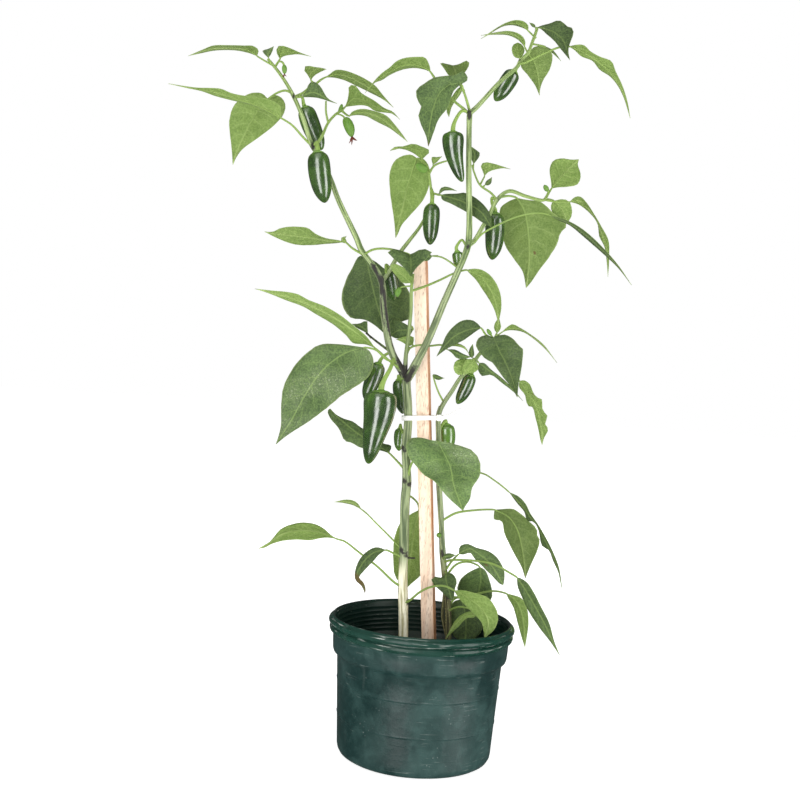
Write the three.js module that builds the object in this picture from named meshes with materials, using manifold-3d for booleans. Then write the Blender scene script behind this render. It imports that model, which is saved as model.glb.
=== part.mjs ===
// A chilli (jalapeno) plant in a nursery pot: two stems tied to a square stake,
// with leaves, flower buds and green pods. Millimetres, +Z up. The origin is the
// centre of the pot's flat underside, +X runs to the right of the plant's front
// and +Y to its back.

import * as THREE from 'three';
import { mergeVertices } from 'three/addons/utils/BufferGeometryUtils.js';
import Module from 'manifold-3d';

const wasm = await Module();
wasm.setup();

// ---------------------------------------------------------------- dimensions

const CLEARANCE = 0.35;

const POT_HEIGHT = 136;
const POT_WALL = 2;
const POT_FLOOR = 3;
const BASE_RADIUS = 70;
const BODY_BOTTOM_RADIUS = 77;
const BODY_TOP_RADIUS = 82.5;
const BAND_RADIUS = 87;
const RIM_RADIUS = 93;
const BAND_BOTTOM = 98;
const BODY_BOTTOM = 8;
const FOOT_CHAMFER = [4.5, 2.2];
const BAND_STEP = [2.5, 4];
const BEAD_RADIUS = 3.2;
const BEAD_ANGLES = [-70, 0, 70];
const BEAD_DROPS = [12.5, 5.2];
const BEAD_SETBACK = 1.2;
const RIDGE_HEIGHTS = [39.5, 73.4];
const RIDGE_HALF = 1.2;
const RIDGE_STAND = 0.6;
const POT_SEGMENTS = 24;
const DRAIN_HOLES = 4;
const DRAIN_RADIUS = 5;
const DRAIN_CIRCLE = 52;
const DRAIN_SIDES = 8;

const SOIL_TOP = 96;
const SOIL_RELIEF = 2.2;
const SOIL_WAVES = [0.11, 0.13, 0.05, 0.09];
const SOIL_RINGS = [54, 27];
const ROOT_DEPTH = 42;

const STAKE_WIDTH = 12.7;
const STAKE_TURN = THREE.MathUtils.degToRad(-13);
const STAKE_BURIED = 66;
const STAKE_TOP_SEEN = [420.5, 258, 9];
const STAKE_RIM_SEEN = [429, 639, 9];

const TIE_HEIGHT = 4.8;
const TIE_THICKNESS = 1.2;
const TIE_MAIN_STEM = [0.2, -15, 5.5];
const TIE_STAKE = [16, -3];
const TIE_SECOND_STEM = [31.3, -3.8, 4.4];
const TIE_SEEN = [408, 417.5, 12];
const TIE_CORNER_RADIUS = 0.5;
const TIE_ROUND_POINTS = 10;
const TIE_HEAD_SIZE = [4.5, 4, 6.5];
const TIE_HEAD_PLACE = [31, -10];
const TIE_TAIL = [[31, -10.5, 2.4], [40, -10.5, 4.5], [47, -10, 8], [53, -9, 11]];
const TIE_TAIL_RADII = [1.6, 1.5, 0.9];

const BLADE_THICKNESS = 0.8;
const STALK_RADIUS = 1.05;

// ---------------------------------------------------------------- front view
// The plant is laid out in a front view, read like a drawing: `column` and `row`
// are millimetres from the view's left and top edges, true to size in the plane
// through the pot's axis, and `depth` is how far behind that plane a point lies.

const VIEW_CENTRE = 400;
const VIEW_DISTANCE = 1050;
const VIEW_EYE = new THREE.Vector3(-36.5, -VIEW_DISTANCE, 366);
const VIEW_TILT = 0.0132;
const VIEW_LEAN = 0.0669;

const viewAxes = frontViewAxes();

function frontViewAxes() {
  const forward = new THREE.Vector3(0, Math.cos(VIEW_TILT), -Math.sin(VIEW_TILT));
  const right = new THREE.Vector3(1, 0, 0);
  const up = new THREE.Vector3().crossVectors(right, forward);
  right.applyAxisAngle(forward, -VIEW_LEAN);
  up.applyAxisAngle(forward, -VIEW_LEAN);
  return { forward, right, up };
}

function seen(column, row, depth) {
  const ray = viewAxes.forward.clone()
    .addScaledVector(viewAxes.right, (column - VIEW_CENTRE) / VIEW_DISTANCE)
    .addScaledVector(viewAxes.up, (VIEW_CENTRE - row) / VIEW_DISTANCE);
  return VIEW_EYE.clone().addScaledVector(ray, (depth - VIEW_EYE.y) / ray.y);
}

const seenPoint = ([column, row, depth]) => seen(column, row, depth);

// -------------------------------------------------------------------- solids

function closedGeometry(points, triangles) {
  const geometry = new THREE.BufferGeometry();
  const numbers = points.flatMap((point) => point.toArray());
  geometry.setAttribute('position', new THREE.Float32BufferAttribute(numbers, 3));
  geometry.setIndex(triangles);
  return geometry;
}

function solid(geometry) {
  geometry.deleteAttribute('normal');
  geometry.deleteAttribute('uv');
  const merged = mergeVertices(geometry, 1e-4);
  return new wasm.Manifold(new wasm.Mesh({
    numProp: 3,
    vertProperties: new Float32Array(merged.attributes.position.array),
    triVerts: new Uint32Array(merged.index.array),
  }));
}

function joined(solids) {
  return solids.reduce((whole, next) => whole.add(next));
}

// The cuts at a fork can leave loose scraps behind.
function mainBody(body) {
  return body.decompose().reduce((main, next) => (next.volume() > main.volume() ? next : main));
}

function geometryOf(body) {
  const mesh = body.getMesh();
  const geometry = new THREE.BufferGeometry();
  geometry.setAttribute('position', new THREE.BufferAttribute(new Float32Array(mesh.vertProperties), 3));
  geometry.setIndex(new THREE.BufferAttribute(new Uint32Array(mesh.triVerts), 1));
  return geometry;
}

// Rings of equal count, with a point closing each end, as one closed skin.
function ringSkin(start, rings, end) {
  const sides = rings[0].length;
  const points = [start, ...rings.flat(), end];
  const triangles = [];
  const at = (ring, side) => 1 + ring * sides + (side % sides);
  for (let side = 0; side < sides; side += 1) {
    triangles.push(0, at(0, side + 1), at(0, side));
    for (let ring = 0; ring < rings.length - 1; ring += 1) {
      triangles.push(at(ring, side), at(ring, side + 1), at(ring + 1, side));
      triangles.push(at(ring, side + 1), at(ring + 1, side + 1), at(ring + 1, side));
    }
    triangles.push(points.length - 1, at(rings.length - 1, side), at(rings.length - 1, side + 1));
  }
  return closedGeometry(points, triangles);
}

// A round bar along a curve, its radius running through `radii` from end to end.
function barAlong(curve, radii, sides, steps) {
  const frames = curve.computeFrenetFrames(steps);
  const rings = [];
  for (let step = 0; step <= steps; step += 1) {
    const along = (step / steps) * (radii.length - 1);
    const low = Math.min(Math.floor(along), radii.length - 2);
    const radius = THREE.MathUtils.lerp(radii[low], radii[low + 1], along - low);
    const centre = curve.getPointAt(step / steps);
    rings.push(ringAround(centre, frames.normals[step], frames.binormals[step], radius, sides));
  }
  return ringSkin(curve.getPointAt(0), rings, curve.getPointAt(1));
}

function ringAround(centre, across, up, radius, sides) {
  return Array.from({ length: sides }, (_, side) => {
    const angle = (side / sides) * Math.PI * 2;
    return centre.clone()
      .addScaledVector(across, Math.cos(angle) * radius)
      .addScaledVector(up, Math.sin(angle) * radius);
  });
}

const smooth = (points) => new THREE.CatmullRomCurve3(points, false, 'centripetal');

// --------------------------------------------------------------- pot and soil

function bead(radius, height) {
  const middle = radius - BEAD_RADIUS;
  return BEAD_ANGLES.map((degrees) => {
    const angle = THREE.MathUtils.degToRad(degrees);
    return [middle + Math.cos(angle) * BEAD_RADIUS, height + Math.sin(angle) * BEAD_RADIUS];
  });
}

function bodyRadius(height) {
  return THREE.MathUtils.mapLinear(height, BODY_BOTTOM, BAND_BOTTOM, BODY_BOTTOM_RADIUS, BODY_TOP_RADIUS);
}

const ridge = (height) => [
  [bodyRadius(height - RIDGE_HALF), height - RIDGE_HALF],
  [bodyRadius(height) + RIDGE_STAND, height],
  [bodyRadius(height + RIDGE_HALF), height + RIDGE_HALF],
];

// The outside from the underside's centre up to the rim, and the inside back down.
function potProfile() {
  const [lowerBead, upperBead] = BEAD_DROPS.map((drop) => POT_HEIGHT - drop);
  const [stepMiddle, stepTop] = BAND_STEP.map((rise) => BAND_BOTTOM + rise);
  const outside = [
    [0, 0], [BASE_RADIUS, 0], [BASE_RADIUS + FOOT_CHAMFER[0], FOOT_CHAMFER[1]],
    [BODY_BOTTOM_RADIUS, BODY_BOTTOM],
    ...RIDGE_HEIGHTS.flatMap(ridge),
    [BODY_TOP_RADIUS, BAND_BOTTOM], [BAND_RADIUS - 1, stepMiddle], [BAND_RADIUS, stepTop],
    [BAND_RADIUS + 1, lowerBead - 1.4 * BEAD_RADIUS],
    ...bead(RIM_RADIUS - BEAD_SETBACK, lowerBead), ...bead(RIM_RADIUS, upperBead),
  ];
  const inside = [
    [RIM_RADIUS - 4, POT_HEIGHT], [RIM_RADIUS - 6, POT_HEIGHT - 0.6], [RIM_RADIUS - 7, POT_HEIGHT - 4],
    [BAND_RADIUS - POT_WALL, stepTop], [BODY_TOP_RADIUS - POT_WALL, BAND_BOTTOM],
    [BODY_BOTTOM_RADIUS - POT_WALL, BODY_BOTTOM], [BASE_RADIUS + 2, POT_FLOOR], [0, POT_FLOOR],
  ];
  return [...outside, ...inside].map(([radius, height]) => new THREE.Vector2(radius, height));
}

// A lathe turns about Y; this stands it up along Z.
function turned(profile, segments) {
  return new THREE.LatheGeometry(profile, segments).rotateX(Math.PI / 2);
}

function potSolid() {
  const holes = Array.from({ length: DRAIN_HOLES }, (_, index) => {
    const angle = (index / DRAIN_HOLES) * Math.PI * 2;
    const bore = new THREE.CylinderGeometry(DRAIN_RADIUS, DRAIN_RADIUS, POT_FLOOR * 4, DRAIN_SIDES);
    bore.rotateX(Math.PI / 2);
    return solid(bore.translate(Math.cos(angle) * DRAIN_CIRCLE, Math.sin(angle) * DRAIN_CIRCLE, 0));
  });
  return solid(turned(potProfile(), POT_SEGMENTS)).subtract(joined(holes));
}

function soilHeight(x, y) {
  const [alongX, alongY, slantX, slantY] = SOIL_WAVES;
  const short = Math.sin(x * alongX + 1) * Math.cos(y * alongY);
  const long = Math.sin(x * slantX + y * slantY);
  return SOIL_TOP + SOIL_RELIEF * (short - 0.5 * long);
}

function soilSolid(cutters) {
  const wallGap = POT_WALL + 2 * CLEARANCE;
  const bottom = POT_FLOOR + CLEARANCE;
  const profile = [
    [0, bottom], [BASE_RADIUS + 0.5, bottom], [BODY_BOTTOM_RADIUS - wallGap, BODY_BOTTOM + 1],
    [bodyRadius(SOIL_TOP) - wallGap, SOIL_TOP], ...SOIL_RINGS.map((radius) => [radius, SOIL_TOP]),
    [0, SOIL_TOP],
  ].map(([radius, height]) => new THREE.Vector2(radius, height));
  const geometry = turned(profile, POT_SEGMENTS);
  const position = geometry.attributes.position;
  for (let index = 0; index < position.count; index += 1) {
    if (position.getZ(index) > SOIL_TOP - 1) {
      position.setZ(index, soilHeight(position.getX(index), position.getY(index)));
    }
  }
  return solid(geometry).subtract(joined(cutters));
}

// -------------------------------------------------------------- stake and tie

function stakeGeometry(extra) {
  const top = seenPoint(STAKE_TOP_SEEN);
  const down = seenPoint(STAKE_RIM_SEEN).sub(top).normalize();
  const foot = top.clone().addScaledVector(down, (top.z - SOIL_TOP + STAKE_BURIED) / -down.z);
  const length = foot.distanceTo(top) + 2 * extra;
  const geometry = new THREE.BoxGeometry(STAKE_WIDTH + 2 * extra, STAKE_WIDTH + 2 * extra, length);
  geometry.rotateZ(STAKE_TURN);
  geometry.rotateY(Math.atan2(down.x, down.z) - Math.PI);
  const middle = foot.clone().add(top).multiplyScalar(0.5);
  return geometry.translate(middle.x, middle.y, middle.z);
}

function hull(points) {
  const sorted = [...points].sort((a, b) => a.x - b.x || a.y - b.y);
  const turn = (o, a, b) => (a.x - o.x) * (b.y - o.y) - (a.y - o.y) * (b.x - o.x);
  const half = (list) => list.reduce((chain, point) => {
    while (chain.length > 1 && turn(chain[chain.length - 2], chain[chain.length - 1], point) <= 0) {
      chain.pop();
    }
    chain.push(point);
    return chain;
  }, []).slice(0, -1);
  return [...half(sorted), ...half([...sorted].reverse())];
}

// Points round a circle that stands `room` off another one.
function roundPoints([x, y, radius], room) {
  return Array.from({ length: TIE_ROUND_POINTS }, (_, index) => {
    const angle = (index / TIE_ROUND_POINTS) * Math.PI * 2;
    const reach = radius + room;
    return new THREE.Vector2(x + Math.cos(angle) * reach, y + Math.sin(angle) * reach);
  });
}

// The loop that a taut strap makes round the two stems and the stake, seen from
// above, with its corner at the left edge of the strap's own plane.
function tieOutline(room) {
  const corners = [45, 135, 225, 315].map((degrees) => THREE.MathUtils.degToRad(degrees) + STAKE_TURN);
  const stakeRounds = corners.map((angle) => [
    TIE_STAKE[0] + Math.cos(angle) * STAKE_WIDTH * Math.SQRT1_2,
    TIE_STAKE[1] + Math.sin(angle) * STAKE_WIDTH * Math.SQRT1_2,
    TIE_CORNER_RADIUS,
  ]);
  const rounds = [TIE_MAIN_STEM, ...stakeRounds, TIE_SECOND_STEM];
  return hull(rounds.flatMap((round) => roundPoints(round, room)));
}

function tieSolid() {
  const shape = new THREE.Shape(tieOutline(TIE_THICKNESS));
  shape.holes.push(new THREE.Path(tieOutline(0)));
  const loop = new THREE.ExtrudeGeometry(shape, { depth: TIE_HEIGHT, bevelEnabled: false });
  const head = new THREE.BoxGeometry(...TIE_HEAD_SIZE).translate(...TIE_HEAD_PLACE, TIE_HEIGHT / 2);
  const tailCurve = smooth(TIE_TAIL.map((point) => new THREE.Vector3(...point)));
  const tail = barAlong(tailCurve, TIE_TAIL_RADII, 4, 4);
  const place = seenPoint(TIE_SEEN);
  const parts = [loop, head, tail].map((geometry) => {
    geometry.rotateY(-VIEW_LEAN);
    return solid(geometry.translate(place.x, place.y, place.z - TIE_HEIGHT / 2));
  });
  return joined(parts);
}

// ---------------------------------------------------------------------- stems
// A stem is a list of [column, row, depth] points from its foot to its tip, with
// the radii that it runs through on the way. `roots` marks a stem that stands in
// the soil: it goes straight on down from its first point.

const STEMS = {
  main_stem: [
    {
      roots: true, radii: [5.4, 5.2, 4.8, 4.6, 4.6, 4.3],
      points: [[403, 639, -3], [403, 604, -3], [402.5, 585, -3], [403.5, 553, -3], [405, 500, -3],
        [406.5, 483, -3], [406, 451, -3], [408, 417, -3], [406, 379, -3]],
    },
    {
      radii: [1.2, 0.8],
      points: [[404, 557, -3], [410, 558, -4], [415, 558, -5]],
    },
  ],
  left_branch: [
    {
      radii: [3.9, 3.5, 3, 2.6, 2.2, 1.5],
      points: [[405, 376, -4], [391, 350, -6], [384, 310, -8], [381, 280, -10], [361, 249, -12],
        [357, 239, -12], [338.5, 200, -15], [331, 180, -19], [322, 160, -22], [312, 145, -22],
        [303, 118, -19], [293, 95, -11], [283, 78, -5], [274, 66, -2], [268, 59, -1]],
    },
    {
      radii: [1.7, 1.2],
      points: [[313, 148, -21], [321, 138, -17], [328, 123, -10], [336, 114, -5], [343, 110, 0]],
    },
    {
      radii: [1.2, 0.9],
      points: [[328, 122, -10], [326, 112, -9], [326, 101, -8]],
    },
    {
      radii: [1.6, 1.1],
      points: [[295, 97, -12], [303, 93, -8], [310, 87, -2], [317, 83, 2]],
    },
    {
      radii: [1.2, 0.8],
      points: [[388, 350, -6], [376, 341, -4], [366, 333, -2]],
    },
  ],
  centre_twig: [
    {
      radii: [2.6, 2.2, 1.7, 1.4],
      points: [[382, 281, -9], [388, 273, -1], [395, 261, 6], [402, 250, 18], [409, 241, 28],
        [421, 225, 42], [431, 204, 46], [431, 190, 44], [429, 173, 40]],
    },
    {
      radii: [1.4, 0.9],
      points: [[429, 174, 40], [434, 166, 39], [443, 162, 37], [447, 161, 36]],
    },
  ],
  centre_shoot: [
    {
      radii: [2.2, 2, 1.6],
      points: [[405, 378, -6], [406, 355, -10], [408, 340, -11], [411, 310, -11], [411.5, 289, -11],
        [413, 274, -9]],
    },
    {
      radii: [1.1, 1],
      points: [[406, 357, -10], [410, 348, -9], [420, 345, -8], [428, 346, -8], [442, 345, -8],
        [448, 348, -8]],
    },
    {
      radii: [0.9, 0.8],
      points: [[411, 286, -11], [402, 287, -12], [398, 289, -12]],
    },
  ],
  right_branch: [
    {
      radii: [4.3, 3.9, 3.5, 3.1, 2.9, 2.7],
      points: [[407, 379, -5], [412, 371, -10], [420, 356, -15], [428, 340, -19], [445, 300, -23],
        [457, 273, -26], [467, 249, -27], [469, 236, -27], [468.7, 166, -29], [469.5, 116, -30],
        [470, 111, -30]],
    },
    {
      radii: [2.4, 2.2, 1.8, 1.5],
      points: [[470, 113, -30], [476, 108, -30], [500, 82, -27], [518, 66, -20], [520, 61, -18],
        [528, 53, -16], [532, 43, -14], [536, 32, -12], [537, 29, -11]],
    },
    {
      radii: [1.4, 1.1],
      points: [[470, 113, -30], [468, 105, -31], [464, 92, -32], [462, 86, -31]],
    },
    {
      radii: [1.4, 1.2],
      points: [[470, 115, -30], [465, 110, -32], [453, 100, -32], [443, 88, -29], [434, 77, -24]],
    },
    {
      radii: [1, 0.8],
      points: [[460, 270, -25], [450, 262, -20], [441, 257, -17], [433, 256, -16]],
    },
  ],
  right_side_branch: [
    {
      radii: [2.5, 2.2, 1.9, 1.5],
      points: [[469, 245, -27], [475, 240, -22], [482, 228, -17], [489, 216, -13], [497, 200, -8],
        [509, 191, -1], [525, 196, 3], [540, 200, 7], [544, 200, 9], [549, 192, 14]],
    },
    {
      radii: [1.2, 0.9],
      points: [[497, 200, -8], [491, 193, -6], [480, 185, -4], [474, 172, -3], [472, 165, -3]],
    },
  ],
  second_stem: [
    {
      roots: true, radii: [3.8, 3.6, 3.4, 3.1, 3, 2.8],
      points: [[448, 639, 12], [448, 616, 12], [447, 595, 12], [444.5, 574, 12], [442.5, 553, 12],
        [441, 519, 11], [439, 485, 10], [438.5, 440, 10], [438.5, 415, 9], [441, 407, 7]],
    },
    {
      radii: [1.7, 1.4],
      points: [[446, 634, 13], [442.5, 616, 17], [444, 596, 17], [446, 574, 13]],
    },
  ],
  second_shoot: [
    {
      radii: [2.6, 2.2, 2, 1.6],
      points: [[440.5, 409, 7.5], [445, 401, 4], [452, 391, 0], [461, 377, -3], [470, 369, -3],
        [478, 356, 0], [488, 345, 3], [495, 338, 4], [497, 334, 4]],
    },
  ],
};

// --------------------------------------------------------------------- leaves
// A leaf grows on `stem`: its stalk's points run from the stem to the blade, its
// rib's points from the blade's base to its tip. `left` and `right` are the two
// halves, as going from base to tip: [how far the edge lies to the side in the
// front view, how much deeper it lies than the rib], where the blade is widest.
// `leftEdge` and `rightEdge` draw an edge's [column, row] points from base to tip
// where it isn't an even curve. `turned` leaves show their pale underside to the
// front. `peak` is how far along the rib the widest place is.

const LEAVES = [
  {
    stem: 'left_branch', name: 'crest', turned: true, left: [4.5, 12], right: [5, -12],
    stalk: [[274, 66, -2], [266, 61.5, 0]],
    rib: [[257, 56, 1], [250, 50.5, 1.5], [238, 48.5, 1], [222, 48, -1], [207, 49.5, -3], [188, 56, -5]],
    leftEdge: [[249, 53], [239, 50.8], [229, 50], [214, 50.6], [202, 53]],
    rightEdge: [[258.5, 50], [253, 46], [243, 45.6], [226, 45.2], [213, 45.6], [203, 49.5]],
  },
  {
    stem: 'left_branch', name: 'crest_small', left: [5, 1], right: [3, -1],
    stalk: [[272, 64, -2]],
    rib: [[268.5, 58, -3], [269, 53, -6], [273.8, 46.3, -9]],
    leftEdge: [[264, 53.5], [262.5, 50.6], [268, 49]],
    rightEdge: [[270.5, 55], [272.5, 51]],
  },
  {
    stem: 'left_branch', name: 'crest_right', turned: true, left: [6, -5], right: [5, 5],
    stalk: [[275, 67, -2], [277.5, 63, -1]],
    rib: [[280, 59, 0], [281.5, 53, 3], [289, 51.5, 6], [298, 53, 9], [311, 56.5, 12]],
    leftEdge: [[276.5, 52], [277, 47.5], [281, 45.6], [290, 48.2], [300, 52.6]],
    rightEdge: [[283, 56.5], [290, 55], [298, 54.2]],
  },
  {
    stem: 'left_branch', name: 'hanging', turned: true, peak: 0.3, left: [24, 2], right: [25, 0],
    stalk: [[292, 93, -10], [285, 90.5, -4], [277, 93, 2]],
    rib: [[268, 99, 6], [259.6, 108, 12], [252, 120, 20], [245, 134, 28], [238, 150, 37],
      [232.8, 165, 45]],
    leftEdge: [[272, 95], [279, 96], [284.5, 102], [285.5, 109], [281, 118], [268.5, 130], [255, 140],
      [243, 148.7], [236.5, 157]],
    rightEdge: [[262, 93.5], [254, 92.6], [244, 96], [236, 103], [230.5, 113], [229.2, 124],
      [230.5, 138], [232, 153]],
  },
  {
    stem: 'left_branch', name: 'long_left', turned: true, peak: 0.28, left: [3, 8], right: [10, -6],
    stalk: [[313, 147, -21], [303, 137, -24], [292, 125, -24]],
    rib: [[281, 118, -22], [262, 107.5, -25], [240, 100, -30], [224, 94.5, -34], [205, 90, -38],
      [187, 87.6, -42], [168, 83.5, -45]],
    leftEdge: [[270, 113.5], [255, 106.5], [240, 102.2], [228, 99.4], [214, 95.6], [202, 91.2],
      [187, 88]],
    rightEdge: [[280, 106], [272, 100.5], [258, 97], [243, 95.6], [231, 93], [221, 88.8], [210, 88],
      [196, 87.6]],
  },
  {
    stem: 'left_branch', name: 'shoot_top', turned: true, peak: 0.4, left: [9, 1], right: [11, -1],
    stalk: [[315, 84, 1]],
    rib: [[311, 80.5, 0], [311, 74, 5], [315.5, 70, 9], [326.4, 69.2, 12]],
    leftEdge: [[307.5, 74.5], [303.8, 69], [306.5, 65.2], [312, 66.6], [320, 67.6]],
    rightEdge: [[313, 77], [317, 73.8], [322, 71.2]],
  },
  {
    stem: 'left_branch', name: 'shoot_front', left: [11, -2], right: [4, 4],
    stalk: [[296, 97, -12]],
    rib: [[301, 97, -14], [309, 93, -16], [317, 93.5, -22], [325, 98, -28], [337, 103.6, -36]],
    leftEdge: [[306, 91.5], [309, 83.5], [313, 81.6], [319, 84.6], [324.5, 93.5], [327.5, 98.3]],
    rightEdge: [[308, 97.2], [316, 97.6], [323.5, 99.4], [330, 101.6]],
  },
  {
    stem: 'left_branch', name: 'arched_right', turned: true, left: [7, -9], right: [7, 9],
    stalk: [[316, 84, 2], [320, 80.5, 3]],
    rib: [[325, 77.5, 4], [337, 74, 8], [350, 77, 12], [365, 85, 17], [378, 94.5, 21],
      [393.6, 107.6, 25]],
    leftEdge: [[330.5, 73.6], [335.5, 70], [345, 70.6], [355, 74], [366.5, 79.7], [376, 86.5],
      [382.5, 94.6]],
    rightEdge: [[333, 77.5], [345, 80.5], [358, 86.6], [371, 93], [380, 97.6], [387, 102]],
  },
  {
    stem: 'left_branch', name: 'right_high', turned: true, left: [12, -6], right: [6, 6],
    stalk: [[342, 110, 0]],
    rib: [[345, 107, 2], [353, 99, 8], [362, 100.5, 14], [374, 106, 22], [385, 110.5, 28],
      [393, 113.5, 31], [400, 119.5, 34]],
    leftEdge: [[347.6, 100], [348.8, 92], [349.2, 85.8], [355.5, 85.6], [361, 92.8], [374, 100.4],
      [384.5, 108.2], [392, 111.2]],
    rightEdge: [[353, 106], [361, 105.2], [368, 106.4], [375, 111], [386, 112.8], [392, 113.6]],
  },
  {
    stem: 'left_branch', name: 'right_low', turned: true, left: [5, -9], right: [6, 9],
    stalk: [[342, 111, -1]],
    rib: [[349, 116, -4], [358, 112.5, -5], [370, 113.5, -5], [383, 119, -4], [394, 128.5, -2],
      [407.7, 142, 0]],
    leftEdge: [[352.5, 111.6], [362, 108.9], [375, 111.3], [386, 115.4], [394.5, 124.3], [401.5, 133.2]],
    rightEdge: [[358, 115], [366.5, 116.3], [378, 122.4], [389, 127.8], [399, 135]],
  },
  {
    stem: 'left_branch', name: 'middle_left', turned: true, left: [8.5, 9], right: [9, -9],
    stalk: [[362, 254, -12], [352, 248, -9]],
    rib: [[345, 242, -6], [330, 240.5, -3], [314, 238, 0], [298, 236, 2], [280, 234, 6],
      [264.3, 231.5, 10]],
    leftEdge: [[335, 243.2], [324, 244], [311, 245.2], [298, 244.8], [287, 242.2], [276, 237.6],
      [268.5, 233.8]],
    rightEdge: [[338, 240.2], [326, 238.2], [315.5, 233.8], [308, 228.2], [300, 226.8], [288, 226.7],
      [279, 228.6], [274.5, 231.2], [269, 232]],
  },
  {
    stem: 'left_branch', name: 'middle_curl', turned: true, left: [2, 1], right: [3, -1],
    stalk: [[352, 248, -9]],
    rib: [[346.5, 243, -8], [342.5, 239.5, -7], [346.5, 236, -6]],
  },
  {
    stem: 'left_branch', name: 'broad_rear', peak: 0.42, left: [34, -3], right: [33, 3],
    stalk: [[377, 276, -11], [374, 267, 14], [370, 259, 42]],
    rib: [[366, 257, 50], [371, 280, 44], [378, 308, 34], [388, 337.5, 22]],
    leftEdge: [[374.5, 261], [383, 267.5], [395, 276], [408, 289], [411.5, 303], [409.5, 318.5],
      [401, 322], [393, 331]],
    rightEdge: [[359.6, 256], [352, 268], [346.5, 279], [342.3, 291], [342.4, 304], [351, 317.8],
      [364, 319.5], [375.5, 325.8], [384, 333.5]],
  },
  {
    stem: 'left_branch', name: 'v_leaf', peak: 0.36, left: [20, -3], right: [20, -1],
    stalk: [[363, 255, -12], [372, 250, -18], [381, 248.6, -24], [392, 249.5, -28], [402, 252, -31]],
    rib: [[409.5, 254.5, -33], [411, 263, -40], [411, 277, -50]],
    leftEdge: [[414.5, 252.6], [419, 250], [427, 249.1], [431.6, 251.8], [430, 255], [421.8, 262.7],
      [414.5, 270]],
    rightEdge: [[404.5, 252.8], [399, 249.8], [391, 249], [387.5, 251], [391.5, 256.6], [399, 263],
      [406, 270]],
  },
  {
    stem: 'left_branch', name: 'pale_long', turned: true, left: [7, 10], right: [7, -10],
    stalk: [[402, 370, -5], [391, 362, -14], [381, 353, -17]],
    rib: [[375, 348, -17], [362, 336, -16.5], [345, 324, -16], [325, 312, -14], [303, 302, -12],
      [280, 294.6, -10], [254.5, 288.7, -7]],
    leftEdge: [[366, 344.6], [353, 343], [346, 335], [334, 325], [316, 314], [303, 306.6], [284, 299.4],
      [268, 293]],
    rightEdge: [[366, 336], [352, 324.4], [340, 315], [325, 306.4], [308, 299.8], [298, 294.4],
      [288, 292.2], [270, 290.4]],
  },
  {
    stem: 'left_branch', name: 'front_left', peak: 0.36, left: [34, 3], right: [22, -3],
    stalk: [[397, 362, -6], [386, 359, -20], [376, 350, -24]],
    rib: [[364, 347.5, -26], [347, 352, -28], [330, 363, -33], [316, 378, -38], [304, 397, -44],
      [292, 419, -52], [275.7, 444.6, -60]],
    leftEdge: [[370, 351.5], [374, 363], [367, 378], [351, 389], [337, 399], [321, 412.6], [302, 425.8],
      [286, 436.2]],
    rightEdge: [[352, 345.6], [335, 344], [320, 344.6], [304, 355], [290, 373], [282.5, 391],
      [281.2, 408], [281, 425], [278, 438]],
  },
  {
    stem: 'left_branch', name: 'twig_leaf', left: [3, 2], right: [5, -2],
    stalk: [[371, 338, -3]],
    rib: [[368, 334, -2], [363, 328, 0], [352, 324, 3]],
    leftEdge: [[364, 331.5], [358, 328.5]],
    rightEdge: [[367.5, 327], [366.8, 320.4], [360, 323.4]],
  },
  {
    stem: 'main_stem', name: 'below_fork_left', left: [11, -3], right: [10, 6],
    stalk: [[405, 470, -3], [397, 461, 3]],
    rib: [[389, 453, 7], [372, 443, 10], [356, 432, 11], [341, 420, 12], [330, 408.5, 13]],
    leftEdge: [[380, 450.5], [371, 449.5], [360, 447.5], [352, 443], [345, 441], [339, 429],
      [330.5, 418.5], [327.6, 411]],
    rightEdge: [[391.5, 446], [382, 443], [370, 432], [361, 427.5], [353, 421.6], [344, 418.8],
      [335, 413.8]],
  },
  {
    stem: 'main_stem', name: 'big_centre', peak: 0.3, left: [31, -3], right: [38, -5],
    stalk: [[407, 484, -3], [411, 465, -9], [421, 449, -13], [432, 443, -14]],
    rib: [[438, 441, -15], [443, 451.6, -20], [450, 466, -30], [454, 486, -47], [463, 510.8, -64]],
    leftEdge: [[446, 442], [458, 445], [469, 448.8], [478.5, 457.5], [481, 466], [479, 477], [472, 488],
      [470, 499], [465, 506.5]],
    rightEdge: [[430, 440], [421, 437.6], [411, 438], [405.5, 445], [407.5, 455.5], [416, 465.6],
      [424, 474.8], [434, 481], [445, 494.4], [457, 505.6]],
  },
  {
    stem: 'main_stem', name: 'low_left', turned: true, peak: 0.42, left: [8, -9], right: [9, 9],
    stalk: [[402, 587, -3], [394, 582, -8], [378, 567, -10], [360, 553, -11], [344, 541, -11]],
    rib: [[337, 539, -11], [325, 534, -11.5], [305, 531, -13], [285, 533.5, -15.5], [270, 542, -18],
      [258.5, 548.6, -20]],
    leftEdge: [[328, 537.6], [320, 538.3], [309, 540.2], [296, 539.5], [283, 540.8], [272, 543.8],
      [264, 547.8]],
    rightEdge: [[331, 535], [324, 528.8], [315, 524], [303, 522.5], [291, 524.4], [281, 529], [273, 538],
      [266, 545.6]],
  },
  {
    stem: 'main_stem', name: 'end_on_left', turned: true, left: [1.5, 7], right: [3, -7],
    stalk: [[404, 552, -3], [393, 540, 2], [376, 523, 6], [366, 513, 8]],
    rib: [[361, 509, 9], [354, 504, 10], [345, 502, 12], [334, 502, 14]],
  },
  {
    stem: 'main_stem', name: 'withered', left: [6, -3], right: [5, 3],
    stalk: [[403, 558, -4], [395, 554, -8]],
    rib: [[386, 550, -11], [373, 553, -13], [362, 564, -15], [357, 577, -16], [363, 585, -18],
      [365, 593.5, -19]],
    leftEdge: [[380, 554], [372, 562.5], [363, 572], [359, 577.5], [363.5, 582.5], [365.6, 589]],
    rightEdge: [[376.8, 547.2], [368, 550.6], [359.5, 559.5], [355, 572], [355.5, 580], [362, 586.5]],
  },
  {
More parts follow.
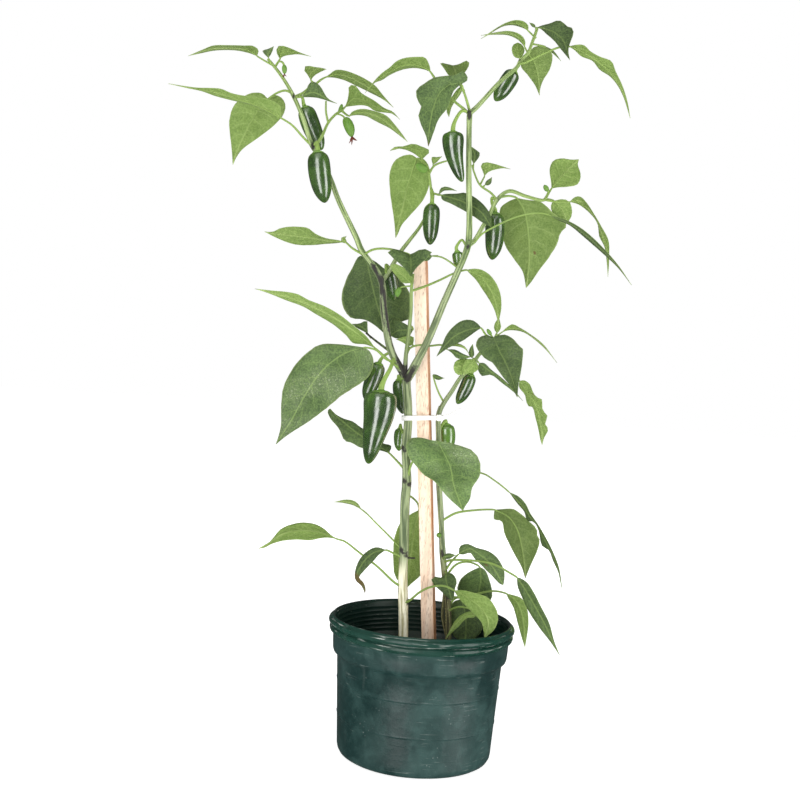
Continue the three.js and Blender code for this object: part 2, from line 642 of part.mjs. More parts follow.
    stem: 'main_stem', name: 'rear_pale', turned: true, peak: 0.45, left: [17, 0], right: [18, 0],
    stalk: [[405, 497, -2], [409, 496, 12], [414, 499, 26], [418, 504, 34]],
    rib: [[419, 510, 38], [414, 530, 44], [411, 555, 52], [406, 589, 60]],
    leftEdge: [[428, 518], [433, 535], [431, 555], [422, 574], [411, 584]],
    rightEdge: [[411, 514], [401, 522], [394, 540], [393, 557], [395.5, 577], [402, 585]],
  },
  {
    stem: 'main_stem', name: 'front_pale', turned: true, peak: 0.45, left: [13, 2], right: [12, -2],
    stalk: [[404, 603, -4], [409, 601, -9], [420, 592, -13], [431, 587, -16], [444, 586, -18]],
    rib: [[454, 590.5, -20], [467, 598, -26], [480, 608, -33], [488, 621, -39], [484.5, 638.5, -45]],
    leftEdge: [[462, 590], [475, 593], [487, 597], [495, 607], [498.4, 617.5], [494.5, 629]],
    rightEdge: [[458, 597], [466, 606], [475, 615], [481.5, 622.5], [483.5, 631]],
  },
  {
    stem: 'centre_twig', name: 'pale_centre', turned: true, peak: 0.3, left: [19.5, 0], right: [20, 0],
    stalk: [[429, 174, 40], [423, 163, 45]],
    rib: [[416.7, 158, 48], [411.5, 174, 53], [407, 189, 58], [403, 207, 64], [395.5, 238.2, 76]],
    leftEdge: [[423, 158.5], [428, 164.5], [430, 173.5], [429, 186], [423, 200], [410, 215.4],
      [401.8, 225], [397.6, 234.5]],
    rightEdge: [[411, 154.6], [402, 156.2], [393, 163], [389.3, 177], [390.5, 195], [393.5, 216],
      [395, 229]],
  },
  {
    stem: 'centre_twig', name: 'curled', turned: true, left: [4, 4], right: [6, -4],
    stalk: [[430, 172, 40], [426, 165, 40]],
    rib: [[422, 160, 40], [420, 152, 42], [411, 148, 45], [401, 147.8, 50], [390, 150.7, 57]],
    leftEdge: [[418.5, 157], [414, 153.6], [407, 150.2], [399, 148.6], [394.5, 149.8]],
    rightEdge: [[424.5, 157], [430, 151], [421, 146.2], [413.5, 143.7], [403, 146.4], [395, 146.8]],
  },
  {
    stem: 'centre_twig', name: 'twig_end', turned: true, left: [4, -1], right: [3, 1],
    stalk: [[434, 166, 39]],
    rib: [[433, 164.5, 38], [434.5, 160, 35], [442, 156.4, 31]],
    leftEdge: [[431.8, 161], [432, 157], [436.5, 157.2]],
    rightEdge: [[436, 163], [439, 159.8]],
  },
  {
    stem: 'centre_twig', name: 'dark_bar', left: [8.5, 0], right: [8.5, 0],
    stalk: [[431, 193, 44], [436, 194, 31], [439, 195, 20]],
    rib: [[441, 195, 13], [455, 199, -1], [470, 205, -11], [482, 213, -21], [491, 227, -27]],
    leftEdge: [[445, 194], [458, 193.6], [465, 192.8], [475, 197.5], [483, 204], [488.5, 211],
      [491.5, 220]],
    rightEdge: [[442, 199.5], [450, 203.3], [461, 209], [473, 216], [484, 223.5]],
  },
  {
    stem: 'centre_twig', name: 'dark_bar_curl', left: [2, -3], right: [2, 3],
    stalk: [[436, 194, 31]],
    rib: [[439, 194, 23], [443, 189, 17], [450, 189, 12], [457, 191, 8]],
  },
  {
    stem: 'centre_shoot', name: 'shoot_pale', turned: true, left: [7, 3], right: [6, -3],
    stalk: [[411.5, 287, -11]],
    rib: [[411, 283, -13], [402, 274, -15], [390, 265, -17]],
    leftEdge: [[403, 283], [397.3, 277], [392, 270.5]],
    rightEdge: [[413, 279], [408.5, 271.6], [402, 266.6], [396, 264]],
  },
  {
    stem: 'centre_shoot', name: 'right_wavy', turned: true, wave: 2.5, left: [8, -6], right: [7, 6],
    stalk: [[411.5, 291, -11], [426, 286, -11], [440, 280, -12], [455, 273, -13]],
    rib: [[467, 270, -13], [480, 276, -10], [491, 290, -6], [497, 306, -2], [498.5, 325, 2]],
  },
  {
    stem: 'centre_shoot', name: 'dark_curl', left: [3, 3], right: [3, -3],
    stalk: [[442, 345, -8]],
    rib: [[447, 349.5, -8], [456, 353, -7], [464, 356.5, -5], [471, 357, -4]],
    leftEdge: [[455, 349.6], [463, 353.8]],
    rightEdge: [[452, 353], [457, 358.3], [465, 358.8]],
  },
  {
    stem: 'centre_shoot', name: 'arc_leaf', turned: true, left: [1.5, 3], right: [1.5, -3],
    stalk: [[442, 345, -8]],
    rib: [[446, 345.4, -6], [457, 344.8, -4], [465, 348, -2], [469, 354, 0]],
  },
  {
    stem: 'centre_shoot', name: 'fork_dark', left: [7, 1], right: [9, 1],
    stalk: [[409, 325, -11], [412, 327, -4]],
    rib: [[413, 330, 2], [405, 330, 6], [397, 331, 10], [391, 336, 12]],
    leftEdge: [[410, 335], [402, 337.6], [396, 338.4]],
    rightEdge: [[408, 325.5], [400.5, 321.5], [391.5, 319], [390, 328]],
  },
  {
    stem: 'centre_shoot', name: 'fork_light', turned: true, left: [4, 1], right: [5, 1],
    stalk: [[407.5, 347, -11], [411, 347.5, -5]],
    rib: [[413, 345, 0], [405, 340.5, 3], [396, 339.4, 5]],
    leftEdge: [[408, 346], [403, 342.6]],
    rightEdge: [[413.5, 337], [405, 336.4]],
  },
  {
    stem: 'right_branch', name: 'behind_v', left: [4, 1], right: [4, -1],
    stalk: [[438, 256, -16]],
    rib: [[432, 256, -16], [426, 257, -17], [418, 259, -19]],
  },
  {
    stem: 'right_branch', name: 'bitten', peak: 0.42, left: [14, 1], right: [19, -1],
    stalk: [[464, 93, -32], [462.5, 88, -35]],
    rib: [[461.5, 84, -38], [450, 84.5, -43], [440, 92, -50], [434, 106, -59], [430, 125, -68],
      [428.4, 146.6, -78]],
    leftEdge: [[457.8, 86.8], [453, 92], [450.5, 100.5], [447, 108.5], [438.3, 119.8], [434, 131.5],
      [430.8, 140.2]],
    rightEdge: [[467.5, 80], [466.6, 75], [462.5, 70.6], [456, 74.6], [444, 76], [432, 78.2],
      [422.8, 85], [416.5, 90], [416.5, 98], [421.8, 108.6], [418.3, 113], [420.6, 123.2], [426, 136]],
  },
  {
    stem: 'right_branch', name: 'top_end_on', turned: true, peak: 0.7, left: [17, -2], right: [16, -2],
    stalk: [[464, 91, -32]],
    rib: [[457, 80, -24], [456, 74, -10], [453, 65.4, 14]],
    leftEdge: [[449, 75.5], [445, 69.5], [440.3, 62.9], [446, 63.8]],
    rightEdge: [[463, 74.5], [466.5, 70], [469.4, 63.5], [467.5, 60.6], [459, 64.2]],
  },
  {
    stem: 'right_branch', name: 'small_pale', turned: true, left: [4, 3], right: [4, -3],
    stalk: [[463, 90, -32]],
    rib: [[462, 86, -29], [457, 95, -22], [452, 105, -16], [449, 117, -10]],
    leftEdge: [[463.2, 88], [460, 94.8], [454.6, 102], [450.5, 109.5]],
    rightEdge: [[458.5, 88], [453, 95], [448, 104], [446.6, 111.5]],
  },
  {
    stem: 'right_branch', name: 'top_left', turned: true, left: [6, 9], right: [6, -9],
    stalk: [[434.5, 78, -24]],
    rib: [[430.5, 72, -22], [425, 67.5, -20], [412, 65, -17], [399, 67, -13], [387, 73.5, -10],
      [377, 80, -7], [364.6, 93.5, -4]],
    leftEdge: [[424, 69.4], [412, 68], [400, 70.4], [388, 76], [382, 80.2], [375, 82.6]],
    rightEdge: [[429.6, 66], [425, 57.5], [419, 57], [408, 57.4], [397, 60.8], [390, 67.3], [383, 72.2],
      [376.5, 78.5]],
  },
  {
    stem: 'right_branch', name: 'tip_upper', turned: true, left: [3, 7], right: [3.5, -7],
    stalk: [[536, 38, -13], [532, 34.5, -12]],
    rib: [[528, 30.5, -11], [521, 25, -10], [511, 23.4, -8.5], [500, 26.5, -7], [490, 32.8, -6],
      [480.7, 39, -5]],
    leftEdge: [[523, 28], [513, 25.2], [504, 26], [497, 29.3], [489, 34.4]],
    rightEdge: [[528.4, 26], [524, 21.5], [515.8, 20.1], [506, 22.8], [497.5, 27.4], [488, 33.8]],
  },
  {
    stem: 'right_branch', name: 'tip_lower', turned: true, left: [4, 7], right: [4.5, -7],
    stalk: [[528, 53, -16]],
    rib: [[524.6, 47, -13], [522.5, 41, -11], [516, 35.6, -9], [506, 33, -5], [495, 33.3, -1],
      [480.7, 35.5, 4]],
    leftEdge: [[521.5, 43], [516.5, 38.7], [508, 35.2], [498, 34.6], [489, 34.9]],
    rightEdge: [[525.4, 43], [523.9, 38.2], [519, 33.8], [509, 31], [499, 31.8], [489, 33.8]],
  },
  {
    stem: 'right_branch', name: 'tip_round', turned: true, peak: 0.5, left: [6, 1], right: [5, 1],
    stalk: [[521, 61, -18]],
    rib: [[520, 58.5, -16], [517, 51, -10], [517.5, 42.6, -3]],
    leftEdge: [[514.5, 57], [511.8, 51], [513, 45]],
    rightEdge: [[523.6, 54], [524.4, 48.5], [521, 44]],
  },
  {
    stem: 'right_branch', name: 'tip_hanging', turned: true, peak: 0.38, left: [14, 0], right: [14, 0],
    stalk: [[530, 50, -15]],
    rib: [[529, 55, -12], [534, 62, -4], [537.5, 75, 9], [539.6, 95.5, 25]],
    leftEdge: [[533, 47.6], [542, 45.8], [550, 49.3], [552.6, 57], [549.5, 70], [543, 80.5], [540, 89.5]],
    rightEdge: [[523.5, 58.5], [520.8, 65.5], [528.5, 76], [535, 85.2], [537.2, 90]],
  },
  {
    stem: 'right_branch', name: 'tip_spike', left: [1.2, 2], right: [1.2, -2],
    stalk: [[532, 44, -14], [538, 45, -15]],
    rib: [[545, 46.5, -16], [553, 52, -17], [561, 61, -18]],
  },
  {
    stem: 'right_branch', name: 'tip_dark', peak: 0.5, left: [12, -2], right: [10, 4],
    stalk: [[536, 30, -12]],
    rib: [[537, 27.5, -14], [548, 30, -18], [559, 36, -26], [566, 46, -35], [569.8, 60.1, -45]],
    leftEdge: [[542, 25.4], [550, 23.4], [558.5, 20.2], [564.5, 23.4], [568, 27], [573, 28.6],
      [573.4, 34], [570, 43], [568.2, 50.5]],
    rightEdge: [[541, 29], [547, 34.5], [554, 40.6], [561, 49.4], [566.5, 56]],
  },
  {
    stem: 'right_branch', name: 'tip_bract', left: [1.6, 1], right: [1.6, -1],
    stalk: [[536.5, 30, -12]],
    rib: [[535.5, 27.5, -13], [533, 25.2, -13.5], [529.2, 22.6, -14]],
  },
  {
    stem: 'right_branch', name: 'long_right', turned: true, wave: 1, left: [6.5, -7], right: [6.5, 7],
    stalk: [[519, 64, -19], [524, 63, -22], [543, 54, -24], [559, 47.5, -23]],
    rib: [[569, 46.5, -21], [580, 50, -18], [592, 57.5, -15], [604, 66.5, -12], [613, 76, -10],
      [620, 87, -8], [626, 101, -6], [630.3, 118.7, -5]],
    leftEdge: [[577, 44.7], [584, 45.3], [590.3, 51.2], [600, 56.8], [611.5, 61.3], [615.5, 71],
      [622.5, 86], [627.5, 102]],
    rightEdge: [[574.5, 50], [581.7, 56.6], [592.5, 60.9], [600, 70], [609.5, 76], [617, 84.5],
      [623.5, 97]],
  },
  {
    stem: 'right_side_branch', name: 'round_pale', turned: true, peak: 0.5, left: [15, 0], right: [14, 0],
    stalk: [[548, 194, 13]],
    rib: [[551.6, 188.5, 18], [560, 178, 29], [568.5, 169, 40], [578.9, 159.3, 52]],
    leftEdge: [[551, 181], [549.6, 170], [552.5, 161.5], [561, 158.3], [571, 159.6]],
    rightEdge: [[558, 187.3], [569, 186.6], [578.5, 183.5], [580.8, 175], [577.8, 164.5]],
  },
  {
    stem: 'right_side_branch', name: 'twisted', turned: true, wave: 1, left: [4, -7], right: [4.5, 7],
    stalk: [[544, 200, 9], [557, 202, 11]],
    rib: [[569.5, 202, 12], [580, 201.5, 14], [590, 210.5, 17], [598, 223, 19], [603.5, 238, 20],
      [607.6, 255, 20], [607.9, 277.1, 18]],
    leftEdge: [[574.5, 197.4], [580, 196.4], [586.5, 202.6], [594, 214], [600.5, 225], [608.4, 240.5],
      [609.2, 255], [608.8, 266]],
    rightEdge: [[573.5, 202.8], [580, 205.2], [591, 214.4], [597.5, 223.6], [599.4, 236.5], [604.6, 247],
      [606.8, 262]],
  },
  {
    stem: 'right_side_branch', name: 'behind_round', turned: true, peak: 0.5, left: [10, 0], right: [9, 0],
    stalk: [[546, 199, 11]],
    rib: [[554, 200.8, 24], [561, 209, 31], [567.5, 223, 38]],
    leftEdge: [[562, 199.2], [569.5, 201.5], [572, 209.5], [571.4, 216.5]],
    rightEdge: [[551.3, 204], [551.5, 210.5], [557, 218]],
  },
  {
    stem: 'right_side_branch', name: 'big_pale', turned: true, peak: 0.36, left: [31, 2], right: [28, 4],
    stalk: [[501, 197, -5], [509, 196, 3]],
    rib: [[517, 198, 9], [524, 210, 20], [528, 232, 31], [529, 258, 42], [526, 288, 50]],
    leftEdge: [[528, 200], [541, 201.8], [550, 210], [561, 219], [567.4, 224.8], [561, 233],
      [557, 243.5], [550, 256], [539, 270.5], [531, 282.5]],
    rightEdge: [[508, 201.8], [501, 207.5], [499.3, 217], [501.3, 231], [504.5, 243.5], [514, 259],
      [522.5, 271.3], [525, 281]],
  },
  {
    stem: 'right_side_branch', name: 'edge_on', left: [3, -10], right: [3, 10],
    stalk: [[474, 243, -24], [482, 234, -31], [498, 225, -34], [516, 217, -36], [535, 213, -38],
      [546, 214, -39]],
    rib: [[550, 215.5, -39], [570, 223.6, -40], [585, 234, -41.5], [602, 249.5, -43.5],
      [618, 266.5, -44.5], [631.8, 285.4, -45]],
    leftEdge: [[557, 216.9], [571, 222.2], [585, 231], [602, 246.7], [618.5, 265.6]],
    rightEdge: [[557, 219.6], [569.5, 225.2], [584, 237], [601, 251.8], [618, 267.8]],
  },
  {
    stem: 'right_side_branch', name: 'twig_pale', turned: true, left: [5, -4], right: [4, 4],
    stalk: [[480, 185, -4]],
    rib: [[484.6, 176, -1], [486, 168, 3], [493, 166.6, 6], [501, 167.2, 9], [510.5, 169.1, 12]],
    leftEdge: [[482, 169], [480.6, 164.4], [486, 162.3], [494, 163.8], [503, 166.6]],
    rightEdge: [[488, 172.4], [495, 169.6], [503, 168.2]],
  },
  {
    stem: 'right_side_branch', name: 'twig_grey', left: [2.5, 1], right: [2.5, -1],
    stalk: [[483, 187, -4]],
    rib: [[485, 185, -5], [489, 182, -5], [492, 177, -5]],
  },
  {
    stem: 'right_side_branch', name: 'behind_branch', left: [4, 0], right: [5, 0],
    stalk: [[473, 169, -3]],
    rib: [[473.6, 164, -2], [475, 156, -1], [471.6, 146.8, 1]],
    leftEdge: [[471, 158], [470.5, 152]],
    rightEdge: [[478.5, 158], [480, 153.5], [475.5, 149.5]],
  },
  {
    stem: 'second_stem', name: 'right_hanging', turned: true, peak: 0.4, left: [15, 0], right: [12, 0],
    stalk: [[443, 520, 11], [456, 513, 12], [477, 510, 12], [488, 509.5, 13]],
    rib: [[494.5, 509.8, 14], [506, 515, 17], [516, 527, 22], [522, 549, 28], [525.4, 578.5, 35]],
    leftEdge: [[504, 509], [514, 509.2], [521, 513.8], [530, 522], [536.8, 529.5], [537, 534],
      [539.8, 538.5], [536.5, 552.5], [530, 567]],
    rightEdge: [[494, 514], [494.5, 519.5], [501.5, 521], [505, 535], [513, 551], [521.5, 567]],
  },
  {
    stem: 'second_stem', name: 'right_edge_on', left: [3, -8], right: [3, 8],
    stalk: [[439.5, 488, 10], [455, 476, 9], [481, 473, 6], [496, 481.5, 4]],
    rib: [[509, 492, 2], [523, 507, 1.5], [533, 520, 0.5], [542, 534, -1], [550, 549, -3],
      [557, 566, -4.5], [562.4, 591, -6]],
    leftEdge: [[519, 496.8], [526, 504.5], [530, 513], [538, 524.5], [546, 538], [553, 552], [559, 568]],
    rightEdge: [[517, 503], [524.5, 512], [527.3, 521], [533.5, 521.4], [538.5, 530], [542, 545.5],
      [549, 550.4], [552.8, 560], [559, 574]],
  },
  {
    stem: 'second_stem', name: 'in_pot', peak: 0.5, left: [16, 2], right: [15, 2],
    stalk: [[448, 606, 13], [456, 598, 20]],
    rib: [[461, 599, 26], [465, 612, 23], [466, 628, 18], [465, 643, 10]],
    leftEdge: [[468, 604], [477, 614], [482.5, 625], [479, 635]],
    rightEdge: [[453, 602], [449.5, 612], [449.5, 624], [454, 636]],
  },
  {
    stem: 'second_stem', name: 'pot_crescent', turned: true, left: [4, -3], right: [4, 3],
    stalk: [[448, 611, 11], [458, 607, 4], [470, 609, 0]],
    rib: [[477, 614.5, -1], [466, 614.8, -2], [457.5, 621.5, -3], [445.5, 639, -4]],
    leftEdge: [[474, 617.5], [467, 618], [459, 626], [451.5, 633]],
    rightEdge: [[472, 611.6], [463, 613.8], [456, 619.5], [449.5, 630.5]],
  },
  {
    stem: 'second_stem', name: 'front_dark', peak: 0.4, left: [8, 0], right: [12, -1],
    stalk: [[445.5, 572, 10]],
    rib: [[446, 573, 3], [446, 580, -2], [449, 590, -6], [452, 601, -9]],
    leftEdge: [[452, 573.5], [456.8, 581], [454.6, 590], [454, 596]],
    rightEdge: [[441, 578], [434, 576.5], [431, 580.5], [436, 587], [443, 593]],
  },
  {
    stem: 'second_stem', name: 'right_round', peak: 0.42, left: [13, 1], right: [16, 1],
    stalk: [[446, 576, 12], [457, 564, 11], [469, 562, 10]],
    rib: [[480, 567, 11], [481, 579, 18], [479, 591, 28], [475, 604, 40]],
    leftEdge: [[485, 570], [489.5, 580], [492, 590], [491.5, 599], [484, 603]],
    rightEdge: [[471, 571], [462, 577.5], [457.5, 586], [459, 596], [466, 603]],
  },
  {
    stem: 'second_stem', name: 'right_cupped', peak: 0.4, left: [9, 4], right: [7, -3],
    stalk: [[445, 571, 12], [452, 561, 8]],
    rib: [[459, 554, 3], [470, 549, -2], [480, 555, -5], [491, 565, -7.5], [503.3, 585, -11]],
    leftEdge: [[459.8, 546.5], [467, 543.8], [477, 548], [488, 551], [497, 557.5], [504, 570.5],
      [504.4, 579]],
    rightEdge: [[463, 554.6], [470.5, 553], [474, 558], [483, 567], [494, 578], [500, 584]],
  },
  {
    stem: 'second_stem', name: 'right_long', left: [7, -4], right: [7, 4],
    stalk: [[444, 562, 11], [452, 560, 0], [462, 560, -5], [477, 561, -9], [493, 564, -13],
      [510, 573, -16]],
    rib: [[517, 577.5, -17], [525, 589, -22], [534, 604, -29], [544, 622, -37], [553, 641, -45],
      [559.8, 655.5, -50]],
    leftEdge: [[520, 578], [526.5, 582], [533, 591], [540, 604.8], [549, 622.6], [554.5, 642]],
    rightEdge: [[517.5, 585], [520.5, 594], [528.5, 611], [540, 628.4], [550.5, 642]],
  },
  {
    stem: 'second_stem', name: 'outside_rim', turned: true, left: [7, -3], right: [6, 3],
    stalk: [[447, 597, 12], [462, 597, 14], [480, 593, 14], [495, 591, 12]],
    rib: [[506.5, 593.6, 11], [515, 600, 13], [521, 611, 16], [524, 627, 20], [525, 647.5, 25]],
    leftEdge: [[514, 595.3], [522, 598.5], [527, 608], [528.5, 622], [527, 636]],
    rightEdge: [[507.5, 597], [513, 606.5], [517.5, 622.6], [522.4, 640]],
  },
  {
    stem: 'second_stem', name: 'small_dark', left: [3, 1], right: [3, -1],
    stalk: [[444, 560, 11]],
    rib: [[443, 557, 6], [449, 556, 4], [456, 555, 3]],
  },
  {
    stem: 'second_shoot', name: 'shoot_left', peak: 0.42, left: [9, 2], right: [9.5, -3],
    stalk: [[494, 339, 4], [486, 335, 6]],
    rib: [[481, 328, 6], [468, 330, 1], [452, 338, -10], [436.5, 356.5, -24]],
    leftEdge: [[475, 332], [467, 338], [457, 343.8], [447, 348.8]],
    rightEdge: [[479, 325], [473, 320.5], [464, 320], [455, 325], [447, 334], [442, 345]],
  },
  {
    stem: 'second_shoot', name: 'shoot_broad', peak: 0.38, left: [22, 0], right: [20, 0],
    stalk: [[494, 340, 3]],
    rib: [[493.5, 337, 0], [499, 350, -4], [507, 366, -12], [513, 382, -20], [517.4, 397.4, -30]],
    leftEdge: [[500, 335.2], [506, 334.8], [514, 339.5], [519.5, 346.5], [522.8, 348.4], [523, 358],
      [520.5, 373], [518.3, 387]],
    rightEdge: [[486, 335.4], [480, 337], [476, 343], [478, 350], [485.5, 359.2], [491.5, 361.8],
      [501, 374.6], [512.5, 389]],
  },
  {
    stem: 'second_shoot', name: 'shoot_right', turned: true, left: [3, -7], right: [3, 7],
    stalk: [[496, 337, 4]],
    rib: [[501, 332.8, 7], [509, 328.5, 9], [519, 329, 10], [532, 336.5, 12], [545, 347, 14],
      [557, 363, 15]],
    leftEdge: [[507, 327.3], [512.5, 324.2], [519, 327.2], [530, 334], [543.5, 344.6]],
    rightEdge: [[507.5, 330.4], [516, 330.4], [524, 332.4], [535, 339.8], [547, 350.8]],
  },
  {
    stem: 'second_shoot', name: 'pod_bract', turned: true, left: [6, -2], right: [6, 2],
    stalk: [[476, 360, 0]],
    rib: [[475, 361, 0], [467, 363, -2], [460, 366, -4], [453.6, 367, -7]],
    leftEdge: [[467, 373], [457, 374.5], [454, 370]],
    rightEdge: [[466, 358.6], [458, 359.6], [455, 362]],
  },
  {
    stem: 'second_shoot', name: 'leaflet', left: [3, 1], right: [2.5, -1],
    stalk: [[476, 359, 0]],
    rib: [[472, 358, 1], [471.5, 351, 3], [472.8, 344, 5]],
    leftEdge: [[468.8, 355], [469.5, 349]],
    rightEdge: [[474.2, 355], [473.6, 349]],
  },
  {
    stem: 'second_shoot', name: 'shoot_cap', turned: true, left: [5, -1], right: [4, 1],
    stalk: [[477, 359, 0]],
    rib: [[474, 359, -3], [470, 365.5, -6], [463, 375, -8]],
    leftEdge: [[478.6, 366], [477, 371], [469, 373]],
    rightEdge: [[466.5, 359.6], [462.5, 367]],
  },
  {
    stem: 'second_shoot', name: 'shadowed', left: [4, 0], right: [6, 1],
    stalk: [[475, 361, -1], [477, 361, 5]],
    rib: [[479, 363, 10], [489, 370, 13], [501, 378.5, 10], [512, 389, 7], [523, 401, 4]],
    leftEdge: [[484, 363], [491, 369.4], [500, 376.4], [511, 386.6]],
    rightEdge: [[478, 370], [482, 375.8], [491, 374.8], [502, 383], [513, 391.4]],
  },
  {
    stem: 'second_shoot', name: 'wavy_low', turned: true, peak: 0.45, wave: 1.5, left: [7, -4], right: [6, 4],
    stalk: [[494, 338, 4], [502, 347, 12], [512, 368, 22]],
    rib: [[519.5, 381, 25], [526, 390, 27.5], [533, 400, 29], [538, 412, 31], [541, 428, 33.5],
      [542.2, 445.2, 35]],
    leftEdge: [[524, 380.2], [530, 384.4], [533.5, 393], [537, 397.4], [541.5, 399], [542.8, 410.5],
      [547.3, 415.5], [545.3, 424.3], [548.4, 429], [543.8, 438.6]],
    rightEdge: [[519, 387], [525, 395], [526.3, 402], [528.8, 406.4], [532.6, 407], [535.4, 417.5],
      [538.5, 430], [540.5, 440.5]],
  },
  {
    stem: 'second_shoot', name: 'shoot_tip', turned: true, left: [3, 1], right: [4, -1],
    stalk: [[496, 336, 4]],
    rib: [[497, 333, 5], [497, 326, 6], [499, 317, 7]],
  },
  {
    stem: 'second_shoot', name: 'twist', left: [2, 2], right: [2.6, -2],
    stalk: [[444, 403, 5], [438, 391, 4], [434, 379, 3]],
    rib: [[433, 374.5, 2], [438, 377.5, 1], [444.4, 378.2, 0]],
  },
];

const BLADE_PEAK = 0.38;
const BROAD_HALF = 12;
const BROAD_SHOULDER = 0.38;
const SLIM_SHOULDER = 0.75;
const TIP_DRAW = 1.3;
const BASE_CROWDING = 1.35;
const QUILTING = 0.09;
const EDGE_WAVES = 5;
const EDGE_WAVE_SHARE = 0.07;
const WIDE_HALF = 18;
const WIDE_PLACES = [1, 0.55];
const ROW_LENGTH = 24;
const FEWEST_ROWS = 3;
const MOST_ROWS = 5;
const SMALL_HALF = 6;
const SMALL_STALK_RADIUS = 0.85;
const STALK_TAPER = [1.15, 1, 0.8];
const STALK_IN_BLADE = 5;

// The blade's width: round shoulders at the base and a drawn-out tip.
function widthAt(along, peak, shoulder) {
  if (along < peak) {
    return Math.sin((Math.PI / 2) * (along / peak)) ** shoulder;
  }
  return Math.cos((Math.PI / 2) * ((along - peak) / (1 - peak))) ** TIP_DRAW;
}

const halfWidth = (leaf) => Math.max(leaf.left[0], leaf.right[0]);

// A drawn edge as a curve in the front view, from the blade's base to its tip.
function drawnEdge(leaf, places) {
  const whole = [leaf.rib[0], ...places, leaf.rib[leaf.rib.length - 1]];
  return smooth(whole.map(([column, row]) => new THREE.Vector3(column, row, 0)));
}

// The two halves of a blade; `way` is 1 to the left of the rib and -1 to its right.
function bladeHalves(leaf) {
  const half = ([reach, deeper], places, way) => {
    return { reach, deeper, way, edge: places ? drawnEdge(leaf, places) : null };
  };
  return [half(leaf.left, leaf.leftEdge, 1), half(leaf.right, leaf.rightEdge, -1)];
}

// From the rib's point `centre` out to the edge, in columns and rows.
function outToEdge(half, centre, heading, along, width) {
  if (half.edge) {
    const edge = half.edge.getPointAt(along);
    return new THREE.Vector2(edge.x - centre.x, edge.y - centre.y);
  }
  return new THREE.Vector2(heading.y, -heading.x).normalize().multiplyScalar(half.way * half.reach * width);
}

// The blade's sheet as rows of points across it, from base to tip. Each half
// arches up from the rib, and its edge runs in waves.
function bladeRows(leaf, steps) {
  const rib = smooth(leaf.rib.map((point) => new THREE.Vector3(...point)));
  const broad = halfWidth(leaf) > BROAD_HALF;
  const across = halfWidth(leaf) > WIDE_HALF ? WIDE_PLACES : [1];
  const lift = (leaf.turned ? 1 : -1) * QUILTING;
  const halves = bladeHalves(leaf);
  const rows = [];
  for (let step = 1; step < steps; step += 1) {
    const along = (step / steps) ** (broad ? BASE_CROWDING : 1);
    const centre = rib.getPointAt(along);
    const heading = rib.getTangentAt(along);
    const width = widthAt(along, leaf.peak ?? BLADE_PEAK, broad ? BROAD_SHOULDER : SLIM_SHOULDER);
    const wave = (leaf.wave ?? leaf.left[0] * EDGE_WAVE_SHARE) * Math.sin(along * Math.PI * EDGE_WAVES);
    const [left, right] = halves.map((half) => {
      const out = outToEdge(half, centre, heading, along, width);
      return across.map((part) => {
        const arch = lift * out.length() * Math.sin(part * Math.PI);
        const depth = (half.deeper + wave) * part * width + arch;
        return seen(centre.x + out.x * part, centre.y + out.y * part, centre.z + depth);
      });
    });
    rows.push([...left, seenPoint(centre.toArray()), ...right.reverse()]);
  }
  return { rows, base: seenPoint(rib.getPoint(0).toArray()), tip: seenPoint(rib.getPoint(1).toArray()) };
}

// The sheet's triangles; `rows` points are numbered row by row after the base.
function sheetTriangles(rowCount, width) {
  const triangles = [];
  const at = (row, place) => 1 + row * width + place;
  const tip = 1 + rowCount * width;
  for (let place = 0; place < width - 1; place += 1) {
    triangles.push([0, at(0, place), at(0, place + 1)]);
    for (let row = 0; row < rowCount - 1; row += 1) {
      triangles.push([at(row, place), at(row + 1, place), at(row, place + 1)]);
      triangles.push([at(row, place + 1), at(row + 1, place), at(row + 1, place + 1)]);
    }
    triangles.push([tip, at(rowCount - 1, place + 1), at(rowCount - 1, place)]);
  }
  return triangles;
}

function rowSteps(leaf) {
  const base = new THREE.Vector3(...leaf.rib[0]);
  const length = base.distanceTo(new THREE.Vector3(...leaf.rib[leaf.rib.length - 1]));
  return THREE.MathUtils.clamp(Math.round(length / ROW_LENGTH), FEWEST_ROWS, MOST_ROWS);
}

function bladeSolid(leaf) {
  const { rows, base, tip } = bladeRows(leaf, rowSteps(leaf));
  const width = rows[0].length;
  const sheet = [base, ...rows.flat(), tip];
  const triangles = sheetTriangles(rows.length, width);
  const normals = sheet.map(() => new THREE.Vector3());
  triangles.forEach(([a, b, c]) => {
    const normal = sheet[b].clone().sub(sheet[a]).cross(sheet[c].clone().sub(sheet[a]));
    [a, b, c].forEach((corner) => normals[corner].add(normal));
  });
  const shifted = (way) => sheet.map((point, index) => {
    return point.clone().addScaledVector(normals[index].clone().normalize(), way * BLADE_THICKNESS / 2);
  });
  const count = sheet.length;
  const skin = triangles.flatMap(([a, b, c]) => [a, b, c, count + a, count + c, count + b]);
  const leftRim = rows.map((_, row) => 1 + row * width);
  const rightRim = rows.map((_, row) => (row + 1) * width);
  const rim = [0, ...leftRim, count - 1, ...rightRim.reverse()];
  rim.forEach((from, index) => {
    const to = rim[(index + 1) % rim.length];
    skin.push(to, from, count + from, to, count + from, count + to);
  });
  return solid(closedGeometry([...shifted(1), ...shifted(-1)], skin));
}

function stalkSolid(leaf) {
  const onRib = leaf.rib.map((point) => new THREE.Vector3(...point));
  const share = Math.min(0.6, STALK_IN_BLADE / onRib[0].distanceTo(onRib[1]));
  const inBlade = onRib[0].clone().lerp(onRib[1], share);
  const path = [...leaf.stalk, leaf.rib[0], inBlade.toArray()].map(seenPoint);
  const radius = halfWidth(leaf) < SMALL_HALF ? SMALL_STALK_RADIUS : STALK_RADIUS;
  const radii = STALK_TAPER.map((part) => part * radius);
  return solid(barAlong(smooth(path), radii, 3, Math.max(3, Math.ceil(path.length / 2))));
}

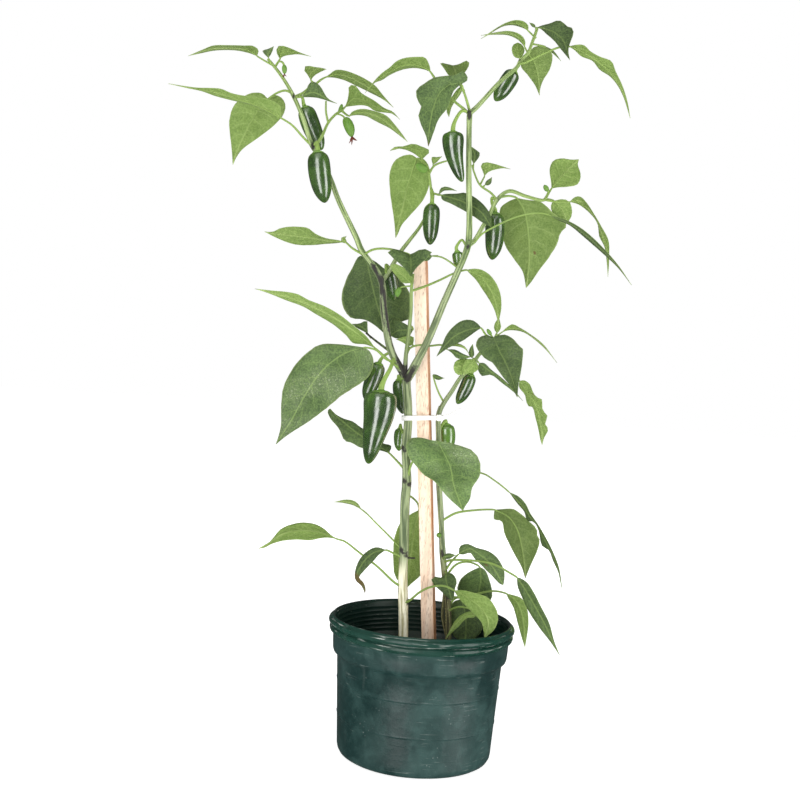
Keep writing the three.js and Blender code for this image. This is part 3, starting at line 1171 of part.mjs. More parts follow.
// ----------------------------------------------------------------------- pods
// A pod hangs from `stem` by a stalk whose points run from the stem to the pod's
// crown; `axis` runs from the crown to the tip. `tapered` ones are widest near the
// crown. Small ones are still fruitlets in one piece with their stem.

const PODS = [
  {
    name: 'pod_upper_left_rear', stem: 'left_branch', diameter: 19,
    stalk: [[296, 97, -12], [302, 97, -7]],
    axis: [[305, 108, -4], [312, 128, -4], [322, 150, -6]],
  },
  {
    name: 'pod_upper_left_front', stem: 'left_branch', diameter: 22,
    stalk: [[314, 146, -23], [317, 142, -32]],
    axis: [[318, 153, -38], [320, 175, -39], [325, 203, -39]],
  },
  {
    name: 'pod_fork_large', stem: 'left_branch', diameter: 33, tapered: true,
    stalk: [[394, 358, -7], [390, 369, -21], [384, 380, -28]],
    axis: [[381, 392, -31], [379.5, 412, -32], [374, 436, -33], [368, 464, -33]],
  },
  {
    name: 'pod_fork_rear', stem: 'left_branch', diameter: 17,
    stalk: [[391, 352, -5], [385, 355, -1]],
    axis: [[379, 364, 2], [373, 380, 3], [365, 400, 3]],
  },
  {
    name: 'pod_fork_dark', stem: 'main_stem', diameter: 14,
    stalk: [[405, 386, -2], [402, 377, 5]],
    axis: [[399, 380, 11], [400, 394, 12], [403, 414, 12]],
  },
  {
    name: 'pod_tie_left', stem: 'main_stem', diameter: 11,
    stalk: [[405, 436, -2], [402, 431, 4]],
    axis: [[400, 429, 10], [399, 439, 11], [399, 451, 11]],
  },
  {
    name: 'pod_tie_right', stem: 'second_stem', diameter: 18,
    stalk: [[438.5, 434, 9], [441, 427, 15]],
    axis: [[446, 425, 23], [447, 438, 23], [447, 452, 22]],
  },
  {
    name: 'pod_second_shoot', stem: 'second_shoot', diameter: 14,
    stalk: [[470, 369, -3], [473, 367, 5]],
    axis: [[471, 375, 13], [466, 388, 15], [457, 404, 15]],
  },
  {
    name: 'pod_right_side', stem: 'right_side_branch', diameter: 20,
    stalk: [[496, 200, -8], [492, 198, -3], [492, 203, 2]],
    axis: [[495, 214, 6], [495, 235, 6], [492, 260, 6]],
  },
  {
    name: 'pod_centre_twig', stem: 'centre_twig', diameter: 17.5,
    stalk: [[431, 188, 44], [433, 194, 37]],
    axis: [[432, 205, 31], [431, 222, 29], [430, 245, 29]],
  },
  {
    name: 'pod_right_tall', stem: 'right_branch', diameter: 21, tapered: true,
    stalk: [[470, 113, -30], [462, 111, -39], [455, 121, -44]],
    axis: [[453, 133, -46], [453.5, 150, -46], [457.5, 168, -46], [462.5, 182, -46]],
  },
  {
    name: 'pod_top_right', stem: 'right_branch', diameter: 17,
    stalk: [[519, 64, -19], [518, 65, -11]],
    axis: [[514, 72, -7], [505, 86, -7], [495, 101, -7]],
  },
  {
    name: 'pod_right_small', stem: 'right_branch', diameter: 11,
    stalk: [[467, 248, -26], [462, 240, -18], [458, 244, -12]],
    axis: [[457, 252, -10], [458, 259, -9], [458, 267, -9]],
  },
  {
    name: 'pod_left_small', stem: 'centre_twig', diameter: 15,
    stalk: [[386, 273, -5], [386, 265, 5]],
    axis: [[389, 271, 11], [392, 284, 13], [394, 301, 13]],
  },
];

const FRUITLETS = [
  {
    stem: 'left_branch', diameter: 10, stalk: [[336, 114, -5], [341, 115, -8]],
    axis: [[345, 118, -10], [349, 126, -11], [352, 137, -12]],
  },
  {
    stem: 'left_branch', diameter: 5, stalk: [[275, 67, -3], [278, 62, -5], [282, 62, -7]],
    axis: [[284, 65, -8], [284.5, 69, -8], [284.5, 74, -8]],
  },
  {
    stem: 'left_branch', diameter: 4, stalk: [[336, 114, -4]],
    axis: [[339, 112, -1], [341, 108, 0], [342, 104, 1]],
  },
  {
    stem: 'centre_twig', diameter: 9, stalk: [[429, 173, 39]],
    axis: [[427, 171, 37], [422, 168, 35], [416, 164, 34]],
  },
  {
    stem: 'centre_shoot', diameter: 6, stalk: [[402, 287, -12]],
    axis: [[400, 288, -12], [398, 292, -13], [397, 297, -13]],
  },
  {
    stem: 'right_side_branch', diameter: 5, stalk: [[548, 194, 13]],
    axis: [[548, 191, 10], [546, 188, 9], [544, 185, 9]],
  },
  {
    stem: 'second_shoot', diameter: 4, stalk: [[494, 339, 3]],
    axis: [[491, 335, 1], [489, 332, 0], [487, 329, 0]],
  },
  {
    stem: 'second_stem', diameter: 5, stalk: [[443, 536, 11]],
    axis: [[440.5, 536, 9], [438.5, 535, 7.5], [437, 534, 6.5]],
  },
];

// Pairs of [share of the length, share of the width].
const POD_SHAPE = [
  [0, 0.5], [0.05, 0.8], [0.15, 0.97], [0.38, 1], [0.65, 0.9], [0.85, 0.62], [0.97, 0.28],
];
const TAPERED_SHAPE = [
  [0, 0.55], [0.04, 0.85], [0.14, 1], [0.3, 0.93], [0.54, 0.74], [0.8, 0.49], [0.96, 0.24],
];
const FRUITLET_SHAPE = [[0.03, 0.6], [0.45, 1], [0.9, 0.55]];
const CALYX_REACH = 0.52;
const CALYX_HEIGHT = 2.2;
const POD_STALK_TAPER = [0.8, 0.9, 1.25];
const THICKEST_POD_STALK = 2.2;
const FRUITLET_STALK_RADII = [0.9, 0.9, 1.1];
const AXIS_STEPS = 40;
const LARGE_POD = 25;
const SMALL_POD = 16;

function podGeometry(pod, shape, sides) {
  const curve = smooth(pod.axis.map(seenPoint));
  const frames = curve.computeFrenetFrames(AXIS_STEPS);
  const rings = shape.map(([along, width]) => {
    const step = Math.round(along * AXIS_STEPS);
    const radius = (pod.diameter / 2) * width;
    return ringAround(curve.getPointAt(along), frames.normals[step], frames.binormals[step], radius, sides);
  });
  return ringSkin(curve.getPointAt(0), rings, curve.getPointAt(1));
}

// The stalk widens into a flat green cap that stops just short of the pod.
function podStalkSolids(pod) {
  const crown = seenPoint(pod.axis[0]);
  const outward = crown.clone().sub(smooth(pod.axis.map(seenPoint)).getPointAt(0.1)).normalize();
  const capFoot = crown.clone().addScaledVector(outward, CLEARANCE);
  const capTop = crown.clone().addScaledVector(outward, CALYX_HEIGHT);
  const reach = (pod.diameter / 2) * CALYX_REACH;
  const cap = barAlong(new THREE.LineCurve3(capTop, capFoot), [reach * 0.5, reach], 5, 1);
  const neck = capTop.clone().addScaledVector(outward, 2);
  const path = [...pod.stalk.map(seenPoint), neck, capTop.clone().lerp(capFoot, 0.5)];
  const thick = Math.min(THICKEST_POD_STALK, 0.9 + pod.diameter * 0.04);
  const stalk = barAlong(smooth(path), POD_STALK_TAPER.map((part) => part * thick), 4, path.length + 1);
  return [solid(stalk), solid(cap)];
}

function fruitletSolids(fruitlet) {
  const path = [...fruitlet.stalk, fruitlet.axis[0], fruitlet.axis[1]].map(seenPoint);
  const stalk = barAlong(smooth(path), FRUITLET_STALK_RADII, 3, path.length);
  return [solid(stalk), solid(podGeometry(fruitlet, FRUITLET_SHAPE, 5))];
}

// ------------------------------------------------------------------- assembly

const THICK_STEM = 3;
const THIN_STEM = 1.5;

function stemPath(stem) {
  const points = stem.points.map(seenPoint);
  if (!stem.roots) {
    return points;
  }
  const rim = points[0];
  const collar = new THREE.Vector3(rim.x, rim.y, SOIL_TOP);
  const foot = new THREE.Vector3(rim.x, rim.y, SOIL_TOP - ROOT_DEPTH);
  return [foot, collar, ...points];
}

function stemSides(radius) {
  if (radius > THICK_STEM) {
    return 6;
  }
  return radius > THIN_STEM ? 5 : 4;
}

function stemSolid(stem, extra) {
  const path = stemPath(stem);
  const radii = stem.radii.map((radius) => radius + extra);
  return solid(barAlong(smooth(path), radii, stemSides(stem.radii[0]), path.length + (stem.roots ? 3 : 0)));
}

function stemBody(name) {
  return joined(STEMS[name].map((stem) => stemSolid(stem, 0)));
}

// Room round a stem, for what starts from it or stands over it.
function stemRoom(name) {
  return stemSolid(STEMS[name][0], CLEARANCE);
}

function leafyBody(name) {
  const leaves = LEAVES.filter((leaf) => leaf.stem === name);
  const pods = PODS.filter((pod) => pod.stem === name);
  const fruitlets = FRUITLETS.filter((fruitlet) => fruitlet.stem === name);
  return joined([
    stemBody(name),
    ...leaves.map(stalkSolid), ...leaves.map(bladeSolid),
    ...pods.flatMap(podStalkSolids), ...fruitlets.flatMap(fruitletSolids),
  ]);
}

const finish = (color, roughness) => new THREE.MeshStandardMaterial({ color, roughness, metalness: 0 });

const potPlastic = finish('#2f4f49', 0.5);
const soilEarth = finish('#2a211b', 0.95);
const stakeWood = finish('#dcb596', 0.75);
const tiePlastic = finish('#f0f0ee', 0.4);
const stemGreen = finish('#5f7f45', 0.6);
const leafGreen = finish('#5c8247', 0.6);
const podGreen = finish('#1f4a26', 0.25);

const plant = new THREE.Group();

function addPiece(name, geometry, material) {
  const mesh = new THREE.Mesh(geometry, material);
  mesh.name = name;
  plant.add(mesh);
}

// The stems that each one starts from or beside.
const HOST_STEMS = {
  left_branch: ['main_stem'],
  right_branch: ['main_stem', 'left_branch'],
  centre_shoot: ['main_stem', 'left_branch', 'right_branch'],
  centre_twig: ['left_branch'],
  right_side_branch: ['right_branch'],
  second_shoot: ['second_stem'],
};

function addPottedStake() {
  addPiece('pot', geometryOf(potSolid()), potPlastic);
  const cutters = [solid(stakeGeometry(CLEARANCE)), stemRoom('main_stem'), stemRoom('second_stem')];
  addPiece('soil', geometryOf(soilSolid(cutters)), soilEarth);
  addPiece('stake', geometryOf(solid(stakeGeometry(0))), stakeWood);
  addPiece('cable_tie', geometryOf(tieSolid()), tiePlastic);
}

function addStems() {
  Object.keys(STEMS).forEach((name) => {
    const body = leafyBody(name);
    const hosts = HOST_STEMS[name] ?? [];
    const cleared = mainBody(hosts.reduce((rest, host) => rest.subtract(stemRoom(host)), body));
    addPiece(name, geometryOf(cleared), name.endsWith('stem') ? stemGreen : leafGreen);
  });
}

function podSides(diameter) {
  if (diameter > LARGE_POD) {
    return 12;
  }
  return diameter > SMALL_POD ? 8 : 7;
}

function addPods() {
  PODS.forEach((pod) => {
    const sides = podSides(pod.diameter);
    const shape = pod.tapered ? TAPERED_SHAPE : POD_SHAPE;
    addPiece(pod.name, geometryOf(solid(podGeometry(pod, shape, sides))), podGreen);
  });
}

addPottedStake();
addStems();
addPods();

export default plant;
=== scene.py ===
"""A chilli pepper plant in a nursery pot, tied to a square stake, dressed for the camera.

Metres, +Z up. The origin is the centre of the pot's flat underside, +X runs to the right of
the plant's front and +Y to its back.
"""

import logging
import math
from collections.abc import Sequence
from dataclasses import dataclass, field
from enum import Enum
from random import Random

import bmesh
import bpy
from mathutils import Euler, Matrix, Vector, noise


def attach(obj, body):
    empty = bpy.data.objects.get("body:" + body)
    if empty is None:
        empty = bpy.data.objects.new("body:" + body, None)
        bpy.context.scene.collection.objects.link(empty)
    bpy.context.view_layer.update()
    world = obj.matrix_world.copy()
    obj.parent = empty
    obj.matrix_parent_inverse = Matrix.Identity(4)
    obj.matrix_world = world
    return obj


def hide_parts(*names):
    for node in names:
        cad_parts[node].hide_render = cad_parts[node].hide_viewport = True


LOG = logging.getLogger("potted_pepper")

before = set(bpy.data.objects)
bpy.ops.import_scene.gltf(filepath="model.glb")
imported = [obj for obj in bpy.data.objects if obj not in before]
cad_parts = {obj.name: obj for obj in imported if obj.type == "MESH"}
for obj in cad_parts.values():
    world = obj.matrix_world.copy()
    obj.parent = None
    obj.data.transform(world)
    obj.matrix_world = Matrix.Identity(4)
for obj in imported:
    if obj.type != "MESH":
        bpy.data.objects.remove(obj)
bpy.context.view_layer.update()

MM = 0.001
BODY = "root"

Point = tuple[float, float, float]
Colour = tuple[float, float, float]


class Side(Enum):
    """Which face of a leaf shows to the front."""

    TOP = "top"
    UNDER = "under"


TOP, UNDER = Side


@dataclass(frozen=True)
class Stem:
    """A bar from foot to tip: the radii that it runs through, in mm, and its picture points."""

    radii: tuple[float, ...]
    points: tuple[Point, ...]
    roots: bool = False


@dataclass(frozen=True)
class Leaf:
    """A leaf: its stalk's and rib's picture points, and the reach and extra depth of its halves.

    An edge, where it is given, is drawn as (column, row) points between the rib's two ends.
    """

    name: str
    side: Side
    stalk: tuple[Point, ...]
    rib: tuple[Point, ...]
    left: tuple[float, float]
    right: tuple[float, float]
    left_edge: tuple[tuple[float, float], ...] = ()
    right_edge: tuple[tuple[float, float], ...] = ()
    peak: float = 0.38
    wave: float | None = None


@dataclass(frozen=True)
class Pod:
    """A pod: its width in mm, its stalk's picture points, and its axis from crown to tip."""

    stem: str
    name: str
    diameter: float
    stalk: tuple[Point, ...]
    axis: tuple[Point, ...]
    tapered: bool = False


# The plant's layout. A picture point is (column, row, depth): millimetres from the front view's
# left and top edges, and how far behind the plane through the pot's axis the point lies.

STEMS = {
    "main_stem": (
        Stem((5.4, 5.2, 4.8, 4.6, 4.6, 4.3), ((403, 639, -3), (403, 604, -3), (402.5, 585, -3),
             (403.5, 553, -3), (405, 500, -3), (406.5, 483, -3), (406, 451, -3), (408, 417, -3),
             (406, 379, -3)), roots=True),
        Stem((1.2, 0.8), ((404, 557, -3), (410, 558, -4), (415, 558, -5))),
    ),
    "left_branch": (
        Stem((3.9, 3.5, 3, 2.6, 2.2, 1.5), ((405, 376, -4), (391, 350, -6), (384, 310, -8), (381, 280, -10),
             (361, 249, -12), (357, 239, -12), (338.5, 200, -15), (331, 180, -19), (322, 160, -22),
             (312, 145, -22), (303, 118, -19), (293, 95, -11), (283, 78, -5), (274, 66, -2),
             (268, 59, -1))),
        Stem((1.7, 1.2), ((313, 148, -21), (321, 138, -17), (328, 123, -10), (336, 114, -5),
             (343, 110, 0))),
        Stem((1.2, 0.9), ((328, 122, -10), (326, 112, -9), (326, 101, -8))),
        Stem((1.6, 1.1), ((295, 97, -12), (303, 93, -8), (310, 87, -2), (317, 83, 2))),
        Stem((1.2, 0.8), ((388, 350, -6), (376, 341, -4), (366, 333, -2))),
    ),
    "centre_twig": (
        Stem((2.6, 2.2, 1.7, 1.4), ((382, 281, -9), (388, 273, -1), (395, 261, 6), (402, 250, 18),
             (409, 241, 28), (421, 225, 42), (431, 204, 46), (431, 190, 44), (429, 173, 40))),
        Stem((1.4, 0.9), ((429, 174, 40), (434, 166, 39), (443, 162, 37), (447, 161, 36))),
    ),
    "centre_shoot": (
        Stem((2.2, 2, 1.6), ((405, 378, -6), (406, 355, -10), (408, 340, -11), (411, 310, -11),
             (411.5, 289, -11), (413, 274, -9))),
        Stem((1.1, 1), ((406, 357, -10), (410, 348, -9), (420, 345, -8), (428, 346, -8), (442, 345, -8),
             (448, 348, -8))),
        Stem((0.9, 0.8), ((411, 286, -11), (402, 287, -12), (398, 289, -12))),
    ),
    "right_branch": (
        Stem((4.3, 3.9, 3.5, 3.1, 2.9, 2.7), ((407, 379, -5), (412, 371, -10), (420, 356, -15),
             (428, 340, -19), (445, 300, -23), (457, 273, -26), (467, 249, -27), (469, 236, -27),
             (468.7, 166, -29), (469.5, 116, -30), (470, 111, -30))),
        Stem((2.4, 2.2, 1.8, 1.5), ((470, 113, -30), (476, 108, -30), (500, 82, -27), (518, 66, -20),
             (520, 61, -18), (528, 53, -16), (532, 43, -14), (536, 32, -12), (537, 29, -11))),
        Stem((1.4, 1.1), ((470, 113, -30), (468, 105, -31), (464, 92, -32), (462, 86, -31))),
        Stem((1.4, 1.2), ((470, 115, -30), (465, 110, -32), (453, 100, -32), (443, 88, -29),
             (434, 77, -24))),
        Stem((1, 0.8), ((460, 270, -25), (450, 262, -20), (441, 257, -17), (433, 256, -16))),
    ),
    "right_side_branch": (
        Stem((2.5, 2.2, 1.9, 1.5), ((469, 245, -27), (475, 240, -22), (482, 228, -17), (489, 216, -13),
             (497, 200, -8), (509, 191, -1), (525, 196, 3), (540, 200, 7), (544, 200, 9), (549, 192, 14))),
        Stem((1.2, 0.9), ((497, 200, -8), (491, 193, -6), (480, 185, -4), (474, 172, -3), (472, 165, -3))),
    ),
    "second_stem": (
        Stem((3.8, 3.6, 3.4, 3.1, 3, 2.8), ((448, 639, 12), (448, 616, 12), (447, 595, 12),
             (444.5, 574, 12), (442.5, 553, 12), (441, 519, 11), (439, 485, 10), (438.5, 440, 10),
             (438.5, 415, 9), (441, 407, 7)), roots=True),
        Stem((1.7, 1.4), ((446, 634, 13), (442.5, 616, 17), (444, 596, 17), (446, 574, 13))),
    ),
    "second_shoot": (
        Stem((2.6, 2.2, 2, 1.6), ((440.5, 409, 7.5), (445, 401, 4), (452, 391, 0), (461, 377, -3),
             (470, 369, -3), (478, 356, 0), (488, 345, 3), (495, 338, 4), (497, 334, 4))),
    ),
}

LEAVES = {
    "main_stem": (
        Leaf("below_fork_left", TOP, ((405, 470, -3), (397, 461, 3)), ((389, 453, 7), (372, 443, 10),
             (356, 432, 11), (341, 420, 12), (330, 408.5, 13)), (11, -3), (10, 6), ((380, 450.5),
             (371, 449.5), (360, 447.5), (352, 443), (345, 441), (339, 429), (330.5, 418.5), (327.6, 411)),
             ((391.5, 446), (382, 443), (370, 432), (361, 427.5), (353, 421.6), (344, 418.8),
             (335, 413.8))),
        Leaf("big_centre", TOP, ((407, 484, -3), (411, 465, -9), (421, 449, -13), (432, 443, -14)),
             ((438, 441, -15), (443, 451.6, -20), (450, 466, -30), (454, 486, -47), (463, 510.8, -64)),
             (31, -3), (38, -5), ((446, 442), (458, 445), (469, 448.8), (478.5, 457.5), (481, 466),
             (479, 477), (472, 488), (470, 499), (465, 506.5)), ((430, 440), (421, 437.6), (411, 438),
             (405.5, 445), (407.5, 455.5), (416, 465.6), (424, 474.8), (434, 481), (445, 494.4),
             (457, 505.6)), peak=0.3),
        Leaf("low_left", UNDER, ((402, 587, -3), (394, 582, -8), (378, 567, -10), (360, 553, -11),
             (344, 541, -11)), ((337, 539, -11), (325, 534, -11.5), (305, 531, -13), (285, 533.5, -15.5),
             (270, 542, -18), (258.5, 548.6, -20)), (8, -9), (9, 9), ((328, 537.6), (320, 538.3),
             (309, 540.2), (296, 539.5), (283, 540.8), (272, 543.8), (264, 547.8)), ((331, 535),
             (324, 528.8), (315, 524), (303, 522.5), (291, 524.4), (281, 529), (273, 538), (266, 545.6)),
             peak=0.42),
        Leaf("end_on_left", UNDER, ((404, 552, -3), (393, 540, 2), (376, 523, 6), (366, 513, 8)),
             ((361, 509, 9), (354, 504, 10), (345, 502, 12), (334, 502, 14)), (1.5, 7), (3, -7)),
        Leaf("withered", TOP, ((403, 558, -4), (395, 554, -8)), ((386, 550, -11), (373, 553, -13),
             (362, 564, -15), (357, 577, -16), (363, 585, -18), (365, 593.5, -19)), (6, -3), (5, 3),
             ((380, 554), (372, 562.5), (363, 572), (359, 577.5), (363.5, 582.5), (365.6, 589)),
             ((376.8, 547.2), (368, 550.6), (359.5, 559.5), (355, 572), (355.5, 580), (362, 586.5))),
        Leaf("rear_pale", UNDER, ((405, 497, -2), (409, 496, 12), (414, 499, 26), (418, 504, 34)),
             ((419, 510, 38), (414, 530, 44), (411, 555, 52), (406, 589, 60)), (17, 0), (18, 0),
             ((428, 518), (433, 535), (431, 555), (422, 574), (411, 584)), ((411, 514), (401, 522),
             (394, 540), (393, 557), (395.5, 577), (402, 585)), peak=0.45),
        Leaf("front_pale", UNDER, ((404, 603, -4), (409, 601, -9), (420, 592, -13), (431, 587, -16),
             (444, 586, -18)), ((454, 590.5, -20), (467, 598, -26), (480, 608, -33), (488, 621, -39),
             (484.5, 638.5, -45)), (13, 2), (12, -2), ((462, 590), (475, 593), (487, 597), (495, 607),
             (498.4, 617.5), (494.5, 629)), ((458, 597), (466, 606), (475, 615), (481.5, 622.5),
             (483.5, 631)), peak=0.45),
    ),
    "left_branch": (
        Leaf("crest", UNDER, ((274, 66, -2), (266, 61.5, 0)), ((257, 56, 1), (250, 50.5, 1.5),
             (238, 48.5, 1), (222, 48, -1), (207, 49.5, -3), (188, 56, -5)), (4.5, 12), (5, -12),
             ((249, 53), (239, 50.8), (229, 50), (214, 50.6), (202, 53)), ((258.5, 50), (253, 46),
             (243, 45.6), (226, 45.2), (213, 45.6), (203, 49.5))),
        Leaf("crest_small", TOP, ((272, 64, -2),), ((268.5, 58, -3), (269, 53, -6), (273.8, 46.3, -9)),
             (5, 1), (3, -1), ((264, 53.5), (262.5, 50.6), (268, 49)), ((270.5, 55), (272.5, 51))),
        Leaf("crest_right", UNDER, ((275, 67, -2), (277.5, 63, -1)), ((280, 59, 0), (281.5, 53, 3),
             (289, 51.5, 6), (298, 53, 9), (311, 56.5, 12)), (6, -5), (5, 5), ((276.5, 52), (277, 47.5),
             (281, 45.6), (290, 48.2), (300, 52.6)), ((283, 56.5), (290, 55), (298, 54.2))),
        Leaf("hanging", UNDER, ((292, 93, -10), (285, 90.5, -4), (277, 93, 2)), ((268, 99, 6),
             (259.6, 108, 12), (252, 120, 20), (245, 134, 28), (238, 150, 37), (232.8, 165, 45)), (24, 2),
             (25, 0), ((272, 95), (279, 96), (284.5, 102), (285.5, 109), (281, 118), (268.5, 130),
             (255, 140), (243, 148.7), (236.5, 157)), ((262, 93.5), (254, 92.6), (244, 96), (236, 103),
             (230.5, 113), (229.2, 124), (230.5, 138), (232, 153)), peak=0.3),
        Leaf("long_left", UNDER, ((313, 147, -21), (303, 137, -24), (292, 125, -24)), ((281, 118, -22),
             (262, 107.5, -25), (240, 100, -30), (224, 94.5, -34), (205, 90, -38), (187, 87.6, -42),
             (168, 83.5, -45)), (3, 8), (10, -6), ((270, 113.5), (255, 106.5), (240, 102.2), (228, 99.4),
             (214, 95.6), (202, 91.2), (187, 88)), ((280, 106), (272, 100.5), (258, 97), (243, 95.6),
             (231, 93), (221, 88.8), (210, 88), (196, 87.6)), peak=0.28),
        Leaf("shoot_top", UNDER, ((315, 84, 1),), ((311, 80.5, 0), (311, 74, 5), (315.5, 70, 9),
             (326.4, 69.2, 12)), (9, 1), (11, -1), ((307.5, 74.5), (303.8, 69), (306.5, 65.2), (312, 66.6),
             (320, 67.6)), ((313, 77), (317, 73.8), (322, 71.2)), peak=0.4),
        Leaf("shoot_front", TOP, ((296, 97, -12),), ((301, 97, -14), (309, 93, -16), (317, 93.5, -22),
             (325, 98, -28), (337, 103.6, -36)), (11, -2), (4, 4), ((306, 91.5), (309, 83.5), (313, 81.6),
             (319, 84.6), (324.5, 93.5), (327.5, 98.3)), ((308, 97.2), (316, 97.6), (323.5, 99.4),
             (330, 101.6))),
        Leaf("arched_right", UNDER, ((316, 84, 2), (320, 80.5, 3)), ((325, 77.5, 4), (337, 74, 8),
             (350, 77, 12), (365, 85, 17), (378, 94.5, 21), (393.6, 107.6, 25)), (7, -9), (7, 9),
             ((330.5, 73.6), (335.5, 70), (345, 70.6), (355, 74), (366.5, 79.7), (376, 86.5),
             (382.5, 94.6)), ((333, 77.5), (345, 80.5), (358, 86.6), (371, 93), (380, 97.6), (387, 102))),
        Leaf("right_high", UNDER, ((342, 110, 0),), ((345, 107, 2), (353, 99, 8), (362, 100.5, 14),
             (374, 106, 22), (385, 110.5, 28), (393, 113.5, 31), (400, 119.5, 34)), (12, -6), (6, 6),
             ((347.6, 100), (348.8, 92), (349.2, 85.8), (355.5, 85.6), (361, 92.8), (374, 100.4),
             (384.5, 108.2), (392, 111.2)), ((353, 106), (361, 105.2), (368, 106.4), (375, 111),
             (386, 112.8), (392, 113.6))),
        Leaf("right_low", UNDER, ((342, 111, -1),), ((349, 116, -4), (358, 112.5, -5), (370, 113.5, -5),
             (383, 119, -4), (394, 128.5, -2), (407.7, 142, 0)), (5, -9), (6, 9), ((352.5, 111.6),
             (362, 108.9), (375, 111.3), (386, 115.4), (394.5, 124.3), (401.5, 133.2)), ((358, 115),
             (366.5, 116.3), (378, 122.4), (389, 127.8), (399, 135))),
        Leaf("middle_left", UNDER, ((362, 254, -12), (352, 248, -9)), ((345, 242, -6), (330, 240.5, -3),
             (314, 238, 0), (298, 236, 2), (280, 234, 6), (264.3, 231.5, 10)), (8.5, 9), (9, -9),
             ((335, 243.2), (324, 244), (311, 245.2), (298, 244.8), (287, 242.2), (276, 237.6),
             (268.5, 233.8)), ((338, 240.2), (326, 238.2), (315.5, 233.8), (308, 228.2), (300, 226.8),
             (288, 226.7), (279, 228.6), (274.5, 231.2), (269, 232))),
        Leaf("middle_curl", UNDER, ((352, 248, -9),), ((346.5, 243, -8), (342.5, 239.5, -7),
             (346.5, 236, -6)), (2, 1), (3, -1)),
        Leaf("broad_rear", TOP, ((377, 276, -11), (374, 267, 14), (370, 259, 42)), ((366, 257, 50),
             (371, 280, 44), (378, 308, 34), (388, 337.5, 22)), (34, -3), (33, 3), ((374.5, 261),
             (383, 267.5), (395, 276), (408, 289), (411.5, 303), (409.5, 318.5), (401, 322), (393, 331)),
             ((359.6, 256), (352, 268), (346.5, 279), (342.3, 291), (342.4, 304), (351, 317.8),
             (364, 319.5), (375.5, 325.8), (384, 333.5)), peak=0.42),
        Leaf("v_leaf", TOP, ((363, 255, -12), (372, 250, -18), (381, 248.6, -24), (392, 249.5, -28),
             (402, 252, -31)), ((409.5, 254.5, -33), (411, 263, -40), (411, 277, -50)), (20, -3), (20, -1),
             ((414.5, 252.6), (419, 250), (427, 249.1), (431.6, 251.8), (430, 255), (421.8, 262.7),
             (414.5, 270)), ((404.5, 252.8), (399, 249.8), (391, 249), (387.5, 251), (391.5, 256.6),
             (399, 263), (406, 270)), peak=0.36),
        Leaf("pale_long", UNDER, ((402, 370, -5), (391, 362, -14), (381, 353, -17)), ((375, 348, -17),
             (362, 336, -16.5), (345, 324, -16), (325, 312, -14), (303, 302, -12), (280, 294.6, -10),
             (254.5, 288.7, -7)), (7, 10), (7, -10), ((366, 344.6), (353, 343), (346, 335), (334, 325),
             (316, 314), (303, 306.6), (284, 299.4), (268, 293)), ((366, 336), (352, 324.4), (340, 315),
             (325, 306.4), (308, 299.8), (298, 294.4), (288, 292.2), (270, 290.4))),
        Leaf("front_left", TOP, ((397, 362, -6), (386, 359, -20), (376, 350, -24)), ((364, 347.5, -26),
             (347, 352, -28), (330, 363, -33), (316, 378, -38), (304, 397, -44), (292, 419, -52),
             (275.7, 444.6, -60)), (34, 3), (22, -3), ((370, 351.5), (374, 363), (367, 378), (351, 389),
             (337, 399), (321, 412.6), (302, 425.8), (286, 436.2)), ((352, 345.6), (335, 344), (320, 344.6),
             (304, 355), (290, 373), (282.5, 391), (281.2, 408), (281, 425), (278, 438)), peak=0.36),
        Leaf("twig_leaf", TOP, ((371, 338, -3),), ((368, 334, -2), (363, 328, 0), (352, 324, 3)), (3, 2),
             (5, -2), ((364, 331.5), (358, 328.5)), ((367.5, 327), (366.8, 320.4), (360, 323.4))),
    ),
    "centre_twig": (
        Leaf("pale_centre", UNDER, ((429, 174, 40), (423, 163, 45)), ((416.7, 158, 48), (411.5, 174, 53),
             (407, 189, 58), (403, 207, 64), (395.5, 238.2, 76)), (19.5, 0), (20, 0), ((423, 158.5),
             (428, 164.5), (430, 173.5), (429, 186), (423, 200), (410, 215.4), (401.8, 225),
             (397.6, 234.5)), ((411, 154.6), (402, 156.2), (393, 163), (389.3, 177), (390.5, 195),
             (393.5, 216), (395, 229)), peak=0.3),
        Leaf("curled", UNDER, ((430, 172, 40), (426, 165, 40)), ((422, 160, 40), (420, 152, 42),
             (411, 148, 45), (401, 147.8, 50), (390, 150.7, 57)), (4, 4), (6, -4), ((418.5, 157),
             (414, 153.6), (407, 150.2), (399, 148.6), (394.5, 149.8)), ((424.5, 157), (430, 151),
             (421, 146.2), (413.5, 143.7), (403, 146.4), (395, 146.8))),
        Leaf("twig_end", UNDER, ((434, 166, 39),), ((433, 164.5, 38), (434.5, 160, 35), (442, 156.4, 31)),
             (4, -1), (3, 1), ((431.8, 161), (432, 157), (436.5, 157.2)), ((436, 163), (439, 159.8))),
        Leaf("dark_bar", TOP, ((431, 193, 44), (436, 194, 31), (439, 195, 20)), ((441, 195, 13),
             (455, 199, -1), (470, 205, -11), (482, 213, -21), (491, 227, -27)), (8.5, 0), (8.5, 0),
             ((445, 194), (458, 193.6), (465, 192.8), (475, 197.5), (483, 204), (488.5, 211), (491.5, 220)),
             ((442, 199.5), (450, 203.3), (461, 209), (473, 216), (484, 223.5))),
        Leaf("dark_bar_curl", TOP, ((436, 194, 31),), ((439, 194, 23), (443, 189, 17), (450, 189, 12),
             (457, 191, 8)), (2, -3), (2, 3)),
    ),
    "centre_shoot": (
        Leaf("shoot_pale", UNDER, ((411.5, 287, -11),), ((411, 283, -13), (402, 274, -15), (390, 265, -17)),
             (7, 3), (6, -3), ((403, 283), (397.3, 277), (392, 270.5)), ((413, 279), (408.5, 271.6),
             (402, 266.6), (396, 264))),
        Leaf("right_wavy", UNDER, ((411.5, 291, -11), (426, 286, -11), (440, 280, -12), (455, 273, -13)),
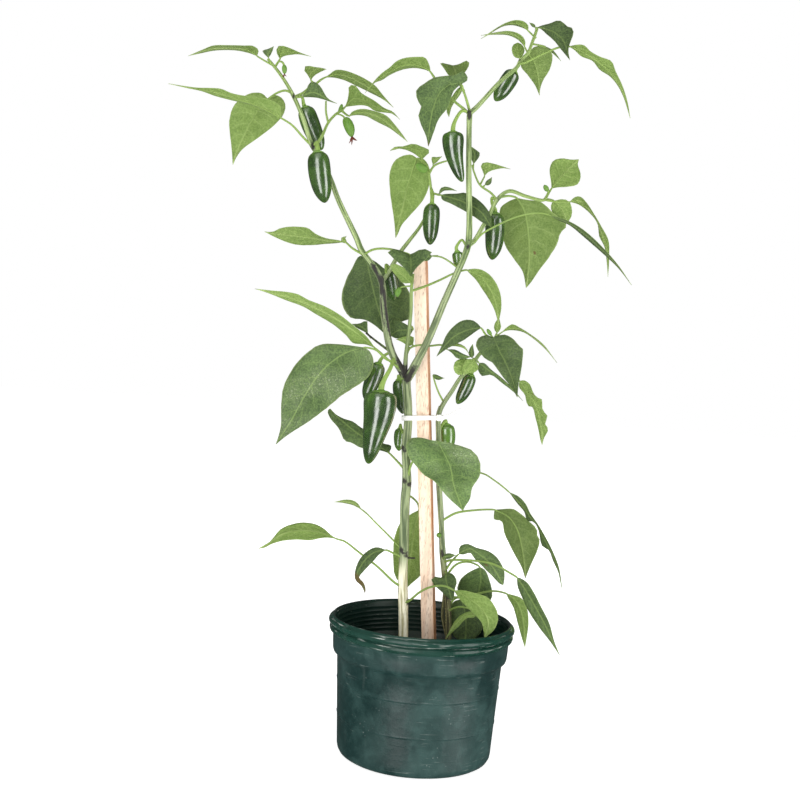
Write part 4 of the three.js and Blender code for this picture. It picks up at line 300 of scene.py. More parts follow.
             ((467, 270, -13), (480, 276, -10), (491, 290, -6), (497, 306, -2), (498.5, 325, 2)), (8, -6),
             (7, 6), wave=2.5),
        Leaf("dark_curl", TOP, ((442, 345, -8),), ((447, 349.5, -8), (456, 353, -7), (464, 356.5, -5),
             (471, 357, -4)), (3, 3), (3, -3), ((455, 349.6), (463, 353.8)), ((452, 353), (457, 358.3),
             (465, 358.8))),
        Leaf("arc_leaf", UNDER, ((442, 345, -8),), ((446, 345.4, -6), (457, 344.8, -4), (465, 348, -2),
             (469, 354, 0)), (1.5, 3), (1.5, -3)),
        Leaf("fork_dark", TOP, ((409, 325, -11), (412, 327, -4)), ((413, 330, 2), (405, 330, 6),
             (397, 331, 10), (391, 336, 12)), (7, 1), (9, 1), ((410, 335), (402, 337.6), (396, 338.4)),
             ((408, 325.5), (400.5, 321.5), (391.5, 319), (390, 328))),
        Leaf("fork_light", UNDER, ((407.5, 347, -11), (411, 347.5, -5)), ((413, 345, 0), (405, 340.5, 3),
             (396, 339.4, 5)), (4, 1), (5, 1), ((408, 346), (403, 342.6)), ((413.5, 337), (405, 336.4))),
    ),
    "right_branch": (
        Leaf("behind_v", TOP, ((438, 256, -16),), ((432, 256, -16), (426, 257, -17), (418, 259, -19)),
             (4, 1), (4, -1)),
        Leaf("bitten", TOP, ((464, 93, -32), (462.5, 88, -35)), ((461.5, 84, -38), (450, 84.5, -43),
             (440, 92, -50), (434, 106, -59), (430, 125, -68), (428.4, 146.6, -78)), (14, 1), (19, -1),
             ((457.8, 86.8), (453, 92), (450.5, 100.5), (447, 108.5), (438.3, 119.8), (434, 131.5),
             (430.8, 140.2)), ((467.5, 80), (466.6, 75), (462.5, 70.6), (456, 74.6), (444, 76), (432, 78.2),
             (422.8, 85), (416.5, 90), (416.5, 98), (421.8, 108.6), (418.3, 113), (420.6, 123.2),
             (426, 136)), peak=0.42),
        Leaf("top_end_on", UNDER, ((464, 91, -32),), ((457, 80, -24), (456, 74, -10), (453, 65.4, 14)),
             (17, -2), (16, -2), ((449, 75.5), (445, 69.5), (440.3, 62.9), (446, 63.8)), ((463, 74.5),
             (466.5, 70), (469.4, 63.5), (467.5, 60.6), (459, 64.2)), peak=0.7),
        Leaf("small_pale", UNDER, ((463, 90, -32),), ((462, 86, -29), (457, 95, -22), (452, 105, -16),
             (449, 117, -10)), (4, 3), (4, -3), ((463.2, 88), (460, 94.8), (454.6, 102), (450.5, 109.5)),
             ((458.5, 88), (453, 95), (448, 104), (446.6, 111.5))),
        Leaf("top_left", UNDER, ((434.5, 78, -24),), ((430.5, 72, -22), (425, 67.5, -20), (412, 65, -17),
             (399, 67, -13), (387, 73.5, -10), (377, 80, -7), (364.6, 93.5, -4)), (6, 9), (6, -9),
             ((424, 69.4), (412, 68), (400, 70.4), (388, 76), (382, 80.2), (375, 82.6)), ((429.6, 66),
             (425, 57.5), (419, 57), (408, 57.4), (397, 60.8), (390, 67.3), (383, 72.2), (376.5, 78.5))),
        Leaf("tip_upper", UNDER, ((536, 38, -13), (532, 34.5, -12)), ((528, 30.5, -11), (521, 25, -10),
             (511, 23.4, -8.5), (500, 26.5, -7), (490, 32.8, -6), (480.7, 39, -5)), (3, 7), (3.5, -7),
             ((523, 28), (513, 25.2), (504, 26), (497, 29.3), (489, 34.4)), ((528.4, 26), (524, 21.5),
             (515.8, 20.1), (506, 22.8), (497.5, 27.4), (488, 33.8))),
        Leaf("tip_lower", UNDER, ((528, 53, -16),), ((524.6, 47, -13), (522.5, 41, -11), (516, 35.6, -9),
             (506, 33, -5), (495, 33.3, -1), (480.7, 35.5, 4)), (4, 7), (4.5, -7), ((521.5, 43),
             (516.5, 38.7), (508, 35.2), (498, 34.6), (489, 34.9)), ((525.4, 43), (523.9, 38.2),
             (519, 33.8), (509, 31), (499, 31.8), (489, 33.8))),
        Leaf("tip_round", UNDER, ((521, 61, -18),), ((520, 58.5, -16), (517, 51, -10), (517.5, 42.6, -3)),
             (6, 1), (5, 1), ((514.5, 57), (511.8, 51), (513, 45)), ((523.6, 54), (524.4, 48.5), (521, 44)),
             peak=0.5),
        Leaf("tip_hanging", UNDER, ((530, 50, -15),), ((529, 55, -12), (534, 62, -4), (537.5, 75, 9),
             (539.6, 95.5, 25)), (14, 0), (14, 0), ((533, 47.6), (542, 45.8), (550, 49.3), (552.6, 57),
             (549.5, 70), (543, 80.5), (540, 89.5)), ((523.5, 58.5), (520.8, 65.5), (528.5, 76),
             (535, 85.2), (537.2, 90))),
        Leaf("tip_spike", TOP, ((532, 44, -14), (538, 45, -15)), ((545, 46.5, -16), (553, 52, -17),
             (561, 61, -18)), (1.2, 2), (1.2, -2)),
        Leaf("tip_dark", TOP, ((536, 30, -12),), ((537, 27.5, -14), (548, 30, -18), (559, 36, -26),
             (566, 46, -35), (569.8, 60.1, -45)), (12, -2), (10, 4), ((542, 25.4), (550, 23.4),
             (558.5, 20.2), (564.5, 23.4), (568, 27), (573, 28.6), (573.4, 34), (570, 43), (568.2, 50.5)),
             ((541, 29), (547, 34.5), (554, 40.6), (561, 49.4), (566.5, 56)), peak=0.5),
        Leaf("tip_bract", TOP, ((536.5, 30, -12),), ((535.5, 27.5, -13), (533, 25.2, -13.5),
             (529.2, 22.6, -14)), (1.6, 1), (1.6, -1)),
        Leaf("long_right", UNDER, ((519, 64, -19), (524, 63, -22), (543, 54, -24), (559, 47.5, -23)),
             ((569, 46.5, -21), (580, 50, -18), (592, 57.5, -15), (604, 66.5, -12), (613, 76, -10),
             (620, 87, -8), (626, 101, -6), (630.3, 118.7, -5)), (6.5, -7), (6.5, 7), ((577, 44.7),
             (584, 45.3), (590.3, 51.2), (600, 56.8), (611.5, 61.3), (615.5, 71), (622.5, 86),
             (627.5, 102)), ((574.5, 50), (581.7, 56.6), (592.5, 60.9), (600, 70), (609.5, 76), (617, 84.5),
             (623.5, 97)), wave=1),
    ),
    "right_side_branch": (
        Leaf("round_pale", UNDER, ((548, 194, 13),), ((551.6, 188.5, 18), (560, 178, 29), (568.5, 169, 40),
             (578.9, 159.3, 52)), (15, 0), (14, 0), ((551, 181), (549.6, 170), (552.5, 161.5), (561, 158.3),
             (571, 159.6)), ((558, 187.3), (569, 186.6), (578.5, 183.5), (580.8, 175), (577.8, 164.5)),
             peak=0.5),
        Leaf("twisted", UNDER, ((544, 200, 9), (557, 202, 11)), ((569.5, 202, 12), (580, 201.5, 14),
             (590, 210.5, 17), (598, 223, 19), (603.5, 238, 20), (607.6, 255, 20), (607.9, 277.1, 18)),
             (4, -7), (4.5, 7), ((574.5, 197.4), (580, 196.4), (586.5, 202.6), (594, 214), (600.5, 225),
             (608.4, 240.5), (609.2, 255), (608.8, 266)), ((573.5, 202.8), (580, 205.2), (591, 214.4),
             (597.5, 223.6), (599.4, 236.5), (604.6, 247), (606.8, 262)), wave=1),
        Leaf("behind_round", UNDER, ((546, 199, 11),), ((554, 200.8, 24), (561, 209, 31), (567.5, 223, 38)),
             (10, 0), (9, 0), ((562, 199.2), (569.5, 201.5), (572, 209.5), (571.4, 216.5)), ((551.3, 204),
             (551.5, 210.5), (557, 218)), peak=0.5),
        Leaf("big_pale", UNDER, ((501, 197, -5), (509, 196, 3)), ((517, 198, 9), (524, 210, 20),
             (528, 232, 31), (529, 258, 42), (526, 288, 50)), (31, 2), (28, 4), ((528, 200), (541, 201.8),
             (550, 210), (561, 219), (567.4, 224.8), (561, 233), (557, 243.5), (550, 256), (539, 270.5),
             (531, 282.5)), ((508, 201.8), (501, 207.5), (499.3, 217), (501.3, 231), (504.5, 243.5),
             (514, 259), (522.5, 271.3), (525, 281)), peak=0.36),
        Leaf("edge_on", TOP, ((474, 243, -24), (482, 234, -31), (498, 225, -34), (516, 217, -36),
             (535, 213, -38), (546, 214, -39)), ((550, 215.5, -39), (570, 223.6, -40), (585, 234, -41.5),
             (602, 249.5, -43.5), (618, 266.5, -44.5), (631.8, 285.4, -45)), (3, -10), (3, 10),
             ((557, 216.9), (571, 222.2), (585, 231), (602, 246.7), (618.5, 265.6)), ((557, 219.6),
             (569.5, 225.2), (584, 237), (601, 251.8), (618, 267.8))),
        Leaf("twig_pale", UNDER, ((480, 185, -4),), ((484.6, 176, -1), (486, 168, 3), (493, 166.6, 6),
             (501, 167.2, 9), (510.5, 169.1, 12)), (5, -4), (4, 4), ((482, 169), (480.6, 164.4),
             (486, 162.3), (494, 163.8), (503, 166.6)), ((488, 172.4), (495, 169.6), (503, 168.2))),
        Leaf("twig_grey", TOP, ((483, 187, -4),), ((485, 185, -5), (489, 182, -5), (492, 177, -5)),
             (2.5, 1), (2.5, -1)),
        Leaf("behind_branch", TOP, ((473, 169, -3),), ((473.6, 164, -2), (475, 156, -1), (471.6, 146.8, 1)),
             (4, 0), (5, 0), ((471, 158), (470.5, 152)), ((478.5, 158), (480, 153.5), (475.5, 149.5))),
    ),
    "second_stem": (
        Leaf("right_hanging", UNDER, ((443, 520, 11), (456, 513, 12), (477, 510, 12), (488, 509.5, 13)),
             ((494.5, 509.8, 14), (506, 515, 17), (516, 527, 22), (522, 549, 28), (525.4, 578.5, 35)),
             (15, 0), (12, 0), ((504, 509), (514, 509.2), (521, 513.8), (530, 522), (536.8, 529.5),
             (537, 534), (539.8, 538.5), (536.5, 552.5), (530, 567)), ((494, 514), (494.5, 519.5),
             (501.5, 521), (505, 535), (513, 551), (521.5, 567)), peak=0.4),
        Leaf("right_edge_on", TOP, ((439.5, 488, 10), (455, 476, 9), (481, 473, 6), (496, 481.5, 4)),
             ((509, 492, 2), (523, 507, 1.5), (533, 520, 0.5), (542, 534, -1), (550, 549, -3),
             (557, 566, -4.5), (562.4, 591, -6)), (3, -8), (3, 8), ((519, 496.8), (526, 504.5), (530, 513),
             (538, 524.5), (546, 538), (553, 552), (559, 568)), ((517, 503), (524.5, 512), (527.3, 521),
             (533.5, 521.4), (538.5, 530), (542, 545.5), (549, 550.4), (552.8, 560), (559, 574))),
        Leaf("in_pot", TOP, ((448, 606, 13), (456, 598, 20)), ((461, 599, 26), (465, 612, 23),
             (466, 628, 18), (465, 643, 10)), (16, 2), (15, 2), ((468, 604), (477, 614), (482.5, 625),
             (479, 635)), ((453, 602), (449.5, 612), (449.5, 624), (454, 636)), peak=0.5),
        Leaf("pot_crescent", UNDER, ((448, 611, 11), (458, 607, 4), (470, 609, 0)), ((477, 614.5, -1),
             (466, 614.8, -2), (457.5, 621.5, -3), (445.5, 639, -4)), (4, -3), (4, 3), ((474, 617.5),
             (467, 618), (459, 626), (451.5, 633)), ((472, 611.6), (463, 613.8), (456, 619.5),
             (449.5, 630.5))),
        Leaf("front_dark", TOP, ((445.5, 572, 10),), ((446, 573, 3), (446, 580, -2), (449, 590, -6),
             (452, 601, -9)), (8, 0), (12, -1), ((452, 573.5), (456.8, 581), (454.6, 590), (454, 596)),
             ((441, 578), (434, 576.5), (431, 580.5), (436, 587), (443, 593)), peak=0.4),
        Leaf("right_round", TOP, ((446, 576, 12), (457, 564, 11), (469, 562, 10)), ((480, 567, 11),
             (481, 579, 18), (479, 591, 28), (475, 604, 40)), (13, 1), (16, 1), ((485, 570), (489.5, 580),
             (492, 590), (491.5, 599), (484, 603)), ((471, 571), (462, 577.5), (457.5, 586), (459, 596),
             (466, 603)), peak=0.42),
        Leaf("right_cupped", TOP, ((445, 571, 12), (452, 561, 8)), ((459, 554, 3), (470, 549, -2),
             (480, 555, -5), (491, 565, -7.5), (503.3, 585, -11)), (9, 4), (7, -3), ((459.8, 546.5),
             (467, 543.8), (477, 548), (488, 551), (497, 557.5), (504, 570.5), (504.4, 579)), ((463, 554.6),
             (470.5, 553), (474, 558), (483, 567), (494, 578), (500, 584)), peak=0.4),
        Leaf("right_long", TOP, ((444, 562, 11), (452, 560, 0), (462, 560, -5), (477, 561, -9),
             (493, 564, -13), (510, 573, -16)), ((517, 577.5, -17), (525, 589, -22), (534, 604, -29),
             (544, 622, -37), (553, 641, -45), (559.8, 655.5, -50)), (7, -4), (7, 4), ((520, 578),
             (526.5, 582), (533, 591), (540, 604.8), (549, 622.6), (554.5, 642)), ((517.5, 585),
             (520.5, 594), (528.5, 611), (540, 628.4), (550.5, 642))),
        Leaf("outside_rim", UNDER, ((447, 597, 12), (462, 597, 14), (480, 593, 14), (495, 591, 12)),
             ((506.5, 593.6, 11), (515, 600, 13), (521, 611, 16), (524, 627, 20), (525, 647.5, 25)),
             (7, -3), (6, 3), ((514, 595.3), (522, 598.5), (527, 608), (528.5, 622), (527, 636)),
             ((507.5, 597), (513, 606.5), (517.5, 622.6), (522.4, 640))),
        Leaf("small_dark", TOP, ((444, 560, 11),), ((443, 557, 6), (449, 556, 4), (456, 555, 3)), (3, 1),
             (3, -1)),
    ),
    "second_shoot": (
        Leaf("shoot_left", TOP, ((494, 339, 4), (486, 335, 6)), ((481, 328, 6), (468, 330, 1),
             (452, 338, -10), (436.5, 356.5, -24)), (9, 2), (9.5, -3), ((475, 332), (467, 338),
             (457, 343.8), (447, 348.8)), ((479, 325), (473, 320.5), (464, 320), (455, 325), (447, 334),
             (442, 345)), peak=0.42),
        Leaf("shoot_broad", TOP, ((494, 340, 3),), ((493.5, 337, 0), (499, 350, -4), (507, 366, -12),
             (513, 382, -20), (517.4, 397.4, -30)), (22, 0), (20, 0), ((500, 335.2), (506, 334.8),
             (514, 339.5), (519.5, 346.5), (522.8, 348.4), (523, 358), (520.5, 373), (518.3, 387)),
             ((486, 335.4), (480, 337), (476, 343), (478, 350), (485.5, 359.2), (491.5, 361.8),
             (501, 374.6), (512.5, 389))),
        Leaf("shoot_right", UNDER, ((496, 337, 4),), ((501, 332.8, 7), (509, 328.5, 9), (519, 329, 10),
             (532, 336.5, 12), (545, 347, 14), (557, 363, 15)), (3, -7), (3, 7), ((507, 327.3),
             (512.5, 324.2), (519, 327.2), (530, 334), (543.5, 344.6)), ((507.5, 330.4), (516, 330.4),
             (524, 332.4), (535, 339.8), (547, 350.8))),
        Leaf("pod_bract", UNDER, ((476, 360, 0),), ((475, 361, 0), (467, 363, -2), (460, 366, -4),
             (453.6, 367, -7)), (6, -2), (6, 2), ((467, 373), (457, 374.5), (454, 370)), ((466, 358.6),
             (458, 359.6), (455, 362))),
        Leaf("leaflet", TOP, ((476, 359, 0),), ((472, 358, 1), (471.5, 351, 3), (472.8, 344, 5)), (3, 1),
             (2.5, -1), ((468.8, 355), (469.5, 349)), ((474.2, 355), (473.6, 349))),
        Leaf("shoot_cap", UNDER, ((477, 359, 0),), ((474, 359, -3), (470, 365.5, -6), (463, 375, -8)),
             (5, -1), (4, 1), ((478.6, 366), (477, 371), (469, 373)), ((466.5, 359.6), (462.5, 367))),
        Leaf("shadowed", TOP, ((475, 361, -1), (477, 361, 5)), ((479, 363, 10), (489, 370, 13),
             (501, 378.5, 10), (512, 389, 7), (523, 401, 4)), (4, 0), (6, 1), ((484, 363), (491, 369.4),
             (500, 376.4), (511, 386.6)), ((478, 370), (482, 375.8), (491, 374.8), (502, 383),
             (513, 391.4))),
        Leaf("wavy_low", UNDER, ((494, 338, 4), (502, 347, 12), (512, 368, 22)), ((519.5, 381, 25),
             (526, 390, 27.5), (533, 400, 29), (538, 412, 31), (541, 428, 33.5), (542.2, 445.2, 35)),
             (7, -4), (6, 4), ((524, 380.2), (530, 384.4), (533.5, 393), (537, 397.4), (541.5, 399),
             (542.8, 410.5), (547.3, 415.5), (545.3, 424.3), (548.4, 429), (543.8, 438.6)), ((519, 387),
             (525, 395), (526.3, 402), (528.8, 406.4), (532.6, 407), (535.4, 417.5), (538.5, 430),
             (540.5, 440.5)), peak=0.45, wave=1.5),
        Leaf("shoot_tip", UNDER, ((496, 336, 4),), ((497, 333, 5), (497, 326, 6), (499, 317, 7)), (3, 1),
             (4, -1)),
        Leaf("twist", TOP, ((444, 403, 5), (438, 391, 4), (434, 379, 3)), ((433, 374.5, 2), (438, 377.5, 1),
             (444.4, 378.2, 0)), (2, 2), (2.6, -2)),
    ),
}

PODS = (
    Pod("left_branch", "pod_upper_left_rear", 19, ((296, 97, -12), (302, 97, -7)), ((305, 108, -4),
        (312, 128, -4), (322, 150, -6))),
    Pod("left_branch", "pod_upper_left_front", 22, ((314, 146, -23), (317, 142, -32)), ((318, 153, -38),
        (320, 175, -39), (325, 203, -39))),
    Pod("left_branch", "pod_fork_large", 33, ((394, 358, -7), (390, 369, -21), (384, 380, -28)),
        ((381, 392, -31), (379.5, 412, -32), (374, 436, -33), (368, 464, -33)), tapered=True),
    Pod("left_branch", "pod_fork_rear", 17, ((391, 352, -5), (385, 355, -1)), ((379, 364, 2), (373, 380, 3),
        (365, 400, 3))),
    Pod("main_stem", "pod_fork_dark", 14, ((405, 386, -2), (402, 377, 5)), ((399, 380, 11), (400, 394, 12),
        (403, 414, 12))),
    Pod("main_stem", "pod_tie_left", 11, ((405, 436, -2), (402, 431, 4)), ((400, 429, 10), (399, 439, 11),
        (399, 451, 11))),
    Pod("second_stem", "pod_tie_right", 18, ((438.5, 434, 9), (441, 427, 15)), ((446, 425, 23),
        (447, 438, 23), (447, 452, 22))),
    Pod("second_shoot", "pod_second_shoot", 14, ((470, 369, -3), (473, 367, 5)), ((471, 375, 13),
        (466, 388, 15), (457, 404, 15))),
    Pod("right_side_branch", "pod_right_side", 20, ((496, 200, -8), (492, 198, -3), (492, 203, 2)),
        ((495, 214, 6), (495, 235, 6), (492, 260, 6))),
    Pod("centre_twig", "pod_centre_twig", 17.5, ((431, 188, 44), (433, 194, 37)), ((432, 205, 31),
        (431, 222, 29), (430, 245, 29))),
    Pod("right_branch", "pod_right_tall", 21, ((470, 113, -30), (462, 111, -39), (455, 121, -44)),
        ((453, 133, -46), (453.5, 150, -46), (457.5, 168, -46), (462.5, 182, -46)), tapered=True),
    Pod("right_branch", "pod_top_right", 17, ((519, 64, -19), (518, 65, -11)), ((514, 72, -7),
        (505, 86, -7), (495, 101, -7))),
    Pod("right_branch", "pod_right_small", 11, ((467, 248, -26), (462, 240, -18), (458, 244, -12)),
        ((457, 252, -10), (458, 259, -9), (458, 267, -9))),
    Pod("centre_twig", "pod_left_small", 15, ((386, 273, -5), (386, 265, 5)), ((389, 271, 11),
        (392, 284, 13), (394, 301, 13))),
)

FRUITLETS = (
    Pod("left_branch", "fruitlet_1", 10, ((336, 114, -5), (341, 115, -8)), ((345, 118, -10),
        (349, 126, -11), (352, 137, -12))),
    Pod("left_branch", "fruitlet_2", 5, ((275, 67, -3), (278, 62, -5), (282, 62, -7)), ((284, 65, -8),
        (284.5, 69, -8), (284.5, 74, -8))),
    Pod("left_branch", "fruitlet_3", 4, ((336, 114, -4),), ((339, 112, -1), (341, 108, 0), (342, 104, 1))),
    Pod("centre_twig", "fruitlet_4", 9, ((429, 173, 39),), ((427, 171, 37), (422, 168, 35),
        (416, 164, 34))),
    Pod("centre_shoot", "fruitlet_5", 6, ((402, 287, -12),), ((400, 288, -12), (398, 292, -13),
        (397, 297, -13))),
    Pod("right_side_branch", "fruitlet_6", 5, ((548, 194, 13),), ((548, 191, 10), (546, 188, 9),
        (544, 185, 9))),
    Pod("second_shoot", "fruitlet_7", 4, ((494, 339, 3),), ((491, 335, 1), (489, 332, 0), (487, 329, 0))),
    Pod("second_stem", "fruitlet_8", 5, ((443, 536, 11),), ((440.5, 536, 9), (438.5, 535, 7.5),
        (437, 534, 6.5))),
)

# Leaves that are lighter (+) or darker (-) than most, partly their own tone and partly painted light and
# shade, and leaves with dried dust on them.
LEAF_TONES_AND_SHADE = {
    "crest": -0.12, "crest_small": -0.1, "crest_right": -0.05, "long_left": 0.02, "shoot_top": -0.05,
    "shoot_front": 0.05, "arched_right": -0.08, "right_high": 0.05, "right_low": -0.05,
    "middle_left": -0.05, "broad_rear": -0.1, "v_leaf": -0.05, "pale_long": 0.12, "front_left": 0.15,
    "below_fork_left": -0.05, "big_centre": 0.6, "low_left": 0.14, "withered": -0.2, "rear_pale": 0.1,
    "front_pale": 0.08, "pale_centre": 0.08, "dark_bar": -0.15, "bitten": 0.12, "top_end_on": -0.1,
    "tip_hanging": -0.22, "tip_dark": -0.2, "round_pale": 0.12, "twisted": -0.05, "big_pale": -0.18,
    "behind_round": 0.08, "edge_on": -0.1, "right_hanging": -0.38, "right_edge_on": -0.1,
    "in_pot": -0.2, "pot_crescent": 0.2, "front_dark": -0.2, "right_cupped": 0.1, "right_long": 0.05,
    "shoot_left": -0.25, "shoot_broad": -0.15, "fork_dark": -0.2, "tip_bract": -0.2, "arc_leaf": 0.1,
    "shoot_cap": 0.1, "fork_light": 0.1, "middle_curl": 0.1, "right_wavy": -0.02, "pod_bract": 0.2,
}
DUSTY_LEAVES = {
    "front_left": 1.0, "big_centre": 0.8, "shoot_broad": 0.5, "pale_long": 0.5, "broad_rear": 0.4,
    "front_pale": 0.4, "right_cupped": 0.4, "below_fork_left": 0.4,
}

# Where a leaf has a brown stain, and from which share of its length it is dried.
LEAF_SPOTS = {"big_pale": (536, 254), "right_cupped": (486, 565)}
DRIED_LEAVES = {"withered": 0.62, "low_left": 0.97, "bitten": 0.93}

# Pods that are brighter than most, and the fruitlets that still hold a dried flower.
PALE_PODS = {"pod_tie_right": 0.7, "pod_right_small": 0.3, "pod_tie_left": 0.45}
DRIED_FLOWERS = ("fruitlet_1", "fruitlet_2")

# Dark strokes on the stems' joints: how dark each is, its reach in mm, and its picture points.
JOINTS = (
    (1.0, 2.9, ((373, 266, -15), (377, 274, -15), (381, 283, -14), (382, 292, -13))),
    (1.0, 2.9, ((388, 266, -12), (384.5, 275, -13), (381, 284, -14))),
    (1.0, 1.6, ((384, 290, -12.5), (387, 318, -10.5), (393.5, 345, -9), (400.5, 364, -8))),
    (0.9, 1.1, ((379, 290, -12), (381.5, 310, -10.5), (385, 328, -9.5))),
    (1.0, 3.4, ((400, 360, -8), (404, 371, -8), (407, 380, -8.5))),
    (0.95, 2.7, ((415, 366, -14), (412, 371, -13.5), (408.5, 379, -9.5))),
    (1.0, 2.6, ((407, 366, -9), (407.5, 374, -9))),
    (0.9, 1.6, ((399, 372, -6), (401, 388, -6), (402.5, 404, -5))),
    (1.0, 2.8, ((471, 233, -33), (470, 241, -33), (467.5, 247, -32))),
    (1.0, 2.3, ((465, 104, -34), (469, 110, -34), (470, 117, -33))),
    (0.9, 2.0, ((474.5, 104, -34), (471, 110, -34))),
    (0.9, 2.0, ((313, 142, -25), (312.5, 148, -25))),
    (0.8, 1.8, ((294, 92, -14), (293, 97, -14))),
    (1.0, 2.3, ((402, 447, -6), (405, 451, -6))),
    (1.0, 2.3, ((404, 480, -6), (408, 484, -6), (411, 485, -5))),
    (1.0, 2.4, ((400.5, 549, -6), (404, 553, -6), (406, 555, -6))),
    (0.9, 1.4, ((403, 486, -4), (401.5, 520, -4), (400.5, 548, -4))),
    (0.9, 1.9, ((396, 579, -4), (398.5, 586, -4), (399, 594, -4))),
    (0.9, 1.7, ((406, 601, -5), (408, 604, -4))),
    (1.0, 1.6, ((407, 557, -4), (415, 558, -5))),
    (1.0, 1.3, ((366, 333, -2), (376, 341, -4), (388, 350, -6))),
    (0.6, 1.6, ((498, 196, -9), (498, 201, -9))),
    (0.5, 1.6, ((520, 59, -19), (520, 63, -19))),
    (0.8, 1.8, ((442, 551, 9), (443, 556, 9))),
    (0.6, 1.6, ((439, 484, 7), (439, 487, 7))),
    (0.8, 2.0, ((446, 590, 9), (448, 598, 9))),
)


def linear(red: int, green: int, blue: int) -> Colour:
    """Turns a colour as a screen shows it, 0 to 255 a channel, into a linear one."""
    shares = (channel / 255 for channel in (red, green, blue))
    return tuple(v / 12.92 if v <= 0.04045 else ((v + 0.055) / 1.055) ** 2.4 for v in shares)


def clamped(value: float, low: float = 0.0, high: float = 1.0) -> float:
    """The value, kept from low to high."""
    return max(low, min(high, value))


def smoothstep(low: float, high: float, value: float) -> float:
    """Eases from 0 at low to 1 at high."""
    share = clamped((value - low) / (high - low))
    return share * share * (3 - 2 * share)


def mixed(first: float, second: float, share: float) -> float:
    """Goes from first to second as share goes from 0 to 1."""
    return first + (second - first) * share


def name_number(name: str) -> int:
    """A number of a piece's own, made of its name, that sets its unevenness."""
    return sum(ord(letter) for letter in name)


def turns(count: int) -> list[float]:
    """The angles, in radians, that part a full turn into equal steps."""
    return [2 * math.pi * step / count for step in range(count)]


def facing(direction: Vector) -> Euler:
    """The turn that makes a lamp shine in a direction."""
    return direction.to_track_quat("-Z", "Y").to_euler()


def placed(name: str, data: bpy.types.ID) -> bpy.types.Object:
    """Makes an object of some data and puts it in the scene."""
    made = bpy.data.objects.new(name, data)
    bpy.context.scene.collection.objects.link(made)
    return made


def keep_numbers(mesh: bpy.types.Mesh, name: str, values: Sequence[float]) -> None:
    """Keeps a number at each point of a mesh."""
    mesh.attributes.new(name, "FLOAT", "POINT").data.foreach_set("value", values)


class FrontView:
    """The camera's place, and the way from a picture point to a place in space."""

    CENTRE = 400.0
    DISTANCE = 1050.0
    EYE = Vector((-36.5, -1050.0, 366.0))
    TILT = 0.0132
    LEAN = 0.0669

    def __init__(self) -> None:
        """Works out which way the view looks and leans."""
        self.forward = Vector((0, math.cos(self.TILT), -math.sin(self.TILT)))
        level = Vector((1, 0, 0))
        upright = level.cross(self.forward)
        lean = Matrix.Rotation(-self.LEAN, 3, self.forward)
        self.right = lean @ level
        self.up = lean @ upright

    def seen(self, point: Sequence[float]) -> Vector:
        """Gives the place, in metres, of a picture point (column, row, depth)."""
        column, row, depth = point
        ray = (self.forward + self.right * ((column - self.CENTRE) / self.DISTANCE)
               + self.up * ((self.CENTRE - row) / self.DISTANCE))
        return (self.EYE + ray * ((depth - self.EYE.y) / ray.y)) * MM

    def miss(self, place: Vector, spot: tuple[float, float]) -> float:
        """How far a place in space lies from a (column, row) in the picture, in mm there."""
        ray = place / MM - self.EYE
        depth = ray.dot(self.forward)
        column = self.CENTRE + self.DISTANCE * ray.dot(self.right) / depth
        row = self.CENTRE - self.DISTANCE * ray.dot(self.up) / depth
        return math.hypot(column - spot[0], row - spot[1])

    def add_camera(self) -> None:
        """Adds the camera and makes it the scene's."""
        data = bpy.data.cameras.new("front_camera")
        data.sensor_width = 36.0
        data.lens = data.sensor_width * self.DISTANCE / (2 * self.CENTRE)
        data.clip_start = 0.05
        data.clip_end = 60.0
        camera = placed("front_camera", data)
        turn = Matrix((self.right, self.up, -self.forward)).transposed().to_4x4()
        camera.matrix_world = Matrix.Translation(self.EYE * MM) @ turn
        bpy.context.scene.camera = camera


VIEW = FrontView()


class SmoothWay:
    """A centripetal Catmull-Rom curve through points, read by its length from 0 to 1."""

    DIVISIONS = 120

    def __init__(self, points: Sequence[Sequence[float]]) -> None:
        """Measures the curve.

        Args:
            points: the points that it goes through, two at least.
        """
        inner = [Vector(point) for point in points]
        self.points = [2 * inner[0] - inner[1], *inner, 2 * inner[-1] - inner[-2]]
        self.spans = len(inner) - 1
        trail = [self._raw(step / self.DIVISIONS) for step in range(self.DIVISIONS + 1)]
        self.reached = [0.0]
        for before, after in zip(trail, trail[1:]):
            self.reached.append(self.reached[-1] + (after - before).length)

    @property
    def length(self) -> float:
        """The curve's length."""
        return self.reached[-1]

    def _raw(self, share: float) -> Vector:
        """The point at a share of the way counted in spans."""
        span = min(int(share * self.spans), self.spans - 1)
        weight = share * self.spans - span
        a, b, c, d = self.points[span:span + 4]
        first, second, third = (max((q - p).length ** 0.5, 1e-4) for p, q in ((a, b), (b, c), (c, d)))
        start = ((b - a) / first - (c - a) / (first + second) + (c - b) / second) * second
        end = ((c - b) / second - (d - b) / (second + third) + (d - c) / third) * second
        return (b + start * weight + (3 * (c - b) - 2 * start - end) * weight ** 2
                + (2 * (b - c) + start + end) * weight ** 3)

    def at(self, share: float) -> Vector:
        """The point at a share of the length."""
        wanted = clamped(share) * self.length
        low, high = 0, self.DIVISIONS
        while high - low > 1:
            middle = (low + high) // 2
            if self.reached[middle] <= wanted:
                low = middle
            else:
                high = middle
        step = self.reached[high] - self.reached[low]
        return self._raw((low + (wanted - self.reached[low]) / max(step, 1e-9)) / self.DIVISIONS)

    def heading(self, share: float) -> Vector:
        """The direction at a share of the length."""
        return (self.at(min(1.0, share + 0.002)) - self.at(max(0.0, share - 0.002))).normalized()

    def sampled(self, count: int) -> list[Vector]:
        """Points at equal steps, count + 1 of them."""
        return [self.at(step / count) for step in range(count + 1)]


def seen_way(points: Sequence[Point]) -> SmoothWay:
    """The curve through picture points."""
    return SmoothWay([VIEW.seen(point) for point in points])


